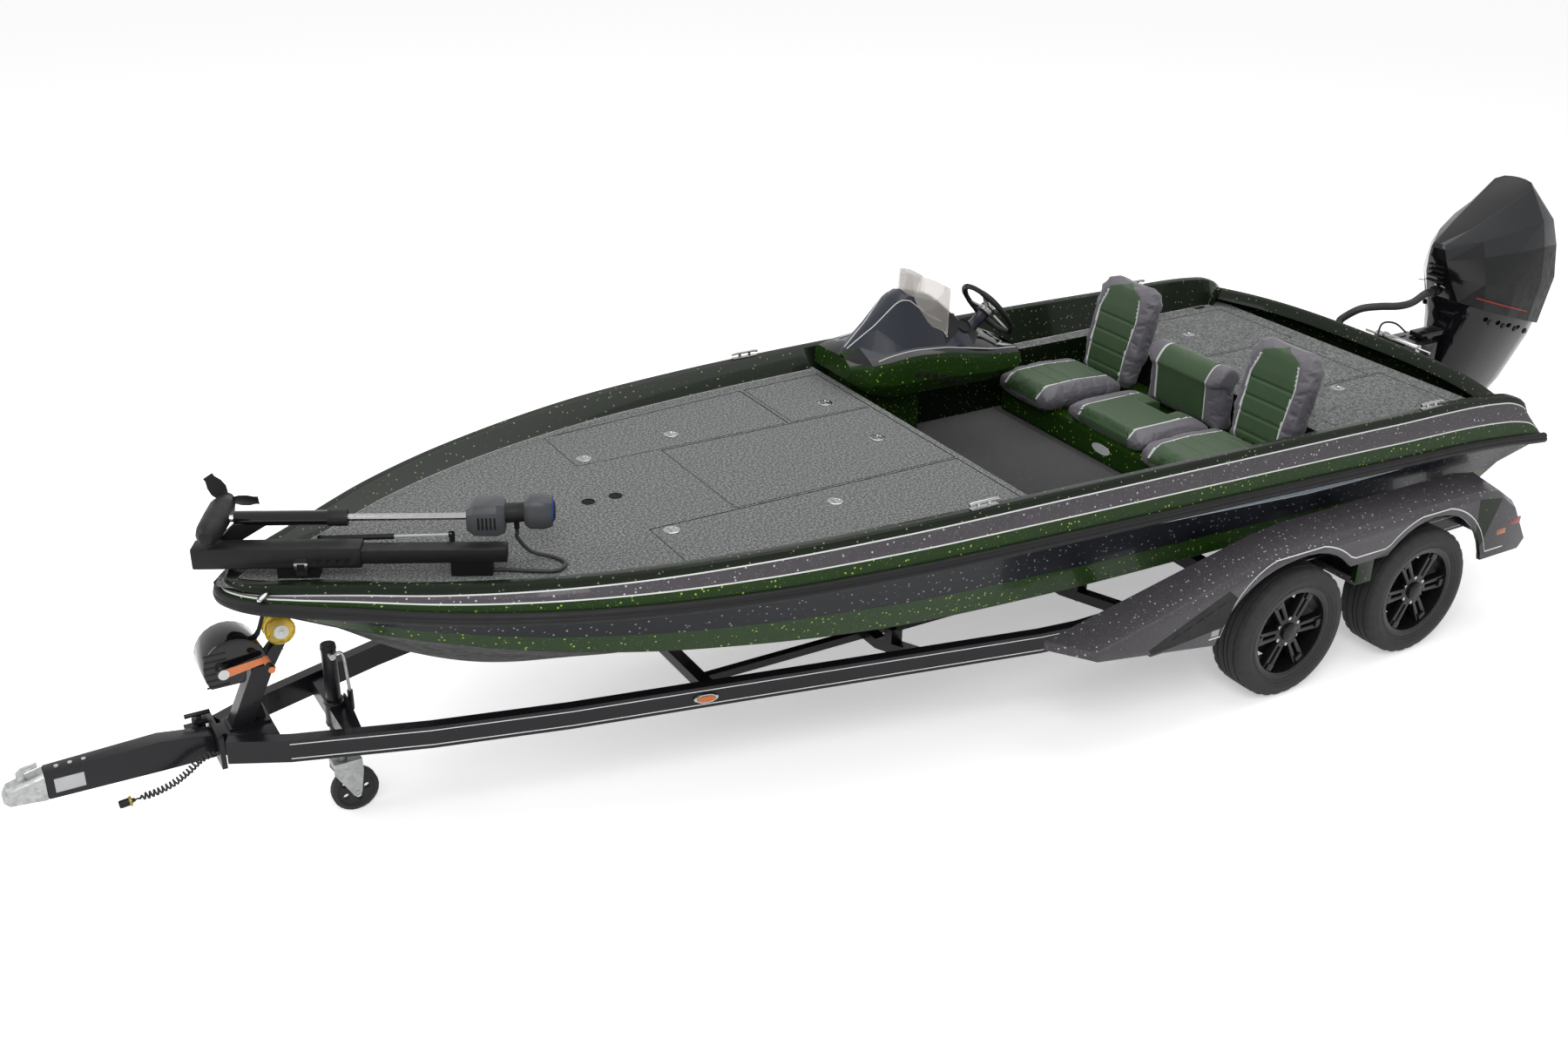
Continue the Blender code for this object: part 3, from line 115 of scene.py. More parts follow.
def studio():
    """A white floor that keeps the shadow, a white world and soft lamps."""
    scene = bpy.context.scene
    scene.view_settings.view_transform = "Standard"
    world = bpy.data.worlds.new("studio")
    scene.world = world
    world.use_nodes = True
    nodes, links = world.node_tree.nodes, world.node_tree.links
    back = nodes["Background"]
    back.inputs["Color"].default_value = (1, 1, 1, 1)
    mix = nodes.new("ShaderNodeMix")
    mix.data_type = "FLOAT"
    links.new(camera_sees(world.node_tree), mix.inputs["Factor"])
    mix.inputs["A"].default_value = WORLD_LIGHT
    mix.inputs["B"].default_value = 1.0
    links.new(mix.outputs["Result"], back.inputs["Strength"])

    bm = bmesh.new()
    bmesh.ops.create_grid(bm, x_segments=1, y_segments=1, size=60.0)
    mesh = bpy.data.meshes.new("floor")
    bm.to_mesh(mesh)
    bm.free()
    floor = bpy.data.objects.new("floor", mesh)
    floor.location.z = -0.002
    scene.collection.objects.link(floor)
    mat = bpy.data.materials.new("floor")
    mat.use_nodes = True
    nodes, links = mat.node_tree.nodes, mat.node_tree.links
    shader = nodes["Principled BSDF"]
    shader.inputs["Base Color"].default_value = (0.95, 0.95, 0.95, 1)
    shader.inputs["Roughness"].default_value = 0.9
    shader.inputs["Specular IOR Level"].default_value = 0.0
    glow = nodes.new("ShaderNodeEmission")
    glow.inputs["Strength"].default_value = FLOOR_GLOW
    lit = nodes.new("ShaderNodeAddShader")
    seen = nodes.new("ShaderNodeMixShader")
    links.new(shader.outputs[0], lit.inputs[0])
    links.new(glow.outputs[0], lit.inputs[1])
    links.new(camera_sees(mat.node_tree), seen.inputs[0])
    links.new(shader.outputs[0], seen.inputs[1])
    links.new(lit.outputs[0], seen.inputs[2])
    links.new(seen.outputs[0], nodes["Material Output"].inputs["Surface"])
    mesh.materials.append(mat)

    for name, place, aim, size, power in LAMPS:
        data = bpy.data.lights.new(name, "AREA")
        data.shape = "SQUARE"
        data.size = size
        data.energy = power
        obj = bpy.data.objects.new(name, data)
        obj.location = place
        obj.rotation_euler = (Vector(aim) - Vector(place)).to_track_quat("-Z", "Y").to_euler()
        scene.collection.objects.link(obj)


WORLD_LIGHT = 0.55
FLOOR_GLOW = 0.42
LAMPS = (("key", (-5.5, -7.0, 8.5), (0, 0, 0.5), 5.0, 560),
         ("over", (1.5, 1.0, 9.0), (0, 0, 0.5), 8.0, 420),
         ("bow", (-9.0, 2.5, 5.0), (-2, 0, 0.8), 4.0, 160))


# Materials
class Surface:
    """A material with its Principled shader, built up with short calls."""

    def __init__(self, name, colour, rough=0.5, metal=0.0, coat=0.0, **sockets):
        self.mat = bpy.data.materials.new(name)
        self.mat.use_nodes = True
        self.nodes, self.links = self.mat.node_tree.nodes, self.mat.node_tree.links
        self.shader = self.nodes["Principled BSDF"]
        self.set("Base Color", (*colour, 1.0))
        self.set("Roughness", rough)
        self.set("Metallic", metal)
        self.set("Specular IOR Level", 0.2)
        self.set("Coat Weight", coat)
        for socket, value in sockets.items():
            self.set(socket.replace("_", " "), value)
        self.place = self.nodes.new("ShaderNodeTexCoord").outputs["Object"]

    def set(self, socket, value):
        self.shader.inputs[socket].default_value = value

    def node(self, kind, **values):
        made = self.nodes.new(kind)
        for key, value in values.items():
            if hasattr(made, key):
                setattr(made, key, value)
            else:
                made.inputs[key.replace("_", " ")].default_value = value
        return made

    def noise(self, scale, detail=3.0, rough=0.6):
        made = self.node("ShaderNodeTexNoise", Scale=scale, Detail=detail, Roughness=rough)
        self.links.new(self.place, made.inputs["Vector"])
        return made.outputs["Fac"]

    def cells(self, scale, feature="F1"):
        made = self.node("ShaderNodeTexVoronoi", feature=feature, Scale=scale)
        self.links.new(self.place, made.inputs["Vector"])
        return made

    def ramp(self, source, *stops):
        """Map a value to colours (or greys) given as (position, colour)."""
        made = self.nodes.new("ShaderNodeValToRGB")
        points = made.color_ramp.elements
        while len(points) < len(stops):
            points.new(0.5)
        for point, (at, colour) in zip(points, stops):
            point.position = at
            point.color = (*colour, 1.0) if isinstance(colour, tuple) else (colour, colour, colour, 1.0)
        self.links.new(source, made.inputs["Fac"])
        return made.outputs["Color"]

    def mix(self, factor, a, b):
        """Blend two colours or colour outputs by a factor output or number."""
        made = self.nodes.new("ShaderNodeMix")
        made.data_type = "RGBA"
        for socket, value in ((made.inputs["Factor"], factor), (made.inputs[6], a), (made.inputs[7], b)):
            if hasattr(value, "is_output"):
                self.links.new(value, socket)
            elif isinstance(value, tuple):
                socket.default_value = (*value, 1.0)
            else:
                socket.default_value = value
        return made.outputs[2]

    def link(self, source, socket):
        self.links.new(source, self.shader.inputs[socket])
        return self

    def bump(self, height, strength, distance=0.001):
        made = self.node("ShaderNodeBump", Strength=strength, Distance=distance)
        self.links.new(height, made.inputs["Height"])
        before = self.shader.inputs["Normal"].links
        if before:
            self.links.new(before[0].from_socket, made.inputs["Normal"])
        self.links.new(made.outputs["Normal"], self.shader.inputs["Normal"])
        return self


def flake(name, base, glint, scale=330.0, share=0.10):
    """Clear-coated gelcoat with metal flakes in it."""
    s = Surface(name, base, rough=0.35, coat=0.14, Specular_IOR_Level=0.12)
    s.set("Coat Roughness", 0.04)
    cells = s.cells(scale)
    bright = s.ramp(cells.outputs["Color"], (1.0 - share, 0.0), (1.0 - share * 0.6, 1.0))
    near = s.ramp(cells.outputs["Distance"], (0.25, 1.0), (0.42, 0.0))
    both = s.node("ShaderNodeMix", data_type="RGBA", blend_type="MULTIPLY")
    both.inputs["Factor"].default_value = 1.0
    s.links.new(bright, both.inputs[6])
    s.links.new(near, both.inputs[7])
    tone = s.mix(s.noise(14.0), tuple(c * 0.82 for c in base), tuple(min(1.0, c * 1.18) for c in base))
    # a second, sparser layer whose flakes are large enough to read as stars from a distance
    stars = s.cells(44.0)
    lit = s.ramp(stars.outputs["Color"], (0.46, 0.0), (0.54, 1.0))
    core = s.ramp(stars.outputs["Distance"], (0.13, 1.0), (0.22, 0.0))
    star = s.node("ShaderNodeMix", data_type="RGBA", blend_type="MULTIPLY")
    star.inputs["Factor"].default_value = 1.0
    s.links.new(lit, star.inputs[6])
    s.links.new(core, star.inputs[7])
    fine = s.mix(both.outputs[2], tone, glint)
    s.link(s.mix(star.outputs[2], fine, tuple(c * 0.8 for c in glint)), "Base Color")
    return s.mat


def carpet(name, base, scale=95.0):
    """Short-pile marine carpet, salt and pepper."""
    s = Surface(name, base, rough=0.95, Sheen_Weight=0.25, Specular_IOR_Level=0.15)
    fleck = s.ramp(s.noise(scale, 2.0, 0.8), (0.38, tuple(c * 0.30 for c in base)),
                   (0.50, base), (0.64, tuple(min(1, c * 2.6) for c in base)))
    s.link(s.mix(s.ramp(s.noise(5.0), (0.35, 0.10), (0.7, 0.0)), fleck, tuple(c * 0.75 for c in base)),
           "Base Color")
    s.bump(s.noise(scale * 1.3, 2.0, 0.9), 0.6, 0.002)
    s.bump(s.noise(30.0), 0.15, 0.004)
    return s.mat


def plastic(name, colour, rough=0.5, grain=600.0, strength=0.12, coat=0.0):
    """Moulded plastic or powder coat: fine grain, slight tone and gloss changes."""
    s = Surface(name, colour, rough=rough, coat=coat)
    s.link(s.mix(s.noise(9.0), tuple(c * 0.85 for c in colour), tuple(min(1, c * 1.15) for c in colour)),
           "Base Color")
    s.link(s.ramp(s.noise(22.0), (0.3, rough * 0.85), (0.7, min(1.0, rough * 1.2))), "Roughness")
    s.bump(s.noise(grain, 2.0), strength, 0.0006)
    return s.mat


def metal(name, colour, rough=0.3, blotch=0.0, scale=60.0):
    """Bare, plated or polished metal; blotch gives galvanising's spangle."""
    s = Surface(name, colour, rough=rough, metal=1.0)
    low = tuple(c * (1 - 0.10 - blotch) for c in colour)
    high = tuple(min(1, c * (1.05 + blotch)) for c in colour)
    s.link(s.mix(s.cells(scale).outputs["Color"] if blotch else s.noise(scale), low, high), "Base Color")
    s.link(s.ramp(s.noise(35.0), (0.3, rough * 0.7), (0.75, rough * 1.35)), "Roughness")
    return s.mat


def rubber(name, colour=(0.022, 0.022, 0.023), rough=0.75):
    s = Surface(name, colour, rough=rough, Specular_IOR_Level=0.35)
    s.link(s.mix(s.noise(18.0), tuple(c * 0.8 for c in colour), tuple(c * 1.6 for c in colour)), "Base Color")
    s.bump(s.noise(500.0), 0.10, 0.0005)
    return s.mat


def vinyl(name, colour, weave=900.0):
    """Marine upholstery vinyl with a fine leather grain."""
    s = Surface(name, colour, rough=0.5, Sheen_Weight=0.15, Specular_IOR_Level=0.4)
    s.link(s.mix(s.noise(12.0), tuple(c * 0.82 for c in colour), tuple(min(1, c * 1.2) for c in colour)),
           "Base Color")
    s.bump(s.cells(weave).outputs["Distance"], 0.25, 0.0006)
    s.bump(s.noise(45.0), 0.12, 0.002)
    return s.mat


def glassy(name, colour, rough=0.05, alpha=0.5):
    """Tinted clear plastic."""
    s = Surface(name, colour, rough=rough, coat=0.5)
    s.set("Transmission Weight", 0.6)
    s.set("IOR", 1.45)
    s.set("Alpha", alpha)
    s.link(s.mix(s.noise(3.0), tuple(c * 0.95 for c in colour), colour), "Base Color")
    return s.mat


M = {
    "green": flake("green flake", (0.009, 0.030, 0.003), (0.42, 0.55, 0.10), share=0.13),
    "deep_green": flake("deep green flake", (0.003, 0.010, 0.002), (0.22, 0.32, 0.08), share=0.07),
    "charcoal": flake("charcoal flake", (0.068, 0.062, 0.070), (0.62, 0.60, 0.63), share=0.16),
    "navy": flake("navy flake", (0.0020, 0.0030, 0.0060), (0.34, 0.38, 0.42), scale=240.0, share=0.05),
    "crest": flake("crest green", (0.0040, 0.0080, 0.0030), (0.20, 0.26, 0.11), share=0.05),
    "ice": flake("ice flake", (0.24, 0.29, 0.33), (0.80, 0.88, 0.95), share=0.20),
    "stripe": plastic("pinstripe", (0.66, 0.68, 0.66), rough=0.3, strength=0.01, coat=0.5),
    "bottom": plastic("bottom gelcoat", (0.002, 0.003, 0.002), rough=0.60, coat=0.0, strength=0.02),
    "carpet": carpet("deck carpet", (0.090, 0.093, 0.092)),
    "mat": carpet("helm mat", (0.018, 0.018, 0.019), scale=260.0),
    "bunk": carpet("bunk carpet", (0.018, 0.018, 0.019), scale=300.0),
    "rail": plastic("rub rail vinyl", (0.010, 0.010, 0.011), rough=0.45),
    "black": plastic("black plastic", (0.010, 0.010, 0.011), rough=0.5),
    "gloss": plastic("gloss black", (0.005, 0.005, 0.006), rough=0.10, strength=0.02, coat=0.3),
    "frame": plastic("trailer coat", (0.008, 0.008, 0.010), rough=0.30, grain=300.0, strength=0.05,
                     coat=0.08),
    "zinc": metal("zinc plate", (0.36, 0.37, 0.365), rough=0.48, blotch=0.08),
    "chrome": metal("chrome", (0.38, 0.38, 0.38), rough=0.16),
    "steel": metal("stainless steel", (0.40, 0.40, 0.395), rough=0.26),
    "tyre": rubber("tyre rubber"),
    "rim": plastic("rim coat", (0.007, 0.007, 0.008), rough=0.24, coat=0.15, strength=0.03),
    "roller": glassy("roller polymer", (0.85, 0.60, 0.01), rough=0.12, alpha=0.92),
    "hub": plastic("white nylon", (0.70, 0.70, 0.68), rough=0.35, strength=0.02),
    "vinyl_green": vinyl("green vinyl", (0.016, 0.046, 0.011)),
    "vinyl_grey": vinyl("grey vinyl", (0.090, 0.085, 0.098)),
    "piping": vinyl("silver piping", (0.46, 0.47, 0.47), weave=600.0),
    "smoke": glassy("smoked screen", (0.62, 0.58, 0.54), alpha=0.55),
    "cowl": plastic("cowl coat", (0.009, 0.009, 0.010), rough=0.20, coat=0.25, strength=0.03),
    "cowl_grey": plastic("cowl panel", (0.020, 0.021, 0.023), rough=0.36, coat=0.12, strength=0.04),
    "cowl_dark": plastic("cowl side panel", (0.013, 0.0135, 0.0145), rough=0.5, strength=0.05),
    "red": plastic("red trim", (0.45, 0.008, 0.008), rough=0.35, strength=0.02, coat=0.3),
    "amber": glassy("amber lens", (0.85, 0.20, 0.005), rough=0.15, alpha=0.97),
    "red_lens": glassy("red lens", (0.55, 0.006, 0.006), rough=0.15, alpha=0.97),
    "clear_lens": glassy("clear lens", (0.80, 0.82, 0.82), rough=0.10, alpha=0.85),
    "silver": plastic("silver paint", (0.42, 0.43, 0.44), rough=0.30, coat=0.2, strength=0.02),
    "panel": plastic("cowl panel navy", (0.014, 0.017, 0.026), rough=0.30, coat=0.15, strength=0.03),
    "troll_grey": plastic("trolling motor grey", (0.050, 0.053, 0.058), rough=0.38, strength=0.05),
    "blue": plastic("blue ring", (0.02, 0.09, 0.42), rough=0.3, strength=0.02),
    "strap": plastic("webbing", (0.016, 0.016, 0.017), rough=0.85, grain=900.0, strength=0.5),
    "orange": plastic("orange grip", (0.58, 0.19, 0.08), rough=0.45, strength=0.03),
    "cord": rubber("cord jacket", (0.020, 0.020, 0.021), rough=0.55),
    # painted shade: a flat near-black finish laid on holes, slots, louvres and hollows, which look dark there
    # only from shade
    "dark": plastic("recess", (0.004, 0.004, 0.004), rough=0.8, strength=0.05),
}

# Sizes of the forms, in the source's frame
# Fits shared by all pieces
GAP = 0.0003                 # clearance between pieces that touch
MERGE = 0.00005              # welding distance for turned shapes

# Boat: deck levels and walls
FRONT_DECK_Z = 1.20
AFT_DECK_Z = 1.10
DECK_AFT_X = -1.80           # aft edge of the front deck
AFT_DECK_X = 0.10            # forward edge of the aft deck
TRANSOM_X = 1.285            # aft face of the pad that carries the outboard
PAD_TOP_Z = 0.940
COCKPIT_HALF_WIDTH = 0.90
COCKPIT_FLOOR_Z = 0.78
SPLASH_BOW = 0.162           # how far the splash wall bows aft at the centre, times half breadth cubed
SOLE_Z = COCKPIT_FLOOR_Z + GAP   # what stands on the cockpit floor starts here

# Trailer
WHEEL_X = 0.44               # axle stations, fore and aft of X = 0
TYRE_RADIUS = 0.340
TYRE_WIDTH = 0.225
TYRE_OUTER_Y = 1.287
RIM_RADIUS = 0.245
WHEEL_STEPS = 30             # facets round the tyre and round the rim inside it
FRAME_Z = 0.455              # underside of the side rails
RAIL_HEIGHT = 0.102
RAIL_WIDTH = 0.051
FENDER_OUTER_Y = 1.289
FENDER_INNER_Y = 1.088
FENDER_WALL = 0.022
ARCH_RADIUS = 0.430
FENDER_TOP_Z = TYRE_RADIUS + ARCH_RADIUS + 0.048   # at the outer edge
FENDER_CHAMFER = 0.030
FENDER_CROWN = 0.040         # how much higher the inner edge is
FENDER_LOW_Z = 0.430
SKIRT_Z = 0.635              # lower edge of the skirt between the wheels
STEP_WIDTH = 0.110           # metal step that hangs between the wheels
ARCH_FLARE = 0.120           # how far the front arch opens forward at its foot
TONGUE_HINGE_X = -5.225
TONGUE_HINGE_Y = 0.085
LUG_RADIUS = 0.024           # rounded eye of the tongue about its hinge pin
HINGE_CLEARANCE = 0.006      # between the hinge's plates and the tongue that swings between them
HINGE_PLATE = 0.014
COUPLER_TIP_X = -5.985

# Winch stand
WINCH_X = -5.085             # centre of the winch cover's curve
WINCH_Z = 0.865
WINCH_RADIUS = 0.125
ROLLER_X = -4.887
ROLLER_Z = 0.950
ROLLER_RADIUS = 0.061

# Jack
JACK_X = -4.700
JACK_TUBE_RADIUS = 0.031
JACK_LEG_RADIUS = 0.0255
JACK_FIT = 0.0005
CASTER_RADIUS = 0.1016
CASTER_TRAIL = 0.045
CASTER_HOLES = 5

# Outboard motor
MOTOR_X = 1.640              # tilt tube
MOTOR_TILT_Z = 1.045
STEER_X = 1.735              # swivel axis
SWIVEL_PIN_RADIUS = 0.020
PROP_SHAFT_RADIUS = 0.014
PROP_Z = 0.340
PROP_RADIUS = 0.185
COWL_SEAM_X = 1.865          # the seam below the cowl starts here and falls towards the stern
COWL_SEAM_Z = 1.315
COWL_SEAM_SLOPE = 0.300

# Trolling motor, laid along the port bow
TROLL_PIVOT = Vector((-5.060, 0.165, 1.285))
TROLL_HEADING = math.radians(-27.0)
TROLL_SHAFT_RISE = 0.115     # the shaft's axis above the pivot

# Helm
HELM_X = -0.913              # on the CAD wheel's own axis
HELM_Y = COCKPIT_HALF_WIDTH - 0.240
HELM_Z = 1.472
HELM_WHEEL_RADIUS = 0.165
HELM_RAKE = math.radians(38.0)
SCREEN_THICKNESS = 0.005
CONSOLE_WIDTH = 0.470
HUMP_HALF_WIDTH = 0.170      # of the raised cowl in front of the driver

# Seats
SEAT_BOX_X = -0.620
SEAT_BOX_TOP = 0.930
SEAT_BOX_MARGIN = 0.040      # to the cockpit's sides, and from there to the seats
SEAT_WIDTH = 0.480
SEAT_BACK_X = -0.095
SEAT_RAKE = math.radians(14.0)
CUSHION_BOLSTER = 0.022      # how much the cushion's sides stand up
BACK_BOLSTER = 0.035         # how far the back's sides reach forward

# Cords
HOSE_RADIUS = 0.024
TROLL_CABLE_RADIUS = 0.008

Rib = namedtuple("Rib", "x inset low shoulder ridge")
CONSOLE_RIBS = [
    Rib(-1.830, 0.130, 1.260, 1.360, 1.380),
    Rib(-1.760, 0.020, 1.200, 1.380, 1.440),
    Rib(-1.660, 0.000, 1.175, 1.390, 1.520),
    Rib(-1.550, 0.000, 1.165, 1.400, 1.635),
    Rib(-1.480, 0.000, 1.165, 1.400, 1.668),
    Rib(-1.300, 0.000, 1.160, 1.385, 1.615),
    Rib(-1.120, 0.000, 1.158, 1.350, 1.460),
    Rib(-1.020, 0.000, 1.155, 1.330, 1.400),
    Rib(-0.860, 0.000, 1.180, 1.315, 1.330),
    Rib(-0.830, 0.020, 1.200, 1.300, 1.310),
]

# Seat forms, from (x, share of the width, underside, top) and (height, share of the width, half depth)
CUSHION_RIBS = [(-0.110, 0.70, 0.030, 0.075), (-0.095, 0.88, 0.012, 0.105), (-0.040, 0.97, 0.0, 0.125),
                (0.170, 1.00, 0.0, 0.130), (0.400, 0.97, 0.0, 0.112), (0.452, 0.92, 0.004, 0.095)]
CENTRE_RIBS = [(-0.030, 0.80, 0.030, 0.060), (-0.010, 0.95, 0.010, 0.090), (0.050, 1.00, 0.0, 0.100),
               (0.440, 1.00, 0.0, 0.100), (0.475, 0.95, 0.010, 0.085)]
BACK_RIBS = [(0.0, 0.70, 0.040), (0.040, 0.86, 0.055), (0.200, 0.98, 0.065), (0.430, 1.00, 0.062),
             (0.520, 0.97, 0.055), (0.575, 0.84, 0.045), (0.600, 0.62, 0.028)]

# Outboard's casing below the seam: front, back, half width, and heights at front and back
LEG_RIBS = [(1.885, 2.600, 0.215, 1.200, 1.020), (1.880, 2.560, 0.165, 0.980, 0.890),
            (1.880, 2.500, 0.115, 0.780, 0.740), (1.880, 2.400, 0.070, 0.640, 0.620),
            (1.880, 2.270, 0.048, 0.560, 0.560), (1.880, 2.225, 0.040, 0.520, 0.520),
            (1.865, 2.215, 0.034, 0.345, 0.345)]

STERN_TAIL_X = 1.336


# Solid modelling helpers
def new_object(name, data):
    """A working object in the scene, which baked() removes again."""
    obj = bpy.data.objects.new(name, data)
    bpy.context.scene.collection.objects.link(obj)
    return obj


def mesh_from(bm, name, smooth=None):
    """Turn a bmesh into a mesh with its faces pointing out."""
    bmesh.ops.recalc_face_normals(bm, faces=bm.faces)
    mesh = bpy.data.meshes.new(name)
    bm.to_mesh(mesh)
    bm.free()
    if smooth:
        mesh.shade_smooth()
        mesh.set_sharp_from_angle(angle=math.radians(smooth))
    return mesh


def box_mesh(name, size, centre=(0, 0, 0)):
    bm = bmesh.new()
    bmesh.ops.create_cube(bm, size=1.0)
    bmesh.ops.scale(bm, vec=Vector(size), verts=bm.verts)
    bmesh.ops.translate(bm, vec=Vector(centre), verts=bm.verts)
    return mesh_from(bm, name)


def span_box(name, low, high):
    """A box given by its lowest and highest corners."""
    size = [b - a for a, b in zip(low, high)]
    centre = [(a + b) / 2 for a, b in zip(low, high)]
    return box_mesh(name, size, centre)


def rod_mesh(name, start, end, radius, sides=20, end_radius=None):
    """A solid round bar, or a cone, between two points."""
    start, end = Vector(start), Vector(end)
    bm = bmesh.new()
    length = (end - start).length
    bmesh.ops.create_cone(bm, cap_ends=True, segments=sides, radius1=radius,
                          radius2=radius if end_radius is None else end_radius, depth=length)
    turn = (end - start).to_track_quat("Z", "Y").to_matrix().to_4x4()
    bmesh.ops.transform(bm, matrix=Matrix.Translation((start + end) / 2) @ turn, verts=bm.verts)
    return mesh_from(bm, name, smooth=40)


def prism_mesh(name, outline, low, high, axis="Y"):
    """A flat outline, drawn as a filled curve and extruded from low to high along one axis."""
    curve = bpy.data.curves.new(name, "CURVE")
    curve.dimensions = "2D"
    curve.fill_mode = "BOTH"
    curve.extrude = (high - low) / 2
    spline = curve.splines.new("POLY")
    spline.points.add(len(outline) - 1)
    for knot, (a, b) in zip(spline.points, outline):
        knot.co = (a, b, 0.0, 1.0)
    spline.use_cyclic_u = True
    flat = baked(new_object(name + "_curve", curve), name)
    middle = (low + high) / 2
    place = {"Y": lambda co: (co.x, co.z + middle, co.y), "Z": lambda co: (co.x, co.y, co.z + middle),
             "X": lambda co: (co.z + middle, co.x, co.y)}[axis]
    bm = bmesh.new()
    bm.from_mesh(flat)
    for vert in bm.verts:
        vert.co = place(vert.co.copy())
    bmesh.ops.remove_doubles(bm, verts=bm.verts, dist=MERGE)
    bmesh.ops.dissolve_limit(bm, angle_limit=math.radians(0.1), verts=bm.verts, edges=bm.edges)
    return mesh_from(bm, name)


def cap_ring(bm, ring):
    """Close a ring that is the same on both sides of the boat with level strips."""
    count = len(ring)
    pointed = 1 if abs(ring[0].co.y) < MERGE else 0
    for i in range((count + pointed) // 2):
        strip = [ring[i], ring[i + 1], ring[(count - i - 2 + pointed) % count],
                 ring[(count - i - 1 + pointed) % count]]
        corners = []
        for vert in strip:
            if vert not in corners:
                corners.append(vert)
        if len(corners) > 2:
            bm.faces.new(corners)


def join_rings(bm, rings, strips=False):
    """Skin closed rings of equal length one to the next and cap both ends."""
    count = len(rings[0])
    for first, second in zip(rings, rings[1:]):
        for i in range(count):
            j = (i + 1) % count
            bm.faces.new((first[i], first[j], second[j], second[i]))
    for ring in (rings[0], rings[-1]):
        if strips:
            cap_ring(bm, ring)
        else:
            bm.faces.new(ring)


def loft_mesh(name, rings, smooth=None, strips=False):
    """A closed body through rings of points, in flat triangles."""
    bm = bmesh.new()
    join_rings(bm, [[bm.verts.new(p) for p in ring] for ring in rings], strips)
    bmesh.ops.triangulate(bm, faces=bm.faces)
    return mesh_from(bm, name, smooth)


def oval(half_x, half_y, count, power=1.0):
    """Points round an oval; a power below one squares it."""
    points = []
    for k in range(count):
        c, s = math.cos(2 * math.pi * k / count), math.sin(2 * math.pi * k / count)
        x, y = math.copysign(abs(c) ** power, c), math.copysign(abs(s) ** power, s)
        points.append((half_x * x, half_y * y))
    return points


def arc(centre, radius, start, end, steps):
    """Points along an arc in a plane, with its angles in degrees."""
    points = []
    for k in range(steps + 1):
        angle = math.radians(start + (end - start) * k / steps)
        points.append((centre[0] + radius * math.cos(angle), centre[1] + radius * math.sin(angle)))
    return points


def turned_mesh(name, profile, steps=32):
    """A profile of (radius, height) turned about Z, closed on itself or at the axis."""
    bm = bmesh.new()
    verts = [bm.verts.new((r, 0, z)) for r, z in profile]
    closed = profile[0][0] > 0
    for a, b in zip(verts, verts[1:] + (verts[:1] if closed else [])):
        bm.edges.new((a, b))
    mesh = bpy.data.meshes.new(name)
    bm.to_mesh(mesh)
    bm.free()
    obj = new_object(name + "_profile", mesh)
    screw = obj.modifiers.new("turn", "SCREW")
    screw.axis = "Z"
    screw.steps = steps
    screw.render_steps = steps
    screw.use_merge_vertices = True
    screw.merge_threshold = MERGE
    result = baked(obj, name)
    bm = bmesh.new()
    bm.from_mesh(result)
    bmesh.ops.remove_doubles(bm, verts=bm.verts, dist=MERGE)
    return mesh_from(bm, name, smooth=35)


def tube_mesh(name, points, radius, resolution=2):
    """A round tube through the points, closed at both ends."""
    curve = bpy.data.curves.new(name, "CURVE")
    curve.dimensions = "3D"
    curve.bevel_depth = radius
    curve.bevel_resolution = resolution
    curve.use_fill_caps = True
    spline = curve.splines.new("POLY")
    spline.points.add(len(points) - 1)
    for knot, point in zip(spline.points, points):
        knot.co = (*point, 1.0)
    obj = new_object(name + "_curve", curve)
    result = baked(obj, name)
    bm = bmesh.new()
    bm.from_mesh(result)
    bmesh.ops.remove_doubles(bm, verts=bm.verts, dist=MERGE)
    return mesh_from(bm, name, smooth=50)


def smooth_route(points, per_span=6):
    """Points on a smooth curve through the route's own points."""
    pts = [Vector(p) for p in points]
    pts = [pts[0] * 2 - pts[1]] + pts + [pts[-1] * 2 - pts[-2]]
    route = []
    for i in range(1, len(pts) - 2):
        p0, p1, p2, p3 = pts[i - 1:i + 3]
        for k in range(per_span):
            t = k / per_span
            route.append(0.5 * (2 * p1 + (p2 - p0) * t + (2 * p0 - 5 * p1 + 4 * p2 - p3) * t * t
                                + (3 * p1 - p0 - 3 * p2 + p3) * t ** 3))
    route.append(pts[-2])
    return route


def baked(obj, name):
    """Evaluate an object's modifiers into a new mesh and remove the object."""
    bpy.context.view_layer.update()
    depsgraph = bpy.context.evaluated_depsgraph_get()
    mesh = bpy.data.meshes.new_from_object(obj.evaluated_get(depsgraph))
    mesh.name = name
    bpy.data.objects.remove(obj, do_unlink=True)
    return mesh


def combine(base, other, operation):
    """Boolean of two meshes that share a frame; returns a new mesh."""
    target = new_object(base.name + "_work", base)
    tool = new_object(other.name + "_tool", other)
    mod = target.modifiers.new(operation.lower(), "BOOLEAN")
    mod.operation = operation
    mod.solver = "EXACT"
    mod.object = tool
    result = baked(target, base.name)
    bpy.data.objects.remove(tool, do_unlink=True)
    return result


def union(base, *others):
    for other in others:
        base = combine(base, other, "UNION")
    return base


def cut(base, *others):
    for other in others:
        base = combine(base, other, "DIFFERENCE")
    return base


def rounded(mesh, width, segments=2, angle=30.0):
    """The mesh with its sharp edges rounded."""
    obj = new_object(mesh.name + "_round", mesh)
    bevel = obj.modifiers.new("round", "BEVEL")
    bevel.width = width
    bevel.segments = segments
    bevel.limit_method = "ANGLE"
    bevel.angle_limit = math.radians(angle)
    return baked(obj, mesh.name)


def moved(mesh, matrix):
    """A copy of a mesh, transformed."""
    copy = mesh.copy()
    copy.transform(matrix)
    if matrix.is_negative:
        copy.flip_normals()
    return copy


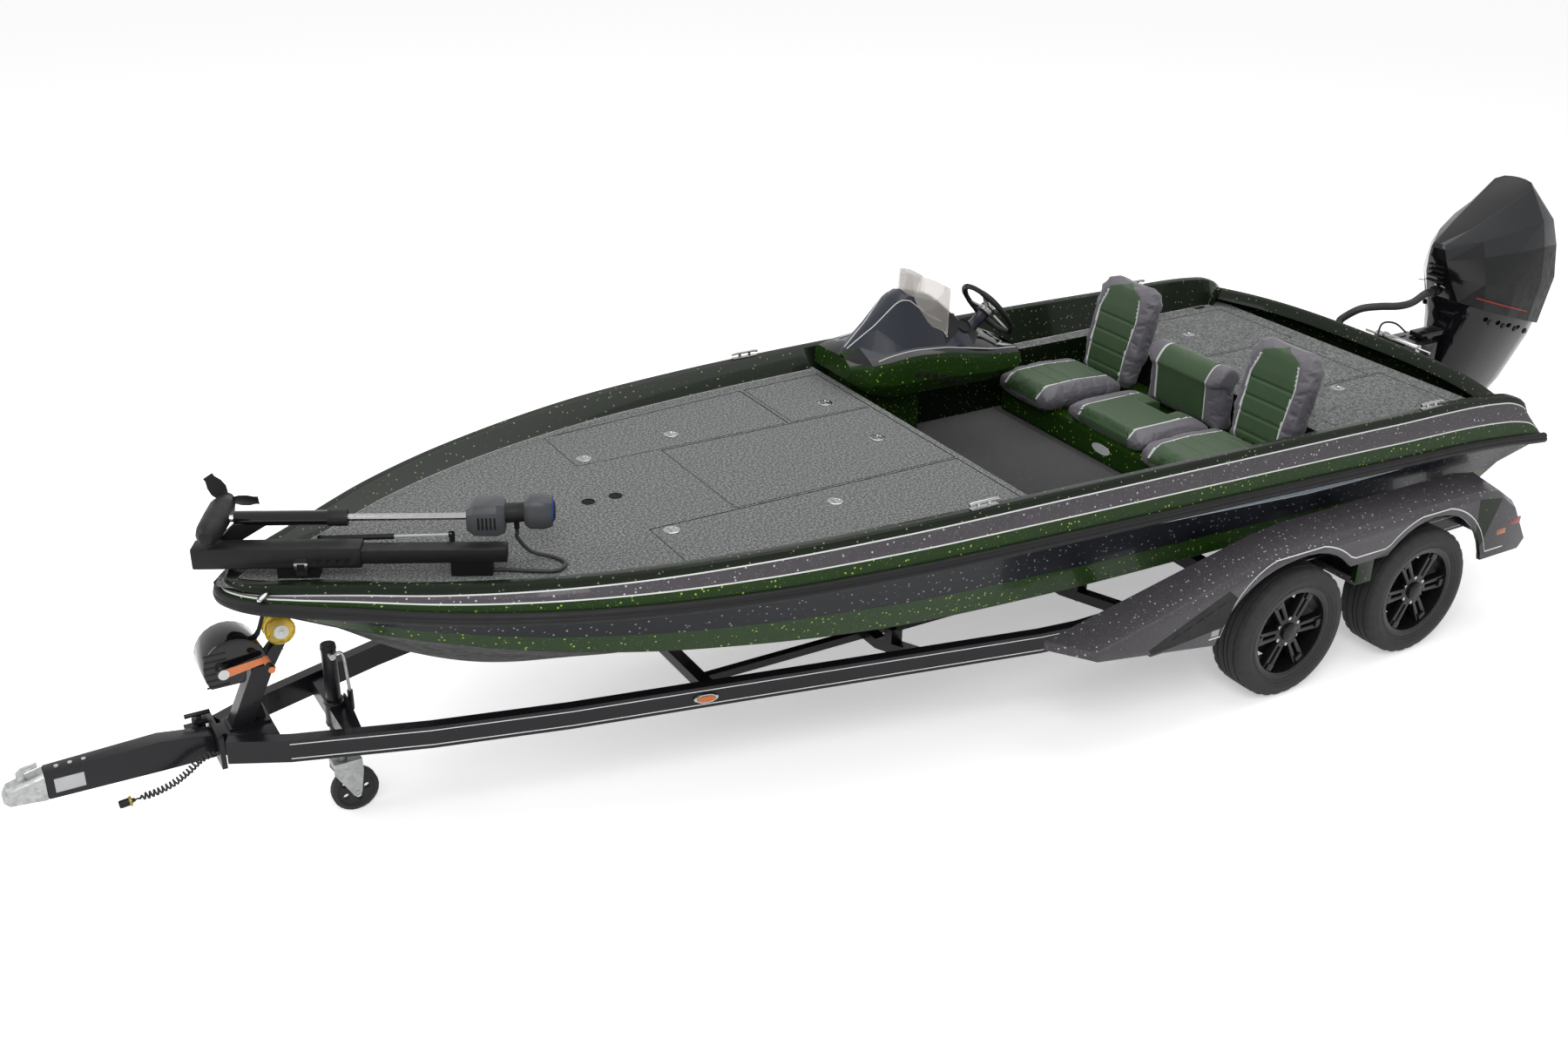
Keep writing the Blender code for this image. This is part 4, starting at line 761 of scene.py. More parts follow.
def mirrored(mesh):
    """A copy of a mesh on the boat's other side."""
    return moved(mesh, Matrix.Scale(-1, 4, (0, 1, 0)))


FORMS = {}


def part(name, mesh):
    """Keep a modelled form for its finish."""
    FORMS[name] = mesh


def side_rail_path(side):
    """Underside middle of one side rail, from the tongue to the stern."""
    points = [(-5.160, 0.090), (-4.938, 0.198), (-4.412, 0.372), (-3.858, 0.515), (-1.750, 0.960),
              (-1.550, 0.985), (1.230, 0.985)]
    return [(x, side * y, FRAME_Z) for x, y in points]


def frame_half_width(x):
    """Inner half width between the side rails."""
    points = side_rail_path(1)
    for a, b in zip(points, points[1:]):
        if a[0] <= x <= b[0]:
            t = (x - a[0]) / (b[0] - a[0])
            half = RAIL_WIDTH / 2 * math.hypot(b[1] - a[1], b[0] - a[0]) / (b[0] - a[0])
            return a[1] + (b[1] - a[1]) * t - half
    return points[-1][1] - RAIL_WIDTH / 2


def between_rails(name, x0, x1, low, high):
    """A plate that fits between the two side rails."""
    near, far = frame_half_width(x0) - 2 * GAP, frame_half_width(x1) - 2 * GAP
    return prism_mesh(name, [(x0, -near), (x1, -far), (x1, far), (x0, near)], low, high, "Z")


def console_mesh():
    """The moulded helm console, lofted through its ribs from nose to dash, with its pedestal."""
    inner = COCKPIT_HALF_WIDTH - CONSOLE_WIDTH
    outer = COCKPIT_HALF_WIDTH - GAP
    rings = []
    for rib in CONSOLE_RIBS:
        near = inner + rib.inset
        hump = min(HUMP_HALF_WIDTH, HELM_Y - near - 0.06)
        ring = [(near + 0.05, rib.low), (near, rib.low + 0.35 * (rib.shoulder - rib.low)),
                (near + 0.015, rib.shoulder - 0.02), (near + 0.05, rib.shoulder),
                (HELM_Y - hump, rib.shoulder + 0.005), (HELM_Y - 0.42 * hump, rib.ridge - 0.02),
                (HELM_Y, rib.ridge), (HELM_Y + 0.42 * hump, rib.ridge - 0.02),
                (HELM_Y + hump, rib.shoulder + 0.005), (outer - 0.03, rib.shoulder),
                (outer, rib.shoulder - 0.03), (outer, rib.low)]
        rings.append([(rib.x, y, z) for y, z in ring])
    body = loft_mesh("console", rings)
    pedestal = span_box("pedestal", (-1.740, HELM_Y + 0.040, SOLE_Z), (-1.300, outer - 0.001, 1.190))
    return union(body, pedestal)


def console():
    column = rod_mesh("column", (0, 0, -0.260), (0, 0, -0.030 - GAP), 0.030, 16)
    part("console", union(console_mesh(), moved(column, helm_frame())))


def windshield():
    """A curved smoked screen that wraps round the console's hump."""
    rings = []
    for k in range(9):
        angle = math.radians(-78 + 19.5 * k)
        across, ahead = math.sin(angle), math.cos(angle)
        ring = []
        for inset in (0.0, SCREEN_THICKNESS):
            foot = (-1.220 - (0.270 - inset) * ahead, HELM_Y + (0.150 - inset) * across,
                    1.360 + 0.220 * ahead)
            head = (-1.200 - (0.280 - inset) * ahead, HELM_Y + (0.130 - inset) * across,
                    1.540 + 0.225 * ahead ** 0.35)
            ring += [foot, head] if inset == 0.0 else [head, foot]
        rings.append(ring)
    form = moved(console_mesh(), Matrix.Translation((0, 0, GAP)))
    part("windshield", cut(loft_mesh("windshield", rings, smooth=60), form))


def helm_frame():
    """Placement of the steering wheel: its axis leans back towards the driver."""
    place = Matrix.Translation((HELM_X, HELM_Y, HELM_Z))
    return place @ Matrix.Rotation(math.pi / 2 - HELM_RAKE, 4, "Y")


def steering_wheel():
    steps, sides, thick = 28, 8, 0.014
    rim = tube_ring("steering_wheel", HELM_WHEEL_RADIUS, thick, steps, sides)
    hub = rod_mesh("hub", (0, 0, -0.030), (0, 0, 0.012), 0.045, 20)
    spokes = []
    for k in range(3):
        turn = Matrix.Rotation(math.radians(90 + 120 * k), 4, "Z")
        spokes.append(moved(box_mesh("spoke", (0.14, 0.026, 0.010), (0.100, 0, -0.004)), turn))
    place = helm_frame()
    part("steering_wheel", moved(union(rim, hub, *spokes), place))


def tube_ring(name, radius, thick, steps, sides):
    """A round ring about Z, turned from a circle."""
    profile = [(radius + x, z) for x, z in reversed(oval(thick, thick, sides))]
    return turned_mesh(name, profile, steps)


def cushion_mesh(name, ribs, width, bolster):
    """A soft form lofted along X through ribs of (x, share of width, underside, top)."""
    rings = []
    for x, share, low, top in ribs:
        ring = []
        for y, z in oval(width / 2 * share, (top - low) / 2, 16, 0.55):
            rise = bolster * (abs(y) / (width / 2)) ** 4 if z > 0 else 0.0
            ring.append((x, y, (low + top) / 2 + z + rise))
        rings.append(ring)
    return loft_mesh(name, rings, smooth=50)


def bucket_back():
    """A seat back with side bolsters, upright, facing the bow, with its foot at the origin."""
    rings = []
    for height, share, thick in BACK_RIBS:
        ring = []
        for x, y in oval(thick, SEAT_WIDTH / 2 * share, 16, 0.6):
            reach = BACK_BOLSTER * (abs(y) / (SEAT_WIDTH / 2)) ** 3 if x < 0 else 0.0
            ring.append((x - reach, y, height))
        rings.append(ring)
    return loft_mesh("seat_back", rings, smooth=50)


def seats():
    """Two bucket seats and a centre seat on one moulded box."""
    half = COCKPIT_HALF_WIDTH - SEAT_BOX_MARGIN
    box = span_box("seat_box", (SEAT_BOX_X, -half, SOLE_Z), (AFT_DECK_X - 0.004, half, SEAT_BOX_TOP))
    part("seat_box", rounded(box, 0.02))
    base = SEAT_BOX_TOP + GAP
    centre_y = half - SEAT_WIDTH / 2 - SEAT_BOX_MARGIN
    lift = BACK_RIBS[0][2] * math.sin(SEAT_RAKE) + GAP
    for side, name in ((-1, "port"), (1, "starboard")):
        pad = cushion_mesh("cushion", CUSHION_RIBS, SEAT_WIDTH, CUSHION_BOLSTER)
        place = Matrix.Translation((SEAT_BOX_X, side * centre_y, base))
        part("seat_cushion_" + name, moved(pad, place))
        lean = Matrix.Translation((SEAT_BACK_X, side * centre_y, base + lift))
        lean = lean @ Matrix.Rotation(SEAT_RAKE, 4, "Y")
        part("seat_back_" + name, moved(bucket_back(), lean))
    width = 2 * centre_y - SEAT_WIDTH - 0.030
    pad = cushion_mesh("cushion", CENTRE_RIBS, width, 0.0)
    notch = span_box("notch", (SEAT_BOX_X + 0.360, -0.09, -0.1), (SEAT_BOX_X + 0.60, 0.09, 0.3))
    pad = cut(moved(pad, Matrix.Translation((SEAT_BOX_X, 0, 0))), notch)
    part("seat_cushion_centre", moved(pad, Matrix.Translation((0, 0, base))))
    roll = prism_mesh("roll", arc((-0.035, 0.290), 0.085, -30, 210, 12) + [(-0.095, 0.0), (0.035, 0.0)],
                      0.040 - width / 2, width / 2 - 0.040)
    part("seat_back_centre", moved(rounded(roll, 0.025, 3), Matrix.Translation((0, 0, base))))


def tyre_mesh():
    w, r, inner = TYRE_WIDTH / 2, TYRE_RADIUS, RIM_RADIUS
    profile = [(inner, -w * 0.80), (r - 0.035, -w), (r, -w * 0.75),
               (r, w * 0.75), (r - 0.035, w), (inner, w * 0.80)]
    return turned_mesh("tyre", list(reversed(profile)), WHEEL_STEPS)


def rim_mesh():
    """Six split spokes in a barrel, hub to the outside at +Z."""
    w, r = TYRE_WIDTH / 2 * 0.80, RIM_RADIUS - GAP
    barrel = turned_mesh("barrel", list(reversed([
        (r, -w), (r, w), (r - 0.030, w), (r - 0.030, -w)])), WHEEL_STEPS)
    star = []
    spokes, hub, tip = 6, 0.062, r - 0.026
    for k in range(spokes):
        mid = 2 * math.pi * k / spokes
        for radius, offset in ((hub, -0.42), (tip, -0.165), (tip, 0.165), (hub, 0.42)):
            star.append((radius * math.cos(mid + offset), radius * math.sin(mid + offset)))
    disc = prism_mesh("star", star, w * 0.30, w * 0.78, "Z")
    slots = bmesh.new()
    for k in range(spokes):
        made = bmesh.ops.create_cube(slots, size=1.0)["verts"]
        bmesh.ops.scale(slots, vec=(0.115, 0.018, 0.2), verts=made)
        bmesh.ops.translate(slots, vec=(0.142, 0, 0.05), verts=made)
        bmesh.ops.rotate(slots, matrix=Matrix.Rotation(2 * math.pi * k / spokes, 3, "Z"), verts=made)
    disc = cut(disc, mesh_from(slots, "slots"))
    cap = rod_mesh("cap", (0, 0, -0.005), (0, 0, w * 0.92), 0.052, 16, end_radius=0.040)
    return union(barrel, disc, cap)


def wheels():
    tyre, rim = tyre_mesh(), rim_mesh()
    centre_y = TYRE_OUTER_Y - TYRE_WIDTH / 2
    for x, end in ((-WHEEL_X, "front"), (WHEEL_X, "rear")):
        for side, name in ((-1, "port"), (1, "starboard")):
            face = Matrix.Rotation(-side * math.pi / 2, 4, "X")
            place = Matrix.Translation((x, side * centre_y, TYRE_RADIUS)) @ face
            part("tyre_%s_%s" % (end, name), moved(tyre, place))
            part("rim_%s_%s" % (end, name), moved(rim, place))


def fender_outline(inset, rise, nose, chamfer):
    """Side view of the fender's skin; inset gives the hollow inside it, open below."""
    top = FENDER_TOP_Z + rise - inset - chamfer
    low = FENDER_LOW_Z - (0.3 if inset else 0.0)
    front, rear = -WHEEL_X - ARCH_RADIUS, WHEEL_X + ARCH_RADIUS
    return [(nose + 5 * inset, low + (0.0 if inset else 0.115)), (nose + 5 * inset, 0.590 - inset),
            (front + 0.230, top - 0.022), (front + 0.450, top), (rear - 0.110, top),
            (rear + 0.070, top - 0.030), (rear + 0.190 - inset, top - 0.110), (rear + 0.320 - inset, 0.480),
            (rear + 0.280 - inset, low), (rear - 0.070, low), (front - 0.090, low)]


def arch_mesh(x, flare):
    """Cutter for one wheel arch, which may open forward at its foot."""
    outline = []
    for k in range(40):
        angle = 2 * math.pi * k / 40
        radius = ARCH_RADIUS + flare * max(0.0, -math.cos(angle)) ** 2
        outline.append((x + radius * math.cos(angle), TYRE_RADIUS + radius * math.sin(angle)))
    return prism_mesh("arch", outline, 0.9, 1.5)


def fenders():
    """Moulded shells over the wheels, open towards the boat, with their brackets."""
    rail_face = side_rail_path(1)[-1][1] + RAIL_WIDTH / 2 + GAP
    skins = []
    for inset, inner, outer in ((0.0, FENDER_INNER_Y, FENDER_OUTER_Y),
                                (FENDER_WALL, FENDER_INNER_Y - 0.1, FENDER_OUTER_Y - FENDER_WALL)):
        rings = []
        shoulder = outer - FENDER_CHAMFER
        for y, nose, chamfer in ((inner, -1.830, 0.0), (shoulder, -1.710, 0.0),
                                 (outer, -1.690, FENDER_CHAMFER * 0.8)):
            rise = FENDER_CROWN * (FENDER_OUTER_Y - y) / (FENDER_OUTER_Y - FENDER_INNER_Y)
            rings.append([(x, y, z) for x, z in fender_outline(inset, rise, nose, chamfer)])
        skins.append(loft_mesh("fender", rings))
    shell, hollow = skins
    skirt_gap = span_box("skirt_gap", (-WHEEL_X, 0.9, 0.2), (WHEEL_X, 1.5, SKIRT_Z))
    shell = cut(shell, hollow, arch_mesh(-WHEEL_X, ARCH_FLARE), arch_mesh(WHEEL_X, 0.0), skirt_gap)
    deep = FENDER_OUTER_Y - FENDER_WALL + 0.005
    half = STEP_WIDTH / 2
    brackets = [span_box("bracket", (x - 0.04, rail_face, 0.470), (x + 0.04, deep, 0.510))
                for x in (-1.32, 1.08)]
    brackets.append(span_box("step", (-half, rail_face, 0.505), (half, deep, 0.540)))
    brackets.append(span_box("hanger", (-half, deep - 0.030, 0.520), (half, deep, SKIRT_Z + 0.025)))
    shell = union(shell, *brackets)
    part("fender_starboard", shell)
    part("fender_port", mirrored(shell))


def swing_tongue():
    """The part of the tongue that swings aside, with the coupler on its end."""
    x = TONGUE_HINGE_X
    beam = [(-5.830, 0.462, 0.575), (-5.400, 0.455, 0.590), (x + 0.030, FRAME_Z, FRAME_Z + RAIL_HEIGHT)]
    rings = [[(bx, -0.040, low), (bx, 0.040, low), (bx, 0.040, high), (bx, -0.040, high)]
             for bx, low, high in beam]
    body = rounded(loft_mesh("swing_tongue", rings), 0.006)
    low, high = FRAME_Z + 0.006, FRAME_Z + RAIL_HEIGHT - 0.006
    lug = span_box("lug", (x - 0.060, 0.030, low), (x, TONGUE_HINGE_Y + LUG_RADIUS - 0.001, high))
    eye = rod_mesh("eye", (x, TONGUE_HINGE_Y, low + 0.001), (x, TONGUE_HINGE_Y, high - 0.001), LUG_RADIUS, 24)
    hole = rod_mesh("pin_hole", (x, TONGUE_HINGE_Y, 0.3), (x, TONGUE_HINGE_Y, 0.8), 0.0105, 16)
    part("swing_tongue", cut(union(body, lug, eye), hole))
    coupler = loft_mesh("coupler", [
        [(cx, y, z) for y, z in ((-w, low), (w, low), (w, high - 0.012), (w - 0.016, high),
                                 (0.016 - w, high), (-w, high - 0.012))]
        for cx, w, low, high in ((COUPLER_TIP_X, 0.026, 0.488, 0.518),
                                 (COUPLER_TIP_X + 0.020, 0.040, 0.474, 0.545),
                                 (COUPLER_TIP_X + 0.085, 0.043, 0.470, 0.560),
                                 (-5.830 - GAP, 0.043, 0.462, 0.578))])
    latch = prism_mesh("latch", [(-5.925, 0.540), (-5.925, 0.585), (-5.905, 0.602), (-5.845, 0.612),
                                 (-5.845, 0.600), (-5.895, 0.588), (-5.900, 0.540)], -0.012, 0.012)
    socket = rod_mesh("socket", (-5.930, 0, 0.40), (-5.930, 0, 0.505), 0.027, 24)
    part("coupler", cut(union(coupler, latch), socket))


def tongue():
    """The hinge plates, pin and nose block that carry the swing-away tongue."""
    swing_tongue()
    x = TONGUE_HINGE_X
    upper = FRAME_Z + RAIL_HEIGHT + HINGE_CLEARANCE
    lower = FRAME_Z - HINGE_CLEARANCE
    hinge_z0, hinge_z1 = lower - HINGE_PLATE, upper + HINGE_PLATE
    front, back = x + 0.030 + GAP, -5.1735
    neck = span_box("neck", (back - 0.01, -0.045, FRAME_Z), (-5.100, 0.045, FRAME_Z + RAIL_HEIGHT))
    block = between_rails("tongue_block", -5.150, -4.965, FRAME_Z + 0.004, FRAME_Z + RAIL_HEIGHT)
    reach_y = TONGUE_HINGE_Y + 0.030
    plates = []
    for name, low, high in (("upper", upper, hinge_z1), ("lower", hinge_z0, lower)):
        edge = back - 0.001
        outline = [(x, TONGUE_HINGE_Y - 0.030), (edge, TONGUE_HINGE_Y - 0.030), (edge, reach_y)]
        outline += arc((x, TONGUE_HINGE_Y), 0.030, 90, 270, 8)[:-1]
        plates.append(prism_mesh(name, outline, low, high, "Z"))
    web = span_box("web", (front, -0.110, hinge_z0 - 0.001), (back, reach_y + 0.001, hinge_z1 + 0.001))
    pin = rod_mesh("pin", (x, TONGUE_HINGE_Y, hinge_z0 - 0.015), (x, TONGUE_HINGE_Y, hinge_z1 + 0.015),
                   0.0100, 16)
    grip = rod_mesh("grip", (x - 0.055, TONGUE_HINGE_Y, hinge_z1 + 0.022),
                    (x + 0.045, TONGUE_HINGE_Y, hinge_z1 + 0.022), 0.0095, 16)
    part("tongue_hinge", union(web, *plates, pin, grip, neck, block))


def winch_stand():
    """Inclined post with the winch, its cover and crank, and the pair of bow rollers."""
    base_z = FRAME_Z + RAIL_HEIGHT + GAP
    post = loft_mesh("winch_post", [
        [(x - 0.045, -0.035, z), (x + 0.045, -0.035, z), (x + 0.045, 0.035, z), (x - 0.045, 0.035, z)]
        for x, z in ((-5.085, base_z), (-4.968, 0.812))])
    gusset = prism_mesh("gusset", [(-5.060, 0.562), (-4.980, 0.562), (-5.005, 0.700)], -0.006, 0.006)
    foot = span_box("foot", (-5.135, -0.045, base_z), (-4.968, 0.045, base_z + 0.010))
    head = prism_mesh("roller_arm", [(-5.020, 0.798), (-4.930, 0.790), (-4.868, 0.895), (-4.905, 0.905),
                                     (-4.960, 0.845), (-5.020, 0.845)], -0.030, 0.030)
    ear = prism_mesh("ear", [(-4.960, 0.830), (-4.880, 0.850)]
                     + arc((ROLLER_X, ROLLER_Z), 0.022, -30, 210, 10), -0.009, 0.009)
    relief = rod_mesh("roller_space", (ROLLER_X, -0.1, ROLLER_Z), (ROLLER_X, 0.1, ROLLER_Z),
                      ROLLER_RADIUS + 0.004, 32)
    bore = rod_mesh("roller_bore", (ROLLER_X, -0.1, ROLLER_Z), (ROLLER_X, 0.1, ROLLER_Z), 0.0098, 16)
    body = cut(union(post, foot, gusset, head), relief)
    part("winch_post", cut(union(body, ear), bore))
    seat_z = 0.845 + GAP
    low = math.degrees(math.asin((seat_z - WINCH_Z) / WINCH_RADIUS))
    outline = arc((WINCH_X, WINCH_Z), WINCH_RADIUS, low, 200, 14)
    outline += [(WINCH_X - 0.105, 0.785), (-5.052, 0.785), (-5.040, seat_z)]
    cover = rounded(prism_mesh("winch", outline, -0.085, 0.085), 0.010, 2, 35)
    hub_x = WINCH_X - 0.055
    hub = rod_mesh("hub", (hub_x, -0.125, WINCH_Z), (hub_x, -0.080, WINCH_Z), 0.022, 20)
    arm = prism_mesh("crank", arc((hub_x, WINCH_Z), 0.020, 80, 280, 6)
                     + arc((hub_x + 0.165, WINCH_Z + 0.022), 0.014, -90, 90, 6), -0.121, -0.114)
    grip = rod_mesh("grip", (hub_x + 0.165, -0.215, WINCH_Z + 0.022),
                    (hub_x + 0.165, -0.115, WINCH_Z + 0.022), 0.0135, 16)
    part("winch_cover", union(cover, hub, arm, grip))
    r = ROLLER_RADIUS
    half = [(0.0095, 0.056), (0.0095, 0.050), (0.030, 0.050), (r - 0.008, 0.046), (r, 0.040), (r, 0.016),
            (r - 0.006, 0.0095), (0.0095, 0.0095)]
    profile = [(0.0, 0.056)] + half + [(y, -z) for y, z in reversed(half)] + [(0.0, -0.056)]
    place = Matrix.Translation((ROLLER_X, 0, ROLLER_Z)) @ Matrix.Rotation(math.pi / 2, 4, "X")
    rollers = moved(turned_mesh("rollers", profile, 18), place)
    part("bow_rollers", rollers)


def jack():
    """Swing-up caster jack on its cross plate, standing on its wheel."""
    wheel_z = CASTER_RADIUS
    fork_top = 0.262
    tube = rod_mesh("jack_tube", (JACK_X, 0, 0.360), (JACK_X, 0, 0.820), JACK_TUBE_RADIUS, 20)
    plate = between_rails("plate", JACK_X - 0.030, JACK_X + 0.030, FRAME_Z + 0.010, FRAME_Z + 0.080)
    gusset_x = JACK_X + 0.029
    near = frame_half_width(gusset_x) - 0.002
    gusset = prism_mesh("gusset", [(-near, FRAME_Z + 0.020), (near, FRAME_Z + 0.020), (near, 0.545),
                                   (0.10, 0.600), (0.045, 0.600), (0.045, 0.545), (-0.045, 0.545),
                                   (-0.045, 0.600), (-0.10, 0.600), (-near, 0.545)],
                        gusset_x, gusset_x + 0.008, "X")
    collar = rod_mesh("collar", (JACK_X, 0, 0.440), (JACK_X, 0, 0.560), JACK_TUBE_RADIUS + 0.010, 20)
    pin = rod_mesh("swing_pin", (JACK_X, -0.085, 0.500), (JACK_X, -0.030, 0.500), 0.009, 12)
    bore = rod_mesh("bore", (JACK_X, 0, 0.30), (JACK_X, 0, 0.780), JACK_LEG_RADIUS + JACK_FIT, 20)
    route = [(0.0, -0.047, 0.786), (0.030, -0.050, 0.798), (0.044, -0.056, 0.780), (0.048, -0.064, 0.700),
             (0.051, -0.074, 0.620), (0.052, -0.072, 0.560)]
    crank = tube_mesh("jack_crank", smooth_route([(JACK_X + x, y, z) for x, y, z in route], 3), 0.0065, 2)
    boss = rod_mesh("boss", (JACK_X, -JACK_LEG_RADIUS - 0.002, 0.786), (JACK_X, -0.060, 0.786), 0.013, 16)
    grip = rod_mesh("grip", (JACK_X + 0.052, -0.071, 0.535), (JACK_X + 0.051, -0.074, 0.625), 0.012, 16)
    body = cut(union(tube, plate, gusset, collar, pin), bore)
    part("jack_tube", union(body, boss, crank, grip))
    leg = rod_mesh("jack_leg", (JACK_X, 0, fork_top + GAP), (JACK_X, 0, 0.560), JACK_LEG_RADIUS, 20)
    part("jack_leg", leg)
    wheel_x = JACK_X + CASTER_TRAIL
    crown = span_box("crown", (JACK_X - 0.040, -0.042, fork_top - 0.030), (JACK_X + 0.080, 0.042, fork_top))
    outline = [(JACK_X - 0.038, fork_top - 0.010), (JACK_X - 0.042, fork_top - 0.050)]
    outline += arc((wheel_x, wheel_z), 0.021, 190, 350, 8)
    outline += [(JACK_X + 0.082, fork_top - 0.055), (JACK_X + 0.078, fork_top - 0.010)]
    legs = [prism_mesh("fork_leg", outline, side * 0.036 - 0.004, side * 0.036 + 0.004) for side in (-1, 1)]
    axle = rod_mesh("axle", (wheel_x, -0.045, wheel_z), (wheel_x, 0.045, wheel_z), 0.008, 16)
    part("caster_fork", union(crown, *legs, axle))
    caster_wheel(wheel_x, wheel_z)


def caster_wheel(wheel_x, wheel_z):
    """The jack's wheel, with round lightening holes in its web."""
    r = CASTER_RADIUS
    wheel = turned_mesh("caster_wheel", list(reversed([
        (0.0082, -0.028), (0.023, -0.028), (0.027, -0.012), (r - 0.026, -0.012), (r - 0.020, -0.024),
        (r, -0.016), (r, 0.016), (r - 0.020, 0.024), (r - 0.026, 0.012), (0.027, 0.012), (0.023, 0.028),
        (0.0082, 0.028)])), 24)
    holes = []
    for k in range(CASTER_HOLES):
        turn = Matrix.Rotation(2 * math.pi * k / CASTER_HOLES, 4, "Z")
        holes.append(moved(rod_mesh("hole", (0.050, 0, -0.1), (0.050, 0, 0.1), 0.0145, 10), turn))
    place = Matrix.Translation((wheel_x, 0, wheel_z)) @ Matrix.Rotation(math.pi / 2, 4, "X")
    part("caster_wheel", moved(cut(wheel, *holes), place))


def transom_bracket():
    """Jack plate on the transom pad, with the clamp brackets, tilt tube and steering cylinder."""
    plate_x = TRANSOM_X + GAP
    back = STERN_TAIL_X + 0.060
    side = [(plate_x, 0.640), (plate_x, PAD_TOP_Z - 0.010), (back - 0.030, PAD_TOP_Z - 0.010),
            (back, 1.060), (back + 0.110, 1.060), (back + 0.110, 0.640)]
    jack_plate = prism_mesh("jack_plate", side, -0.165, 0.165)
    pocket = span_box("pocket", (plate_x + 0.03, -0.120, 0.60), (back + 0.080, 0.120, 1.10))
    jack_plate = cut(jack_plate, pocket)
    face = back + 0.105
    clamp = span_box("clamp", (face, -0.150, 0.660), (face + 0.030, 0.150, 1.070))
    ears = [prism_mesh("ear", [(face + 0.02, 0.70), (face + 0.02, 1.08), (MOTOR_X - 0.02, 1.100)]
                       + arc((MOTOR_X, MOTOR_TILT_Z), 0.036, 60, -60, 6) + [(MOTOR_X, 0.94)],
                       s * 0.135 - 0.014, s * 0.135 + 0.014) for s in (-1, 1)]
    tilt_tube = rod_mesh("tilt_tube", (MOTOR_X, -0.165, MOTOR_TILT_Z), (MOTOR_X, 0.165, MOTOR_TILT_Z),
                         0.016, 16)
    ram_x, ram_z = face + 0.055, MOTOR_TILT_Z + 0.050
    ram = rod_mesh("steer_cylinder", (ram_x, -0.150, ram_z), (ram_x, 0.150, ram_z), 0.024, 20)
    rod = rod_mesh("steer_rod", (ram_x, -0.230, ram_z), (ram_x, 0.230, ram_z), 0.008, 14)
    part("transom_bracket", union(jack_plate, clamp, *ears, tilt_tube, ram, rod))


def seam_z(x):
    """Height of the seam between the outboard's cowl and the casing below it."""
    return COWL_SEAM_Z - COWL_SEAM_SLOPE * (x - COWL_SEAM_X)


def mirrored_ring(half):
    """A ring from the port-to-starboard symmetric half (x, y, z), given from front to back."""
    return half + [(x, -y, z) for x, y, z in reversed(half[1:-1])]


def cowl_mesh():
    """The faceted cowl: a sloping crown panel, shoulders, wide sides and a slanted seam below."""
    crown = [(1.757, 0, 1.648), (1.760, 0.037, 1.645), (1.950, 0.075, 1.740), (2.140, 0.105, 1.835),
             (2.320, 0.130, 1.930), (2.350, 0.090, 1.952), (2.360, 0.045, 1.958), (2.362, 0, 1.960)]
    shoulder = [(1.750, 0, 1.620), (1.757, 0.048, 1.618), (1.940, 0.152, 1.672), (2.130, 0.216, 1.722),
                (2.310, 0.250, 1.768), (2.450, 0.215, 1.755), (2.510, 0.120, 1.748), (2.525, 0, 1.746)]
    flank = [(1.758, 0, 1.560), (1.768, 0.062, 1.558), (1.935, 0.190, 1.590), (2.140, 0.252, 1.610),
             (2.345, 0.268, 1.620), (2.520, 0.222, 1.600), (2.592, 0.120, 1.590), (2.610, 0, 1.585)]
    belly = [(1.785, 0, 1.460), (1.797, 0.082, 1.458), (1.945, 0.220, 1.440), (2.155, 0.272, 1.425),
             (2.375, 0.272, 1.410), (2.565, 0.225, 1.400), (2.640, 0.120, 1.390), (2.656, 0, 1.385)]
    seam = [(1.865, 0), (1.875, 0.110), (1.985, 0.208), (2.170, 0.246), (2.365, 0.246), (2.530, 0.202),
            (2.598, 0.112), (2.613, 0)]
    base = [(x, y, seam_z(x) + GAP) for x, y in seam]
    rings = [mirrored_ring(half) for half in (base, belly, flank, shoulder, crown)]
    point, direction = HOSE_END
    boss = rod_mesh("hose_boss", point + direction * GAP, point + direction * 0.090, HOSE_RADIUS + 0.006, 20)
    return union(loft_mesh("motor_cowl", rings, smooth=24), boss)


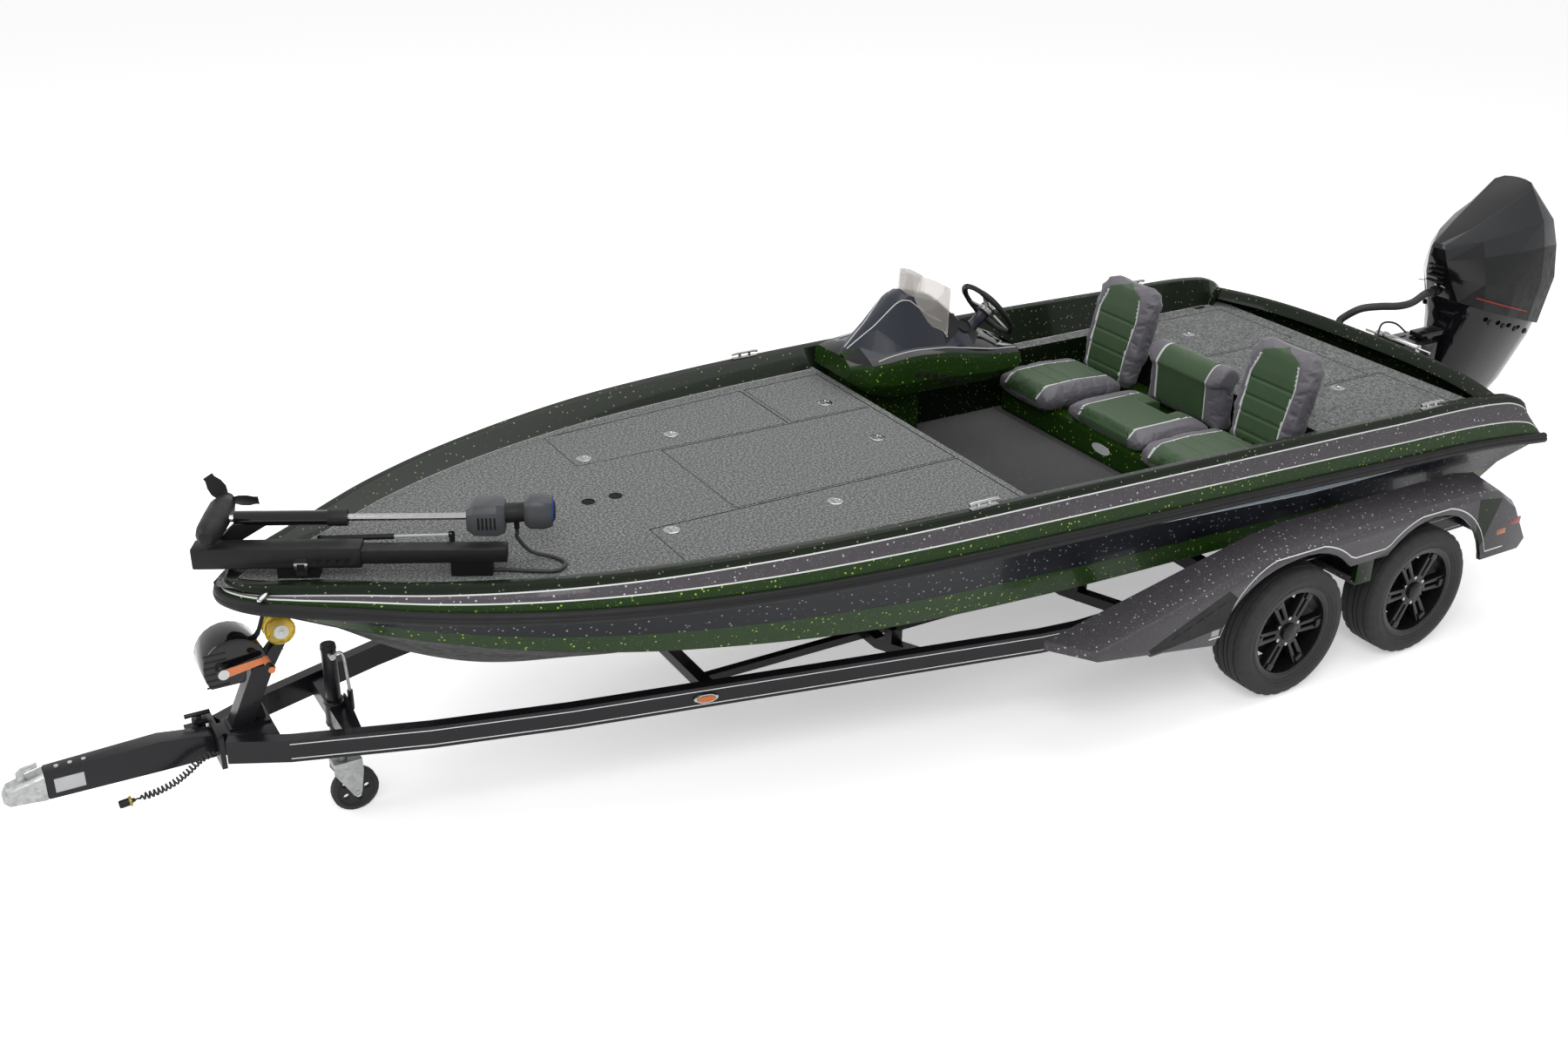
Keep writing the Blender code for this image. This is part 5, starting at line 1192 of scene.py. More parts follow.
def motor_leg_mesh():
    """Casing below the cowl, midsection, gearcase, skeg and swivel pin in one body."""
    rings = []
    top = (1.870, 2.605, 0.238, seam_z(1.870) - GAP, seam_z(2.605) - GAP)
    for x0, x1, half, z_front, z_back in [top] + LEG_RIBS:
        middle = (x0 + x1) / 2
        ring = []
        for dx, y in oval((x1 - x0) / 2, half, 20, 0.75):
            share = (middle + dx - x0) / (x1 - x0)
            ring.append((middle + dx, y, z_front + (z_back - z_front) * share))
        rings.append(ring)
    leg = loft_mesh("motor_leg", rings, smooth=40)
    plate_z = PROP_Z + PROP_RADIUS + 0.013
    plate = prism_mesh("cavitation", [(1.870, -0.050), (2.100, -0.110), (2.400, -0.115)]
                       + arc((2.420, 0.0), 0.085, -60, 60, 6)
                       + [(2.400, 0.115), (2.100, 0.110), (1.870, 0.050)], plate_z, plate_z + 0.012, "Z")
    bullet = turned_mesh("gearcase", [(0.0, 0.28), (0.022, 0.270), (0.045, 0.215), (0.060, 0.12),
                                      (0.062, 0.02), (0.060, -0.10), (0.050, -0.18), (0.0, -0.181)], 18)
    bullet = moved(bullet, Matrix.Translation((2.060, 0, PROP_Z)) @ Matrix.Rotation(-math.pi / 2, 4, "Y"))
    skeg = prism_mesh("skeg", [(1.900, PROP_Z), (2.150, PROP_Z), (2.190, 0.165), (2.150, 0.150),
                               (2.060, 0.175)], -0.006, 0.006)
    arm = span_box("steer_arm", (STEER_X - 0.030, -0.045, MOTOR_TILT_Z + 0.051),
                   (1.960, 0.045, MOTOR_TILT_Z + 0.080))
    yoke = span_box("yoke", (STEER_X - 0.030, -0.045, 0.735), (1.930, 0.045, 0.774))
    pin = rod_mesh("swivel_pin", (STEER_X, 0, 0.745), (STEER_X, 0, MOTOR_TILT_Z + 0.070),
                   SWIVEL_PIN_RADIUS, 20)
    shaft = rod_mesh("prop_shaft", (2.20, 0, PROP_Z), (2.425, 0, PROP_Z), PROP_SHAFT_RADIUS, 16)
    return union(leg, bullet, plate, skeg, arm, yoke, pin, shaft)


def outboard():
    """Bracket, swivel, steerable leg with its cowl, and the propeller."""
    transom_bracket()
    swivel = span_box("swivel", (MOTOR_X - 0.040, -0.110, 0.780),
                      (STEER_X + 0.035, 0.110, MOTOR_TILT_Z + 0.045))
    bore = rod_mesh("tilt_bore", (MOTOR_X, -0.2, MOTOR_TILT_Z), (MOTOR_X, 0.2, MOTOR_TILT_Z), 0.0165, 16)
    socket = rod_mesh("swivel_bore", (STEER_X, 0, 0.7), (STEER_X, 0, 1.2), SWIVEL_PIN_RADIUS + GAP, 20)
    part("swivel_bracket", cut(swivel, bore, socket))
    part("motor_leg", motor_leg_mesh())
    part("motor_cowl", cowl_mesh())
    propeller()


def blade_mesh(radius, hub, chord, twist, thickness):
    """One propeller blade, twisting from its root to its tip, about the Z axis."""
    rings = []
    for t in (0.0, 0.3, 0.6, 0.85, 1.0):
        r = hub * 0.7 + (radius - hub * 0.7) * t
        half = chord / 2 * (0.50 + 0.50 * math.sin(math.pi * min(t + 0.10, 0.93)))
        pitch = math.radians(twist * (1.2 - 0.55 * t))
        thin = thickness * (1.0 - 0.6 * t)
        ring = []
        for a, b in ((-half, 0.0), (-half * 0.4, thin), (half * 0.4, thin), (half, 0.0),
                     (half * 0.4, -thin), (-half * 0.4, -thin)):
            c, s = math.cos(pitch), math.sin(pitch)
            ring.append((r, a * c - b * s, a * s + b * c))
        rings.append(ring)
    return loft_mesh("blade", rings, smooth=40)


def bladed(name, radius, hub, length, blades, chord, twist, thickness):
    """A hub along Z with its blades."""
    body = turned_mesh(name, [(0.0, length / 2), (hub * 0.8, length / 2), (hub, length * 0.2),
                              (hub, -length / 2), (0.0, -length / 2)], 18)
    blade = blade_mesh(radius, hub, chord, twist, thickness)
    return union(body, *[moved(blade, Matrix.Rotation(2 * math.pi * k / blades, 4, "Z"))
                         for k in range(blades)])


def propeller():
    body = bladed("propeller", PROP_RADIUS, 0.055, 0.16, 3, 0.15, 35, 0.006)
    bore = rod_mesh("prop_bore", (0, 0, -0.2), (0, 0, 0.2), PROP_SHAFT_RADIUS + GAP, 16)
    place = Matrix.Translation((2.246 + 0.080, 0, PROP_Z)) @ Matrix.Rotation(math.pi / 2, 4, "Y")
    part("propeller", moved(cut(body, bore), place))


def troll_frame():
    """X along the stowed shaft towards the stern, Y across it, origin at the pivot."""
    return Matrix.Translation(TROLL_PIVOT) @ Matrix.Rotation(TROLL_HEADING, 4, "Z")


def trolling_base():
    """Two-stage channel on the bow, with its feet and the pivot of the folding arm."""
    low = FRONT_DECK_Z + 0.045 - TROLL_PIVOT.z
    fore = rounded(span_box("trolling_base", (-0.050, -0.140, low), (0.600, -0.050, low + 0.090)), 0.008)
    slots = [span_box("slot", (0.430 + 0.036 * k, -0.150, low + 0.016),
                      (0.446 + 0.036 * k, -0.134, low + 0.040)) for k in range(4)]
    aft = rounded(span_box("aft_channel", (0.580, -0.132, low + 0.014), (1.160, -0.058, low + 0.074)), 0.005)
    feet = [span_box("feet", (x, -0.130, FRONT_DECK_Z - TROLL_PIVOT.z + GAP), (x + 0.16, -0.060, low + 0.020))
            for x in (0.27, 0.94)]
    pivot = rod_mesh("pivot_tube", (0.0, -0.12, 0.0), (0.0, 0.04, 0.0), 0.0140, 16)
    deck_side = span_box("cheek", (0.050, -0.060, low), (0.62, -0.046, low + 0.050))
    body = union(cut(fore, *slots), aft, *feet, deck_side, pivot)
    part("trolling_base", moved(body, troll_frame()))


def trolling_motor():
    place = troll_frame()
    trolling_base()
    rise = TROLL_SHAFT_RISE
    sleeve = rod_mesh("sleeve", (0.10, 0, rise), (0.52, 0, rise), 0.030, 20)
    collar = rod_mesh("collar", (0.46, 0, rise), (0.535, 0, rise), 0.034, 20)
    bore = rod_mesh("bore", (0.0, 0, rise), (0.6, 0, rise), 0.0145, 16)
    arm = prism_mesh("arm", [(-0.030, -0.020), (0.010, -0.034), (0.040, -0.020), (0.24, rise - 0.010),
                             (0.24, rise), (0.12, rise)], -0.024, 0.024)
    eye = rod_mesh("eye", (0.0, -0.1, 0.0), (0.0, 0.1, 0.0), 0.0145, 16)
    arm = cut(union(sleeve, collar, arm), bore, eye)
    part("trolling_arm", moved(arm, place))
    shaft = rod_mesh("shaft", (0.02, 0, rise), (1.20, 0, rise), 0.0145 - GAP, 16)
    block = loft_mesh("block", [
        [(x, -w, rise - low), (x, w, rise - low), (x, w, rise + high * 0.55), (x, w - 0.018, rise + high),
         (x, 0.018 - w, rise + high), (x, -w, rise + high * 0.55)]
        for x, w, low, high in ((1.000, 0.048, 0.040, 0.042), (1.030, 0.062, 0.058, 0.062),
                                (1.120, 0.064, 0.060, 0.068), (1.150, 0.052, 0.050, 0.058))])
    neck = rod_mesh("neck", (1.14, 0.012, rise + 0.006), (1.240, 0.012, rise + 0.012), 0.040, 20)
    head = loft_mesh("head", [[(x, 0.012 + y, rise + 0.014 + z) for y, z in oval(half_y, half_z, 14, 0.6)]
                              for x, half_y, half_z in ((1.225, 0.046, 0.050), (1.245, 0.060, 0.066),
                                                        (1.300, 0.062, 0.068),
                                                        (1.335, 0.052, 0.058))], smooth=40)
    pod = turned_mesh("pod", [(0.0, 0.175), (0.025, 0.170), (0.043, 0.145), (0.050, 0.10), (0.052, 0.0),
                              (0.052, -0.09), (0.046, -0.115), (0.040, -0.150), (0.0, -0.151)], 18)
    pod = moved(pod, Matrix.Translation((0.03, -0.01, rise)) @ Matrix.Rotation(math.pi / 2, 4, "X"))
    gland = rod_mesh("gland", (1.190, 0.012, rise - 0.062), (1.190, 0.012, rise - 0.010), 0.011, 12)
    body = union(shaft, block, neck, head, pod, gland)
    part("trolling_motor", moved(body, place))
    prop = bladed("trolling_propeller", 0.125, 0.030, 0.05, 3, 0.07, 28, 0.003)
    seat = place @ Matrix.Translation((0.03, 0.167, rise)) @ Matrix.Rotation(-math.pi / 2, 4, "X")
    part("trolling_propeller", moved(prop, seat))


def lead(point, direction, step):
    """Three evenly spaced points in line, so that a cord starts or ends straight."""
    return [Vector(point) + direction * step * k for k in range(3)]


# Mesh helpers
def P(x, y, z):
    """A point in the source's frame, midway between the axles, brought into the row frame."""
    return Vector((x + SHIFT, y, z))


def piece(name, mesh, *mats, body=ROOT, angle=35.0, slot=None, replaces=()):
    """A finished mesh as a piece of the object, riding on its body."""
    if isinstance(mesh, bmesh.types.BMesh):
        bm, mesh = mesh, bpy.data.meshes.new(name)
        bm.to_mesh(mesh)
        bm.free()
    obj = bpy.data.objects.new(name, mesh)
    bpy.context.scene.collection.objects.link(obj)
    for mat in mats:
        mesh.materials.append(M[mat])
    if angle:
        mesh.shade_smooth()
        mesh.set_sharp_from_angle(angle=math.radians(angle))
    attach(obj, body)
    if replaces:
        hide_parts(*replaces)
    return obj


def grid(bm, points, bands=None, closed=False):
    """Skin an N x J array of points with quads; bands gives each strip between columns its material."""
    verts = [[bm.verts.new(p) for p in row] for row in points]
    columns = len(points[0])
    for a, b in zip(verts, verts[1:]):
        for j in range(columns if closed else columns - 1):
            k = (j + 1) % columns
            face = bm.faces.new((a[j], b[j], b[k], a[k]))
            if bands:
                face.material_index = bands[j]
    return verts


def tube(bm, path, radius, sides=10, mat=0, caps=True):
    """A round tube along a path, whose radius may be a list."""
    path = [Vector(p) for p in path]
    radii = radius if isinstance(radius, (list, tuple)) else [radius] * len(path)
    normal = None
    rings = []
    for i, p in enumerate(path):
        along = (path[min(i + 1, len(path) - 1)] - path[max(i - 1, 0)]).normalized()
        if normal is None:
            normal = along.orthogonal().normalized()
        normal = (normal - along * normal.dot(along)).normalized()
        side = along.cross(normal)
        ring = [bm.verts.new(p + (normal * math.cos(t) + side * math.sin(t)) * radii[i])
                for t in (2 * math.pi * k / sides for k in range(sides))]
        rings.append(ring)
    for a, b in zip(rings, rings[1:]):
        for j in range(sides):
            face = bm.faces.new((a[j], a[(j + 1) % sides], b[(j + 1) % sides], b[j]))
            face.material_index = mat
    if caps:
        for ring in (list(reversed(rings[0])), rings[-1]):
            bm.faces.new(ring).material_index = mat


def block(bm, low, high, mat=0, bevel=0.0, turn=None, segments=2):
    """A box between two corners, with rounded edges, which may be turned by a matrix."""
    low, high = Vector(low), Vector(high)
    made = bmesh.ops.create_cube(bm, size=1.0)["verts"]
    bmesh.ops.scale(bm, vec=high - low, verts=made)
    bmesh.ops.translate(bm, vec=(low + high) / 2, verts=made)
    if bevel:
        edges = {e for v in made for e in v.link_edges}
        made = bmesh.ops.bevel(bm, geom=list(edges), offset=bevel, segments=segments, profile=0.6,
                               affect="EDGES")["verts"] or made
    verts = set(made)
    faces = {f for v in verts for f in v.link_faces}
    for face in faces:
        face.material_index = mat
        verts.update(face.verts)
    if turn is not None:
        bmesh.ops.transform(bm, matrix=turn, verts=list(verts))
    return list(verts)


def plate(bm, outline, low, high, mat=0, bevel=0.0, turn=None, segments=1):
    """A flat outline raised from low to high along Z, then turned by a matrix."""
    bottom = [bm.verts.new((x, y, low)) for x, y in outline]
    top = [bm.verts.new((x, y, high)) for x, y in outline]
    area = sum(a[0] * b[1] - b[0] * a[1] for a, b in zip(outline, outline[1:] + outline[:1]))
    if area < 0:
        bottom.reverse()
        top.reverse()
    faces = [bm.faces.new(list(reversed(bottom))), bm.faces.new(top)]
    count = len(bottom)
    faces += [bm.faces.new((bottom[i], bottom[(i + 1) % count], top[(i + 1) % count], top[i]))
              for i in range(count)]
    verts = set(bottom + top)
    if bevel:
        made = bmesh.ops.bevel(bm, geom=list(faces[1].edges), offset=bevel, segments=segments,
                               profile=0.5, affect="EDGES")
        verts = {v for v in verts if v.is_valid} | set(made["verts"])
    for face in {f for v in verts for f in v.link_faces}:
        face.material_index = mat
        verts.update(face.verts)
    if turn is not None:
        bmesh.ops.transform(bm, matrix=turn, verts=list(verts))
    return list(verts)


def lathe(bm, profile, place, steps=32, mat=0):
    """A profile of (radius, height) turned about its Z axis and put in its place."""
    rings = []
    for r, z in profile:
        if r < 1e-6:
            rings.append([bm.verts.new(place @ Vector((0, 0, z)))])
        else:
            rings.append([bm.verts.new(place @ Vector((r * math.cos(t), r * math.sin(t), z)))
                          for t in (2 * math.pi * k / steps for k in range(steps))])
    for a, b in zip(rings, rings[1:]):
        for j in range(steps):
            k = (j + 1) % steps
            corners = [a[j % len(a)], a[k % len(a)], b[k % len(b)], b[j % len(b)]]
            corners = [c for n, c in enumerate(corners) if c not in corners[:n]]
            if len(corners) > 2:
                bm.faces.new(corners).material_index = mat


def smooth_path(points, per_span=8):
    """Points on a smooth curve through the route's own points."""
    pts = [Vector(p) for p in points]
    pts = [pts[0] * 2 - pts[1]] + pts + [pts[-1] * 2 - pts[-2]]
    route = []
    for i in range(1, len(pts) - 2):
        p0, p1, p2, p3 = pts[i - 1:i + 3]
        for k in range(per_span):
            t = k / per_span
            route.append(0.5 * (2 * p1 + (p2 - p0) * t + (2 * p0 - 5 * p1 + 4 * p2 - p3) * t * t
                                + (3 * p1 - p0 - 3 * p2 + p3) * t ** 3))
    route.append(pts[-2])
    return route


def recalculated(bm):
    bmesh.ops.recalc_face_normals(bm, faces=bm.faces)
    return bm


def axis_place(origin, axis):
    """A matrix that puts Z along an axis at a point."""
    turn = Vector(axis).to_track_quat("Z", "Y").to_matrix().to_4x4()
    return Matrix.Translation(Vector(origin)) @ turn


# Hull, cap and rub rail
# x, keel, chine_y, chine_z, sheer_y, sheer_z, rise, deck
STATIONS = [
    (-5.082, 1.112, 0.012, 1.120, 0.030, 1.150, 0.060, 1.20),
    (-5.060, 1.100, 0.030, 1.112, 0.085, 1.150, 0.067, 1.20),
    (-5.000, 1.072, 0.065, 1.096, 0.165, 1.149, 0.075, 1.20),
    (-4.885, 1.022, 0.130, 1.066, 0.253, 1.146, 0.086, 1.20),
    (-4.685, 0.905, 0.270, 1.022, 0.382, 1.142, 0.099, 1.20),
    (-4.387, 0.704, 0.480, 0.982, 0.573, 1.136, 0.117, 1.20),
    (-4.090, 0.566, 0.635, 0.944, 0.720, 1.130, 0.133, 1.20),
    (-3.692, 0.474, 0.765, 0.892, 0.864, 1.124, 0.151, 1.20),
    (-3.195, 0.453, 0.862, 0.838, 0.983, 1.118, 0.173, 1.20),
    (-2.597, 0.454, 0.925, 0.782, 1.058, 1.110, 0.189, 1.20),
    (-1.800, 0.458, 0.958, 0.745, 1.103, 1.098, 0.204, 1.10),
    (-0.800, 0.462, 0.982, 0.732, 1.131, 1.076, 0.216, 1.10),
    (0.200, 0.466, 0.990, 0.722, 1.147, 1.045, 0.228, 1.10),
    (0.980, 0.470, 0.993, 0.716, 1.160, 1.012, 0.237, 1.10)]
# foot_x, sheer_x, sheer_y, sheer_z, crest_x, crest_z, deck_x, deck_z
STERN = [(1.060, 1.080, 1.162, 1.003, 1.060, 1.238, 1.205, 1.10),
         (1.095, 1.170, 1.166, 0.995, 1.130, 1.215, 1.245, 1.195),
         (1.118, 1.260, 1.169, 0.985, 1.190, 1.175, 1.285, 1.175),
         (1.130, 1.336, 1.170, 0.978, 1.235, 1.090, 1.325, 1.060)]
LEAN, CREST, SLOPE = 0.035, 0.055, 0.070


def hull_rows():
    """One row per station: sheer_x, sheer_y, sheer_z, foot_x, crest_x, deck_x, keel, chine_y, chine_z,
    rise, deck and how far the splash wall bows."""
    rows = [(x, sy, sz, x, x, x, k, cy, cz, rise, deck, 0.0) for x, k, cy, cz, sy, sz, rise, deck in STATIONS]
    keel, chine_y, chine_z = STATIONS[-1][1:4]
    rows += [(sx, sy, sz, fx, cx, dx, keel, chine_y, chine_z, cz - sz, dz, SPLASH_BOW)
             for fx, sx, sy, sz, cx, cz, dx, dz in STERN]
    return np.array(rows)


def hermite(table, marks, wanted):
    """Smooth curves through the rows of a table, read at the wanted marks."""
    gaps = np.diff(marks)[:, None]
    rates = np.diff(table, axis=0) / gaps
    slopes = np.vstack([rates[:1], (rates[:-1] * gaps[1:] + rates[1:] * gaps[:-1]) / (gaps[1:] + gaps[:-1]),
                        rates[-1:]])
    out = []
    for t in wanted:
        i = min(max(int(np.searchsorted(marks, t)) - 1, 0), len(marks) - 2)
        h = marks[i + 1] - marks[i]
        s = (t - marks[i]) / h
        out.append((2 * s ** 3 - 3 * s ** 2 + 1) * table[i] + (s ** 3 - 2 * s ** 2 + s) * h * slopes[i]
                   + (3 * s ** 2 - 2 * s ** 3) * table[i + 1] + (s ** 3 - s ** 2) * h * slopes[i + 1])
    return np.array(out)


def sheer_loop(per_side=190):
    """The rows read finely from the port quarter round the bow to the starboard quarter."""
    half = hull_rows()
    port = half[::-1].copy()
    port[:, (1, 7)] *= -1
    table = np.vstack([port, half])
    marks = np.concatenate([[0], np.cumsum(np.linalg.norm(np.diff(table[:, :3], axis=0), axis=1))])
    # closer together round the bow, where the curve is tight
    middle = marks[-1] / 2
    share = np.linspace(-1, 1, 2 * per_side + 1)
    wanted = middle * (1 + np.sign(share) * np.abs(share) ** 1.25)
    loop = hermite(table, marks, wanted)
    for row in loop:
        if row[0] < 0.97:
            row[10] = FRONT_DECK_Z if row[0] < DECK_AFT_X and row[11] < 0.01 else AFT_DECK_Z
            row[11] = 0.0
    return loop


LOOP = sheer_loop()


def plan_normals(loop):
    """Unit vectors in plan that point inboard at each row of the sheer."""
    ahead = np.gradient(loop[:, :2], axis=0)
    ahead /= np.linalg.norm(ahead, axis=1)[:, None]
    return np.stack([ahead[:, 1], -ahead[:, 0]], axis=1)


INWARD = plan_normals(LOOP)


def gunwale():
    """The cap's side in its colour bands, with pinstripes, crest and inner slope."""
    bm = bmesh.new()
    points = []
    for row, inward in zip(LOOP, INWARD):
        sx, sy, sz, fx, cx, dx, keel, chy, chz, rise, deck, bow = row
        side = 1 if sy >= 0 else -1
        k = min(1.0, abs(sy) / 0.30)
        scale = 0.45 + 0.55 * k
        tail = min(1.0, max(0.0, (sx - 1.0) / 0.1))
        n = np.array([inward[0] * (1 - tail), inward[1]])
        n[1] = n[1] if tail == 0 else -side * max(abs(n[1]), tail)
        lean, crest, slope = LEAN * scale, CREST * scale, SLOPE * scale
        ring = []
        band = 0.42 * rise
        foot = deck + 0.0008
        for d, h, gx in ((0.0003, 0.0003, 0.0), (lean * 0.5 * band / (0.6 * rise), band, 0.42),
                         (lean * 0.5 * (band + 0.006) / (0.6 * rise), band + 0.006, 0.45),
                         (lean * 0.52, rise * 0.60, 0.6), (lean * 0.90, rise - 0.040, 0.9),
                         (lean * 0.93, rise - 0.034, 0.93), (lean * 0.98, rise - 0.020, 1.0),
                         (lean + 0.004, rise - 0.007, 1.0), (lean + 0.014, rise, 1.0),
                         (lean + crest - 0.012, rise, 1.0), (lean + crest, rise - 0.006, 1.0)):
            ring.append((sx + (cx - sx) * gx + n[0] * d, sy + n[1] * d, sz + h))
        reach = lean + crest + slope
        span = dx - cx
        fy = sy + n[1] * reach
        fx_in = sx + (cx - sx) + n[0] * reach + span - bow * abs(fy) ** 3
        top_in = np.array(ring[-1])
        low_in = np.array((fx_in, fy, foot))
        ring.append(tuple(top_in + (low_in - top_in) * 0.90))
        ring.append(tuple(low_in + (0, 0, 0.0025)))
        ring.append(tuple(low_in))
        ring.append((fx_in + n[0] * 0.038, fy + n[1] * 0.038, low_in[2]))
        points.append([P(*p) for p in ring])
    # bands from the rail inboard: green, stripe, charcoal, stripe, crest, stripe at the deck, carpet
    verts = grid(bm, points, [0, 1, 2, 2, 1, 3, 3, 3, 3, 3, 3, 3, 1, 4])
    for row, ring in zip(LOOP, verts):
        if row[0] > 0.97:
            for face in {f for v in ring for f in v.link_faces}:
                if face.material_index == 4:
                    face.material_index = 3
    for ring in (verts[0], verts[-1]):
        low = [bm.verts.new((v.co.x, v.co.y, 0.972)) for v in (ring[13], ring[0])]
        bm.faces.new(ring[:14] + low).material_index = 2
    recalculated(bm)
    return points, piece("gunwale", bm, "green", "stripe", "charcoal", "crest", "carpet", slot="cap_flake",
                         replaces=("deck_cap",), angle=28)


def splash_wall(points):
    """The wall across the stern, between the ends of the gunwale."""
    bm = bmesh.new()
    count = len(LOOP)
    rows = []
    for i in range(count):
        row = LOOP[count - 1 - i]
        if row[0] < 1.075 or row[1] < 0:
            break
        rows.append(points[count - 1 - i][13])
    rows.reverse()
    strips = []
    for foot in rows:
        inner = foot.y
        line = []
        for k in range(41):
            y = inner * (1 - k / 20)
            line.append(Vector((foot.x + (inner ** 3 - abs(y) ** 3) * SPLASH_BOW, y, foot.z)))
        strips.append(line)
    last = strips[-1]
    strips.append([Vector((p.x - 0.004, p.y, p.z - 0.012)) for p in last])
    strips.append([Vector((p.x - 0.008, p.y, 0.972)) for p in last])
    grid(bm, strips)
    piece("splash_wall", recalculated(bm), "crest", slot="cap_flake", angle=40)


def hull_skin():
    """Bottom, chine and topsides in their colours, a hair outside the solid; gives the stern's last row."""
    bm = bmesh.new()
    points = []
    for row in LOOP:
        sx, sy, sz, fx, cx, dx, keel, chy, chz, rise, deck, bow = row
        side = 1 if sy >= 0 else -1
        chy, b = abs(chy), abs(sy)
        side_x = fx + (sx - fx) * (0.12 if sx > fx + 0.001 else 0.0)
        side_y = chy + (b - chy) * 0.40
        side_z = chz + (sz - chz) * 0.45
        flat_y, flat_z = chy * 0.94, chz - 0.010
        strake = keel + (flat_z - keel) * 0.50
        # bands under the rail: a dark wedge, a white line and an ice wedge over the navy side
        wedge = float(np.interp(sx, (-1.9, -1.0, 0.0, 0.6, 0.95), (0.004, 0.06, 0.13, 0.11, 0.004)))
        ice = wedge + 0.014 + float(np.interp(sx, (-5.0, -2.5, -1.2, -0.3, 0.45),
                                              (0.012, 0.03, 0.07, 0.11, 0.004)))
        green = np.interp(sx, (-5.1, -4.6, -3.0, 0.0, 1.0), (0.80, 0.60, 0.58, 0.66, 0.72))
        low, mid, top = np.array((fx, chy, chz)), np.array((side_x, side_y, side_z)), np.array((sx, b, sz))

        def on_side(v):
            """From the sheer at 0 to the chine at 1, with the knuckle at 0.55."""
            return top + (mid - top) * (v / 0.55) if v < 0.55 else mid + (low - mid) * ((v - 0.55) / 0.45)
        ring = [(fx, 0.0, keel - 0.002), (fx, flat_y * 0.50, strake - 0.010 * chy - 0.002),
                (fx, flat_y * 0.53, strake + 0.010 * chy - 0.002), (fx, flat_y, flat_z - 0.002),
                (fx, chy - 0.004, chz - 0.004)]
        for v in (1.0, 0.97, green, green - 0.012, 0.55, ice + 0.010, ice, wedge + 0.012, wedge, 0.0):
            q = on_side(min(v, 0.995))
            ring.append((q[0], q[1] + 0.0015, q[2]))
        points.append([P(x, side * y, z) for x, y, z in ring])
    grid(bm, points, [0, 0, 0, 0, 0, 1, 1, 3, 3, 3, 2, 5, 2, 4])
    piece("hull_skin", recalculated(bm), "bottom", "green", "stripe", "navy", "deep_green", "ice",
          slot="hull_flake", angle=24)
    return points[-1]


def rub_rail():
    """Two-tone rail round the sheer with a bead along its middle."""
    bm = bmesh.new()
    section = [(0.0005, -0.026), (0.016, -0.0255), (0.025, -0.018), (0.0275, -0.008), (0.0265, 0.001),
               (0.022, 0.0045), (0.0235, 0.009), (0.022, 0.017), (0.015, 0.0245), (0.0005, 0.026)]
    points = []
    for row, inward in zip(LOOP, INWARD):
        n = -Vector((inward[0], inward[1], 0.0))
        if row[0] > 1.0:
            n = Vector((0, math.copysign(1, row[1]), 0))
        points.append([P(row[0], row[1], row[2]) + n * out + Vector((0, 0, up)) for out, up in section])
    verts = grid(bm, points, [1, 1, 0, 0, 1, 0, 0, 1, 1])
    for ring in (verts[0], list(reversed(verts[-1]))):
        bm.faces.new(ring).material_index = 1
    recalculated(bm)
    piece("rub_rail_trim", bm, "rail", "black", slot="rub_rail", replaces=("rub_rail",), angle=50)


# Cords: each leaves and meets its fittings square, so both ends are a point and a direction
HOSE_START = (Vector((1.345, 0.275, 1.130)), Vector((0.50, -0.15, 0.85)).normalized())
HOSE_END = (Vector((1.822, 0.030, 1.344)), Vector((0.95, -0.10, 0.12)).normalized())
HOSE_BENDS = [(1.430, 0.200, 1.248), (1.520, 0.145, 1.266), (1.620, 0.090, 1.270), (1.700, 0.060, 1.288)]
CABLE_LIFT = FRONT_DECK_Z + TROLL_CABLE_RADIUS + 0.002
CABLE_BENDS = [(-3.950, -0.385, 1.236), (-3.875, -0.425, CABLE_LIFT + 0.001), (-3.850, -0.500, CABLE_LIFT),
               (-3.905, -0.545, CABLE_LIFT), (-3.985, -0.505, CABLE_LIFT)]
COIL_START = Vector((-5.195, -0.088, 0.505))
COIL_BENDS = [(-5.275, -0.089, 0.490), (-5.320, -0.088, 0.455), (-5.375, -0.084, 0.420),
              (-5.430, -0.078, 0.398)]
COIL_END = (Vector((-5.530, -0.070, 0.381)), Vector((-0.030, 0.002, -0.004)).normalized())


def shifted(points):
    return [Vector((p[0] + SHIFT, p[1], p[2])) for p in points]


def route_length(points):
    return sum((Vector(b) - Vector(a)).length for a, b in zip(points, points[1:]))


def declared_cord(name, route, radius, mat, body=ROOT, sides=12, far_end="object", with_pieces=(), **facts):
    """A cord along its route, as a round tube."""
    bm = bmesh.new()
    tube(bm, route, radius, sides)
    obj = piece(name, recalculated(bm), mat, body=body, angle=50, slot="black_plastic")
    tuple(route[0])
    route_length(route)
    [tuple(p) for p in route]
    return obj


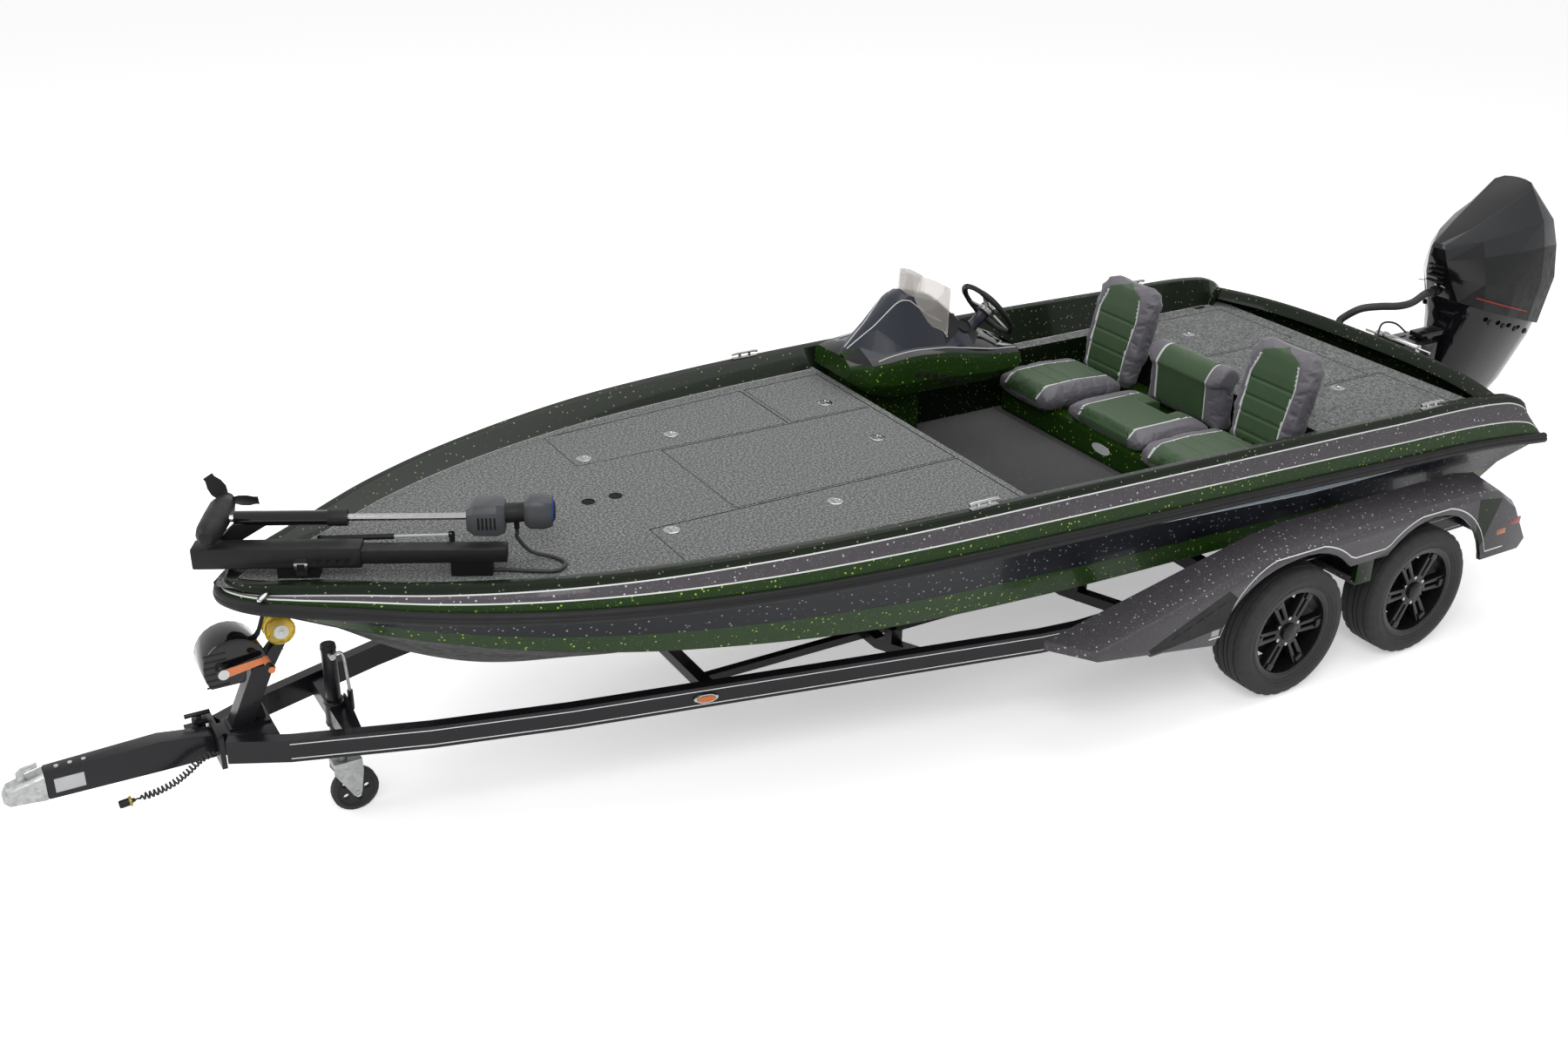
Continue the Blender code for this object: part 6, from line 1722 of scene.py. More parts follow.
def cords():
    """Rigging hose, trolling motor's cable and the curly trailer lead with its plug."""
    route = lead(*HOSE_START, 0.030) + [Vector(p) for p in HOSE_BENDS]
    route += list(reversed(lead(HOSE_END[0], -HOSE_END[1], 0.030)))
    declared_cord("rigging_hose", smooth_path(shifted(route), 6), 0.022, "cord", stiffness="stiff",
                  lay="hanging")
    place = troll_frame()
    neck = place @ Vector((1.190, 0.012, TROLL_SHAFT_RISE - 0.062 - GAP))
    foot = place @ Vector((1.100 + GAP, -0.095, 0.0))
    foot.z = CABLE_LIFT
    route = lead(neck, Vector((0, 0, -1)), 0.020) + [Vector(p) for p in CABLE_BENDS]
    route += list(reversed(lead(foot, place.to_3x3() @ Vector((1, 0, 0)), 0.025)))
    declared_cord("trolling_cable", smooth_path(shifted(route), 6), TROLL_CABLE_RADIUS, "cord",
                  stiffness="medium", lay="hanging")
    end, heading = COIL_END
    spine = lead(COIL_START, Vector((-1, 0, 0)), 0.020) + [Vector(p) for p in COIL_BENDS]
    spine += list(reversed(lead(end, -heading, 0.030)))
    spine = smooth_path(shifted(spine), 24)
    total = route_length(spine)
    turns, wire, run = 22, 0.0042, 0.0
    route, normal = [], None
    for i, p in enumerate(spine):
        along = (spine[min(i + 1, len(spine) - 1)] - spine[max(i - 1, 0)]).normalized()
        if i:
            run += (p - spine[i - 1]).length
        if normal is None:
            normal = along.orthogonal()
        else:
            normal = normal - along * normal.dot(along)
        normal.normalize()
        side = along.cross(normal)
        share = run / total
        swell = min(1.0, max(0.0, min(share, 1 - share) - 0.03) * 14)
        t = 2 * math.pi * turns * share
        route.append(p + (normal * math.cos(t) + side * math.sin(t)) * (0.0165 - wire) * swell)
    bm = bmesh.new()
    turn = axis_place(shifted([end])[0], heading)
    lathe(bm, [(0, 0.0), (0.0075, 0.0), (0.009, 0.010), (0.0150, 0.013), (0.0165, 0.020), (0.0165, 0.055),
               (0.0145, 0.062), (0.012, 0.0622), (0.012, 0.050), (0, 0.0495)], turn, 24)
    plug = piece("wiring_plug", recalculated(bm), "black", angle=30, slot="black_plastic")
    bm = bmesh.new()
    lathe(bm, [(0.0155, 0.012), (0.0205, 0.012), (0.0215, 0.017), (0.0205, 0.022), (0.0155, 0.022)], turn, 24)
    ring = piece("plug_ring", recalculated(bm), "roller", angle=30, slot="yellow_roller")
    declared_cord("wiring_coil", route, wire, "cord", stiffness="limp", lay="coiled", sides=8, far_end="plug",
                  with_pieces=[plug, ring])


def body_of_node(name):
    return body_of(NODES[name])[0]


def dress(name, mats, rule=None, round_by=0.0, angle=30.0, slot=None, mesh=None, segments=2, as_name=None,
          replaces=None):
    """Put a modelled form in its finish in place of the CAD node of its name."""
    mesh = mesh or FORMS[name]
    if round_by:
        mesh = rounded(mesh, round_by, segments)
    mesh.materials.clear()
    if rule:
        for face in mesh.polygons:
            face.material_index = rule(face.center, face.normal)
    else:
        for face in mesh.polygons:
            face.material_index = 0
    mesh.transform(Matrix.Translation((SHIFT, 0, 0)))
    return piece(as_name or name + "_form", mesh, *mats, body=body_of_node(name), angle=angle, slot=slot,
                 replaces=(name,) if replaces is None else replaces)


# Trailer and running gear
def running_gear():
    wheels()
    for end in ("front", "rear"):
        for side, side_name in ((-1, "port"), (1, "starboard")):
            x = -WHEEL_X if end == "front" else WHEEL_X
            centre = P(x, side * (TYRE_OUTER_Y - TYRE_WIDTH / 2), TYRE_RADIUS)
            place = axis_place(centre, (0, side, 0))
            body = body_of_node("tyre_%s_%s" % (end, side_name))
            tyre(place, "%s_%s" % (end, side_name), body)
            rim_details(place, "%s_%s" % (end, side_name), body)
            name = "rim_%s_%s" % (end, side_name)
            dress(name, ["rim"], round_by=0.004, angle=32, slot="rim_black")


def tyre(place, tag, body):
    """Radial trailer tyre with ribs, sipes across the shoulders and rings on the wall."""
    w, r = TYRE_WIDTH / 2, TYRE_RADIUS
    half = [(0.243, w * 0.78), (0.252, w * 0.86), (0.262, w * 0.90), (0.263, w * 0.925), (0.280, w * 0.97),
            (0.282, w * 0.985), (0.292, w * 0.985), (0.294, w * 0.975), (0.306, w * 0.965), (0.318, w * 0.93),
            (0.328, w * 0.87), (0.335, w * 0.80)]
    tread = [(r - 0.0015, w * 0.74), (r - 0.0005, w * 0.52), (r - 0.009, w * 0.50), (r - 0.009, w * 0.43),
             (r - 0.0002, w * 0.41), (r, w * 0.17), (r - 0.009, w * 0.155), (r - 0.009, w * 0.08),
             (r, w * 0.065)]
    profile = half + tread + [(a, -b) for a, b in reversed(half + tread)]
    bm = bmesh.new()
    steps = 96
    rings = []
    for k in range(steps):
        t = 2 * math.pi * k / steps
        cut_here = k % 3 == 0
        ring = []
        for i, (radius, z) in enumerate(profile):
            deep = 0.0045 if cut_here and 10 <= i <= len(profile) - 11 and abs(z) > w * 0.5 else 0.0
            ring.append(bm.verts.new(place @ Vector(((radius - deep) * math.cos(t),
                                                     (radius - deep) * math.sin(t), z))))
        rings.append(ring)
    for a, b in zip(rings, rings[1:] + rings[:1]):
        for i in range(len(profile) - 1):
            bm.faces.new((a[i], b[i], b[i + 1], a[i + 1]))
    piece("tyre_" + tag + "_tread", recalculated(bm), "tyre", body=body, angle=28, slot="tyre_rubber",
          replaces=("tyre_" + tag,))


def rim_details(place, tag, body):
    """Domed cap, lug nuts in their wells, a bright bead ring and the brake hub behind the spokes, the hub in
    the near-black finish of painted shade.
    """
    bm = bmesh.new()
    w = TYRE_WIDTH / 2 * 0.80
    lathe(bm, [(0.048, w * 0.80), (0.047, w * 0.95), (0.040, w * 1.02), (0.022, w * 1.06), (0, w * 1.07)],
          place, 32)
    for k in range(6):
        t = 2 * math.pi * (k + 0.5) / 6
        spot = place @ Matrix.Translation((0.070 * math.cos(t), 0.070 * math.sin(t), w * 0.55))
        lathe(bm, [(0.0125, 0), (0.0125, 0.010), (0.010, 0.020), (0, 0.0215)], spot, 6, mat=1)
    for k in range(6):
        t = 2 * math.pi * k / 6
        turn = place @ Matrix.Rotation(t, 4, "Z") @ Matrix.Translation((0.196, 0, w * 0.76))
        block(bm, (-0.018, -0.021, -0.012), (0.018, 0.021, 0.012), bevel=0.004, turn=turn)
    lathe(bm, [(0.2435, w * 0.985), (0.2455, w * 1.02), (0.240, w * 1.035), (0.222, w * 1.00),
               (0.214, w * 0.92)],
          place, 60)
    # brake hub: a real part, coloured near-black as painted shade behind the spokes
    lathe(bm, [(0.155, -0.030), (0.155, 0.004), (0.148, 0.010), (0.060, 0.012), (0.060, 0.020), (0, 0.020)],
          place, 40, mat=2)
    piece("rim_" + tag + "_trim", recalculated(bm), "rim", "steel", "dark", body=body, angle=35,
          slot="rim_black")


def fender_dressing():
    fenders()
    for side, side_name in ((-1, "port"), (1, "starboard")):
        def rule(c, n):
            if c.z < 0.655 and abs(c.y) > 1.25 and -0.9 < c.x < 0.9:
                return 1
            if abs(c.y) < 1.262 and c.z < 0.56 and -1.4 < c.x < 1.13 and abs(n.z) > 0.5:
                return 2
            return 0
        dress("fender_" + side_name, ["charcoal", "deep_green", "frame"], rule, round_by=0.005, angle=30,
              segments=2, slot="cap_flake")
        y = side * (FENDER_OUTER_Y + 0.0002)
        bm = bmesh.new()
        # pinstripe and green skirt, which follow the arches
        line = []
        front, rear = -WHEEL_X, WHEEL_X
        top = 0.672
        for k in range(61):
            x = -1.02 + k * (2.04 / 60)
            arch = []
            for centre, flare in ((front, ARCH_FLARE), (rear, 0.0)):
                dx = x - centre
                radius = ARCH_RADIUS + 0.030 + (flare * max(0.0, -dx / math.hypot(dx, 0.25)) ** 2 * 0.7)
                if abs(dx) < radius:
                    arch.append(TYRE_RADIUS + math.sqrt(radius ** 2 - dx ** 2))
            line.append((x, max([top if abs(x) < 0.44 else 0.47] + arch)))
        rows = [[P(x, y, z), P(x, y, z + 0.007)] for x, z in line if z < 0.79]
        grid(bm, rows)
        piece("fender_line_" + side_name, recalculated(bm), "stripe", angle=0, slot="cap_flake")
        # stepped tread recess with its steps as thin strips of painted shade, and the low lamp
        bm = bmesh.new()
        shape = [(-1.39, 0.520), (-0.930, 0.705), (-0.868, 0.655), (-0.935, 0.520), (-1.37, 0.490)]
        place = Matrix(((1, 0, 0, SHIFT), (0, 0, side, 0), (0, 1, 0, 0), (0, 0, 0, 1)))
        plate(bm, shape, FENDER_OUTER_Y - 0.006, FENDER_OUTER_Y + 0.0003, mat=0, turn=place)
        for k in range(5):
            x0 = -1.255 + 0.066 * k
            z0 = 0.548 + 0.0235 * k
            plate(bm, [(x0, z0 - 0.014), (x0 + 0.05, z0 + 0.004), (x0 + 0.05, z0 + 0.010), (x0, z0 - 0.008)],
                  FENDER_OUTER_Y, FENDER_OUTER_Y + 0.0006, mat=1, turn=place)
        piece("fender_tread_" + side_name, recalculated(bm), "black", "dark", angle=30, slot="black_plastic")
        bm = bmesh.new()
        turn = Matrix.Translation((SHIFT, side * FENDER_OUTER_Y, 0)) @ Matrix.Scale(side, 4, (0, 1, 0))
        for x, z, mat, wide in ((1.085, 0.600, 0, 0.085), (-0.985, 0.500, 2, 0.055),
                                (0.985, 0.565, 1, 0.075)):
            low, high = (x - wide / 2, -0.010, z - 0.020), (x + wide / 2, 0.0004, z + 0.020)
            block(bm, low, high, mat=mat, bevel=0.006, turn=turn)
        piece("fender_lamps_" + side_name, recalculated(bm), "red_lens", "amber", "clear_lens", angle=35,
              slot="smoke_clear")


def tongue_dressing():
    tongue()
    dress("swing_tongue", ["frame"], angle=30, slot="frame_paint")
    dress("coupler", ["zinc"], round_by=0.003, angle=30, slot="zinc")
    dress("tongue_hinge", ["frame"], round_by=0.002, angle=30, slot="frame_paint")
    # bare plate, safety lever, pinstripes on the rails
    bm = bmesh.new()
    block(bm, (-5.800, -0.0425, 0.487), (-5.690, -0.0400, 0.548), bevel=0.002,
          turn=Matrix.Translation((SHIFT, 0, 0)))
    tube(bm, [P(-5.905, 0.0, 0.602), P(-5.880, 0.0, 0.606), P(-5.846, 0.0, 0.606)], 0.007, 8)
    for x in (-5.800, -5.750, -5.700):
        lathe(bm, [(0.009, 0), (0.009, 0.006), (0, 0.007)], Matrix.Translation(P(x + 0.02, 0, 0.577)), 6)
    piece("coupler_trim", recalculated(bm), "silver", body=body_of_node("coupler"), angle=35, slot="zinc")
    for side, side_name in ((-1, "port"), (1, "starboard")):
        path = [Vector(p) for p in side_rail_path(side)]
        bm = bmesh.new()
        for z0, z1 in ((0.470, 0.474), (0.537, 0.541)):
            rows = []
            for i, p in enumerate(path):
                before, after = path[max(i - 1, 0)], path[min(i + 1, len(path) - 1)]
                along = (after - before).normalized()
                out = Vector((along.y, -along.x, 0)) if side < 0 else Vector((-along.y, along.x, 0))
                d1 = (p - before).normalized() if i else along
                d2 = (after - p).normalized() if i < len(path) - 1 else along
                mitre = 1.0 / max(0.5, math.sqrt((1 + d1.dot(d2)) / 2))
                q = p + out * ((RAIL_WIDTH / 2) * mitre + 0.0006)
                rows.append([P(q.x, q.y, z0), P(q.x, q.y, z1)])
            grid(bm, rows[1:])
        piece("rail_lines_" + side_name, recalculated(bm), "stripe", angle=0, slot="cap_flake")
    # side marker
    bm = bmesh.new()
    spot = Vector((-3.30, -0.640, 0.506))
    along = Vector((-1.750 + 3.858, -0.960 + 0.515, 0)).normalized()
    out = Vector((along.y, -along.x, 0))
    turn = Matrix.Translation(P(*spot)) @ Matrix((along, Vector((0, 0, 1)), out)).transposed().to_4x4()
    oval_points = [(0.055 * math.cos(t), 0.021 * math.sin(t))
                   for t in (2 * math.pi * k / 24 for k in range(24))]
    plate(bm, oval_points, 0.020, 0.032, mat=0, bevel=0.003, turn=turn)
    plate(bm, [(a * 0.78, b * 0.68) for a, b in oval_points], 0.030, 0.036, mat=1, bevel=0.002, turn=turn)
    piece("rail_marker", recalculated(bm), "chrome", "amber", angle=35, slot="zinc")


def winch_dressing():
    winch_stand()
    dress("winch_post", ["frame"], round_by=0.003, slot="frame_paint")

    def rule(c, n):
        if c.y < -0.116 and c.x > WINCH_X + 0.05:
            return 2
        return 1 if c.y < -0.0865 else 0
    dress("winch_cover", ["gloss", "steel", "orange"], rule, angle=32, slot="black_plastic")

    def hub_rule(c, n):
        return 1 if math.hypot(c.x - ROLLER_X, c.z - ROLLER_Z) < 0.031 else 0
    dress("bow_rollers", ["roller", "hub"], hub_rule,
          round_by=0.003, angle=30, slot="yellow_roller")
    bm = bmesh.new()
    grip_x = WINCH_X - 0.055 + 0.165
    lathe(bm, [(0.0, 0), (0.0150, 0.0), (0.0175, 0.006), (0.0175, 0.030), (0.014, 0.040), (0, 0.0405)],
          axis_place(P(grip_x, -0.172, WINCH_Z + 0.022), (0, -1, 0)), 20)
    for k in range(6):
        z = 0.80 + 0.028 * k
        block(bm, (WINCH_X - 0.118, -0.0868, z - 0.004), (WINCH_X - 0.030, -0.0848, z + 0.004), bevel=0.001,
              turn=Matrix.Translation((SHIFT, 0, 0)))
    # strap from the drum to the bow eye, and its hook
    rows = []
    for x, z in ((-5.010, 0.905), (-4.985, 0.925), (-4.965, 0.950), (-4.952, 0.985), (-4.940, 1.020)):
        rows.append([P(x, -0.024, z), P(x, 0.024, z)])
    grid(bm, rows, [1])
    tube(bm, [P(-4.940, 0, 1.015), P(-4.930, 0, 1.035), P(-4.910, 0, 1.040), P(-4.900, 0, 1.022)], 0.006, 8,
         mat=2)
    piece("winch_trim", recalculated(bm), "black", "strap", "zinc", angle=35, slot="black_plastic")


def jack_dressing():
    jack()

    def rule(c, n):
        if c.y < -0.034 and c.z > 0.625 and c.x > JACK_X - 0.03:
            return 1
        return 0
    dress("jack_tube", ["frame", "zinc"], rule, angle=32, slot="frame_paint")
    dress("jack_leg", ["zinc"], round_by=0.002, slot="zinc")
    dress("caster_fork", ["zinc"], round_by=0.002, slot="zinc")
    dress("caster_wheel", ["tyre"], round_by=0.002, slot="tyre_rubber")
    bm = bmesh.new()
    lathe(bm, [(0.0, 0.822), (0.024, 0.822), (0.032, 0.815), (0.0330, 0.800), (0.0315, 0.795)],
          Matrix.Translation(P(JACK_X, 0, 0)), 28)
    for z in (0.452, 0.548):
        lathe(bm, [(0.041, z - 0.004), (0.0435, z), (0.041, z + 0.004)], Matrix.Translation(P(JACK_X, 0, 0)),
              28)
    piece("jack_trim", recalculated(bm), "black", angle=35, slot="black_plastic")


# Outboard and trolling motor
def outboard_dressing():
    outboard()
    fit = 0.979                       # keeps the cowl's tail within the CAD box

    def within(mesh):
        for v in mesh.vertices:
            if v.co.x > 1.80:
                v.co.x = 1.80 + (v.co.x - 1.80) * fit
        return mesh

    def cowl_rule(c, n):
        y, z, x = abs(c.y), c.z, c.x
        if c.x < 1.90 and n.x < -0.55 and z < 1.66:
            return 0
        if n.z > 0.35 and y < 0.5 * (0.09 + 0.16 * (x - 1.757)) + 0.03 and z > 1.66:
            return 0                   # the gloss crown panel
        if z > 1.60 and n.z > 0.10:
            return 1
        return 2
    cowl = rounded(within(FORMS["motor_cowl"]), 0.010, 3, 12.0)
    dress("motor_cowl", ["gloss", "cowl_grey", "cowl_dark"], cowl_rule, angle=26, slot="motor_grey",
          mesh=cowl)

    def leg_rule(c, n):
        if c.z < 0.56 and c.z > 0.52 and c.x > 1.9 and abs(n.z) > 0.5:
            return 1
        return 0
    dress("motor_leg", ["gloss", "cowl"], leg_rule, round_by=0.004, angle=32, slot="motor_grey",
          mesh=within(FORMS["motor_leg"]))

    def ram_rule(c, n):
        return 1 if math.hypot(c.x - 1.556, c.z - (MOTOR_TILT_Z + 0.050)) < 0.030 else 0
    dress("transom_bracket", ["black", "steel"], ram_rule, round_by=0.003, slot="black_plastic")
    dress("swivel_bracket", ["gloss"], round_by=0.006, slot="black_plastic")
    dress("propeller", ["steel"], round_by=0.0015, segments=1, angle=40, slot="zinc")
    body = body_of_node("motor_cowl")
    # seam line, front air panel, handle and the knobs along the pan
    bm = bmesh.new()
    for side in (-1, 1):
        outline = [(1.905, 0.203), (1.96, 0.226), (2.05, 0.252), (2.16, 0.266), (2.30, 0.272)]
        ring = [P(1.80 + (x - 1.80) * fit, side * (y + 0.003), seam_z(x) + 0.055) for x, y in outline]
        upper = [P(p.x - SHIFT, p.y, p.z + 0.005) for p in ring]
        grid(bm, [[a, b] for a, b in zip(ring, upper)], [0])
    piece("cowl_line", recalculated(bm), "red", body=body, angle=0, slot="motor_grey")
    bm = bmesh.new()
    for k in range(5):
        x = 1.93 + 0.11 * k
        y = -float(np.interp(x, (1.87, 2.05, 2.24, 2.42), (0.10, 0.224, 0.238, 0.225))) - 0.004
        lathe(bm, [(0.017, 0), (0.017, 0.010), (0.012, 0.014), (0, 0.0145)],
              axis_place(P(1.80 + (x - 1.80) * fit, y, seam_z(x) - 0.060), (0, -1, -0.15)), 6)
        lathe(bm, [(0.017, 0), (0.017, 0.010), (0.012, 0.014), (0, 0.0145)],
              axis_place(P(1.80 + (x - 1.80) * fit, -y, seam_z(x) - 0.060), (0, 1, -0.15)), 6)
    handle = [P(1.872 - 0.060 * math.sin(t), -0.060 + 0.12 * (t / math.pi), 1.372 + 0.022 * math.sin(t))
              for t in np.linspace(0, math.pi, 15)]
    tube(bm, handle, 0.006, 8, mat=1)
    # front air panel: its slots are near-black bars of painted shade
    for k in range(4):
        z = 1.42 + 0.030 * k
        block(bm, (1.768, -0.050, z), (1.792, 0.050, z + 0.010), mat=2, bevel=0.002,
              turn=Matrix.Translation((SHIFT, 0, 0)))
    piece("cowl_trim", recalculated(bm), "black", "chrome", "dark", body=body, angle=35, slot="black_plastic")
    # cables and steel bolt heads round the jack plate
    bm = bmesh.new()
    tube(bm, smooth_path([P(1.50, 0.10, 1.09), P(1.56, 0.13, 1.16), P(1.66, 0.12, 1.15),
                          P(1.71, 0.07, 1.10)], 6), 0.006, 8)
    tube(bm, smooth_path([P(1.42, -0.10, 1.05), P(1.45, -0.14, 1.12), P(1.52, -0.15, 1.10)], 6), 0.006, 8)
    for y in (-0.165, 0.165):
        for z in (0.72, 0.82, 0.98):
            lathe(bm, [(0.013, 0), (0.013, 0.008), (0, 0.009)], axis_place(P(1.43, y, z), (0, y, 0)), 6,
                  mat=1)
    piece("bracket_trim", recalculated(bm), "cord", "steel", angle=35, slot="black_plastic")


def trolling_dressing():
    trolling_motor()
    inverse = troll_frame().inverted()

    def local(c):
        return inverse @ Vector(c)
    dress("trolling_base", ["black"], round_by=0.002, slot="black_plastic")
    dress("trolling_arm", ["black", "gloss"], lambda c, n: 1 if 0.1 < local(c).x < 0.46 else 0,
          round_by=0.002, slot="black_plastic")

    def motor_rule(c, n):
        p = local(c)
        if 0.99 < p.x < 1.152 or p.x > 1.222:
            return 1
        if p.x > 1.13:
            return 0
        if p.x < 0.10:
            return 0
        return 2
    dress("trolling_motor", ["black", "troll_grey", "steel"], motor_rule, round_by=0.004, angle=32,
          slot="black_plastic")
    dress("trolling_propeller", ["black"], round_by=0.001, segments=1, angle=40, slot="black_plastic")
    place = Matrix.Translation((SHIFT, 0, 0)) @ troll_frame()
    rise = TROLL_SHAFT_RISE
    bm = bmesh.new()
    face = place @ Matrix.Translation((1.335, 0.012, rise + 0.014)) @ Matrix.Rotation(math.pi / 2, 4, "Y")
    lathe(bm, [(0.044, -0.004), (0.046, 0.003), (0.040, 0.004)], face, 32, mat=0)
    lathe(bm, [(0.040, 0.0005), (0.040, 0.006), (0.034, 0.009), (0, 0.010)], face, 32, mat=1)
    # slits on the side of the head block, as near-black strips of painted shade
    for k in range(5):
        block(bm, (1.045 + 0.016 * k, -0.0665, rise - 0.030), (1.052 + 0.016 * k, -0.060, rise + 0.020),
              mat=2, bevel=0.001, turn=place)
    piece("trolling_head_trim", recalculated(bm), "blue", "black", "dark",
          body=body_of_node("trolling_motor"),
          angle=35, slot="black_plastic")
    bm = bmesh.new()
    # hold-down strap over the motor with its buckle, and the pads on the base
    x0 = 0.345
    rows = [[place @ Vector((x0, y, z)), place @ Vector((x0 + 0.045, y, z))]
            for y, z in ((-0.1425, -0.070), (-0.1435, 0.0), (-0.141, 0.0065), (-0.095, 0.0085),
                         (-0.046, 0.0065), (-0.044, -0.01), (-0.043, -0.030))]
    grid(bm, rows, [0])
    block(bm, (x0 - 0.004, -0.150, -0.040), (x0 + 0.049, -0.142, -0.010), mat=1, bevel=0.002, turn=place)
    # the buckle's opening, as a near-black block of painted shade
    block(bm, (x0 + 0.008, -0.154, -0.036), (x0 + 0.037, -0.149, -0.014), mat=2, bevel=0.002, turn=place)
    for k in range(9):
        x = 0.02 + 0.062 * k
        if 0.33 < x < 0.40:
            continue
        lathe(bm, [(0.006, 0.0), (0.006, 0.003), (0, 0.004)],
              place @ Matrix.Translation((x, -0.095, 0.0045)), 8, mat=1)
    piece("trolling_base_trim", recalculated(bm), "strap", "steel", "dark", angle=35, slot="black_plastic")
    # gas strut beside the shaft
    bm = bmesh.new()
    start, end = P(-4.690, -0.045, 1.318), P(-4.235, -0.278, 1.330)
    middle = start.lerp(end, 0.56)
    tube(bm, [start, middle], 0.0115, 14, mat=0)
    tube(bm, [middle, end], 0.0060, 10, mat=1)
    for spot in (start, end):
        lathe(bm, [(0.012, -0.010), (0.014, 0.0), (0.012, 0.010)], axis_place(spot, (0, 0, 1)), 14, mat=0)
        block(bm, spot - Vector((0.010, 0.010, 0.055)), spot + Vector((0.010, 0.010, -0.006)), mat=0,
              bevel=0.003)
    piece("trolling_strut", recalculated(bm), "black", "silver", angle=35, slot="black_plastic")


# Cockpit
def console_dressing():
    console()
    windshield()
    steering_wheel()

    def rule(c, n):
        if c.z > 1.395 and abs(c.y - HELM_Y) < HUMP_HALF_WIDTH + 0.02:
            return 1 if n.x < 0.30 else 3
        if n.z > 0.5 or (c.z > 1.34 and c.x > -1.15):
            return 2
        return 0
    dress("console", ["green", "panel", "gloss", "black"], rule, round_by=0.006, angle=30, slot="green_flake")
    dress("windshield", ["smoke"], angle=60, slot="smoke_clear")

    def wheel_rule(c, n):
        q = helm_frame().inverted() @ Vector(c)
        return 0 if math.hypot(q.x, q.y) > HELM_WHEEL_RADIUS - 0.02 else 1
    dress("steering_wheel", ["black", "steel"], wheel_rule, round_by=0.0, angle=40, slot="black_plastic")
    # silver V lines over the cowl, louvres low on its side, instruments facing the driver
    tree = surface_tree("console_form")
    bm = bmesh.new()
    for side in (-1, 1):
        line = []
        for t in np.linspace(0, 1, 24):
            x = -1.80 + 0.50 * t
            y = HELM_Y + side * (0.012 + 0.105 * t)
            hit = tree.ray_cast(P(x, y, 2.2), Vector((0, 0, -1)))
            if hit[0]:
                line.append(hit[0] + Vector((0, 0, 0.001)))
        tube(bm, line, 0.0035, 6, mat=0)
        line = []
        for t in np.linspace(0, 1, 20):
            hit = tree.ray_cast(P(-1.72 + 0.86 * t, HELM_Y + side * 0.185, 2.2), Vector((0, 0, -1)))
            if hit[0]:
                line.append(hit[0] + Vector((0, 0, 0.0005)))
        tube(bm, line, 0.004, 6, mat=0)
    # louvres: near-black blocks that paint the shade in their slots
    for k in range(6):
        x = -1.50 + 0.052 * k
        hit = tree.ray_cast(P(x, 0.0, 1.275 - 0.012 * k), Vector((0, 1, 0)))
        if hit[0]:
            c = hit[0]
            block(bm, c - Vector((0.019, 0.0008, 0.020)), c + Vector((0.019, 0.006, 0.020)), mat=1,
                  bevel=0.002)
    for dy, r in ((-0.075, 0.042), (0.075, 0.042), (0.0, 0.028)):
        hit = tree.ray_cast(P(-0.60, HELM_Y + dy, 1.50), Vector((-1, 0, -0.12)))
        if hit[0]:
            n = hit[1] if hit[1].x > 0 else -hit[1]
            lathe(bm, [(r, -0.004), (r, 0.006), (r * 0.86, 0.008), (r * 0.84, 0.002), (0, 0.002)],
                  axis_place(hit[0], n), 28, mat=2)
    piece("console_trim", recalculated(bm), "silver", "dark", "black", angle=40, slot="black_plastic")
    # hub and grips of the wheel
    place = Matrix.Translation((SHIFT, 0, 0)) @ helm_frame()
    bm = bmesh.new()
    lathe(bm, [(0.046, -0.006), (0.044, 0.012), (0.034, 0.019), (0, 0.021)], place, 32)
    for k in range(4):
        t0 = math.pi / 4 + k * math.pi / 2
        arc_pts = [place @ Vector((HELM_WHEEL_RADIUS * math.cos(t), HELM_WHEEL_RADIUS * math.sin(t), 0))
                   for t in np.linspace(t0 - 0.42, t0 + 0.42, 12)]
        tube(bm, arc_pts, [0.0148 + 0.0022 * math.sin(math.pi * i / 11) for i in range(12)], 12)
    piece("wheel_trim", recalculated(bm), "black", body=body_of_node("steering_wheel"), angle=40,
          slot="black_plastic")


def surface_tree(name):
    """A tree of a finished piece's surface, to lay trim on it."""
    obj = bpy.data.objects[name]
    return BVHTree.FromPolygons([v.co[:] for v in obj.data.vertices],
                                [p.vertices[:] for p in obj.data.polygons])


def puffed(mesh, name, voxel, limit, frames=20):
    """Swell a closed form like a filled cushion, by a short cloth run, then smooth it."""
    work = new_object(name + "_work", mesh)
    remesh = work.modifiers.new("remesh", "REMESH")
    remesh.mode = "VOXEL"
    remesh.voxel_size = voxel
    mesh = baked(work, name)
    start = [v.co.copy() for v in mesh.vertices]
    work = new_object(name + "_cloth", mesh)
    cloth = work.modifiers.new("cloth", "CLOTH")
    cloth.settings.use_pressure = True
    cloth.settings.uniform_pressure_force = 4.0
    cloth.settings.effector_weights.gravity = 0.0
    cloth.settings.quality = 4
    cloth.point_cache.frame_start = 1
    cloth.point_cache.frame_end = frames
    scene = bpy.context.scene
    for frame_number in range(1, frames + 1):
        scene.frame_set(frame_number)
    result = baked(work, name)
    scene.frame_set(1)
    for v, old in zip(result.vertices, start):
        move = v.co - old
        if move.length > limit:
            v.co = old + move * (limit / move.length)
    return result


def shrunk(mesh, by):
    """The form a little smaller all round, so that it swells back to its size."""
    low = Vector(np.min([v.co for v in mesh.vertices], axis=0))
    high = Vector(np.max([v.co for v in mesh.vertices], axis=0))
    centre, half = (low + high) / 2, (high - low) / 2
    for v in mesh.vertices:
        v.co = centre + Vector([(a - c) * max(0.2, (h - by) / h) for a, c, h in zip(v.co, centre, half)])
    return mesh


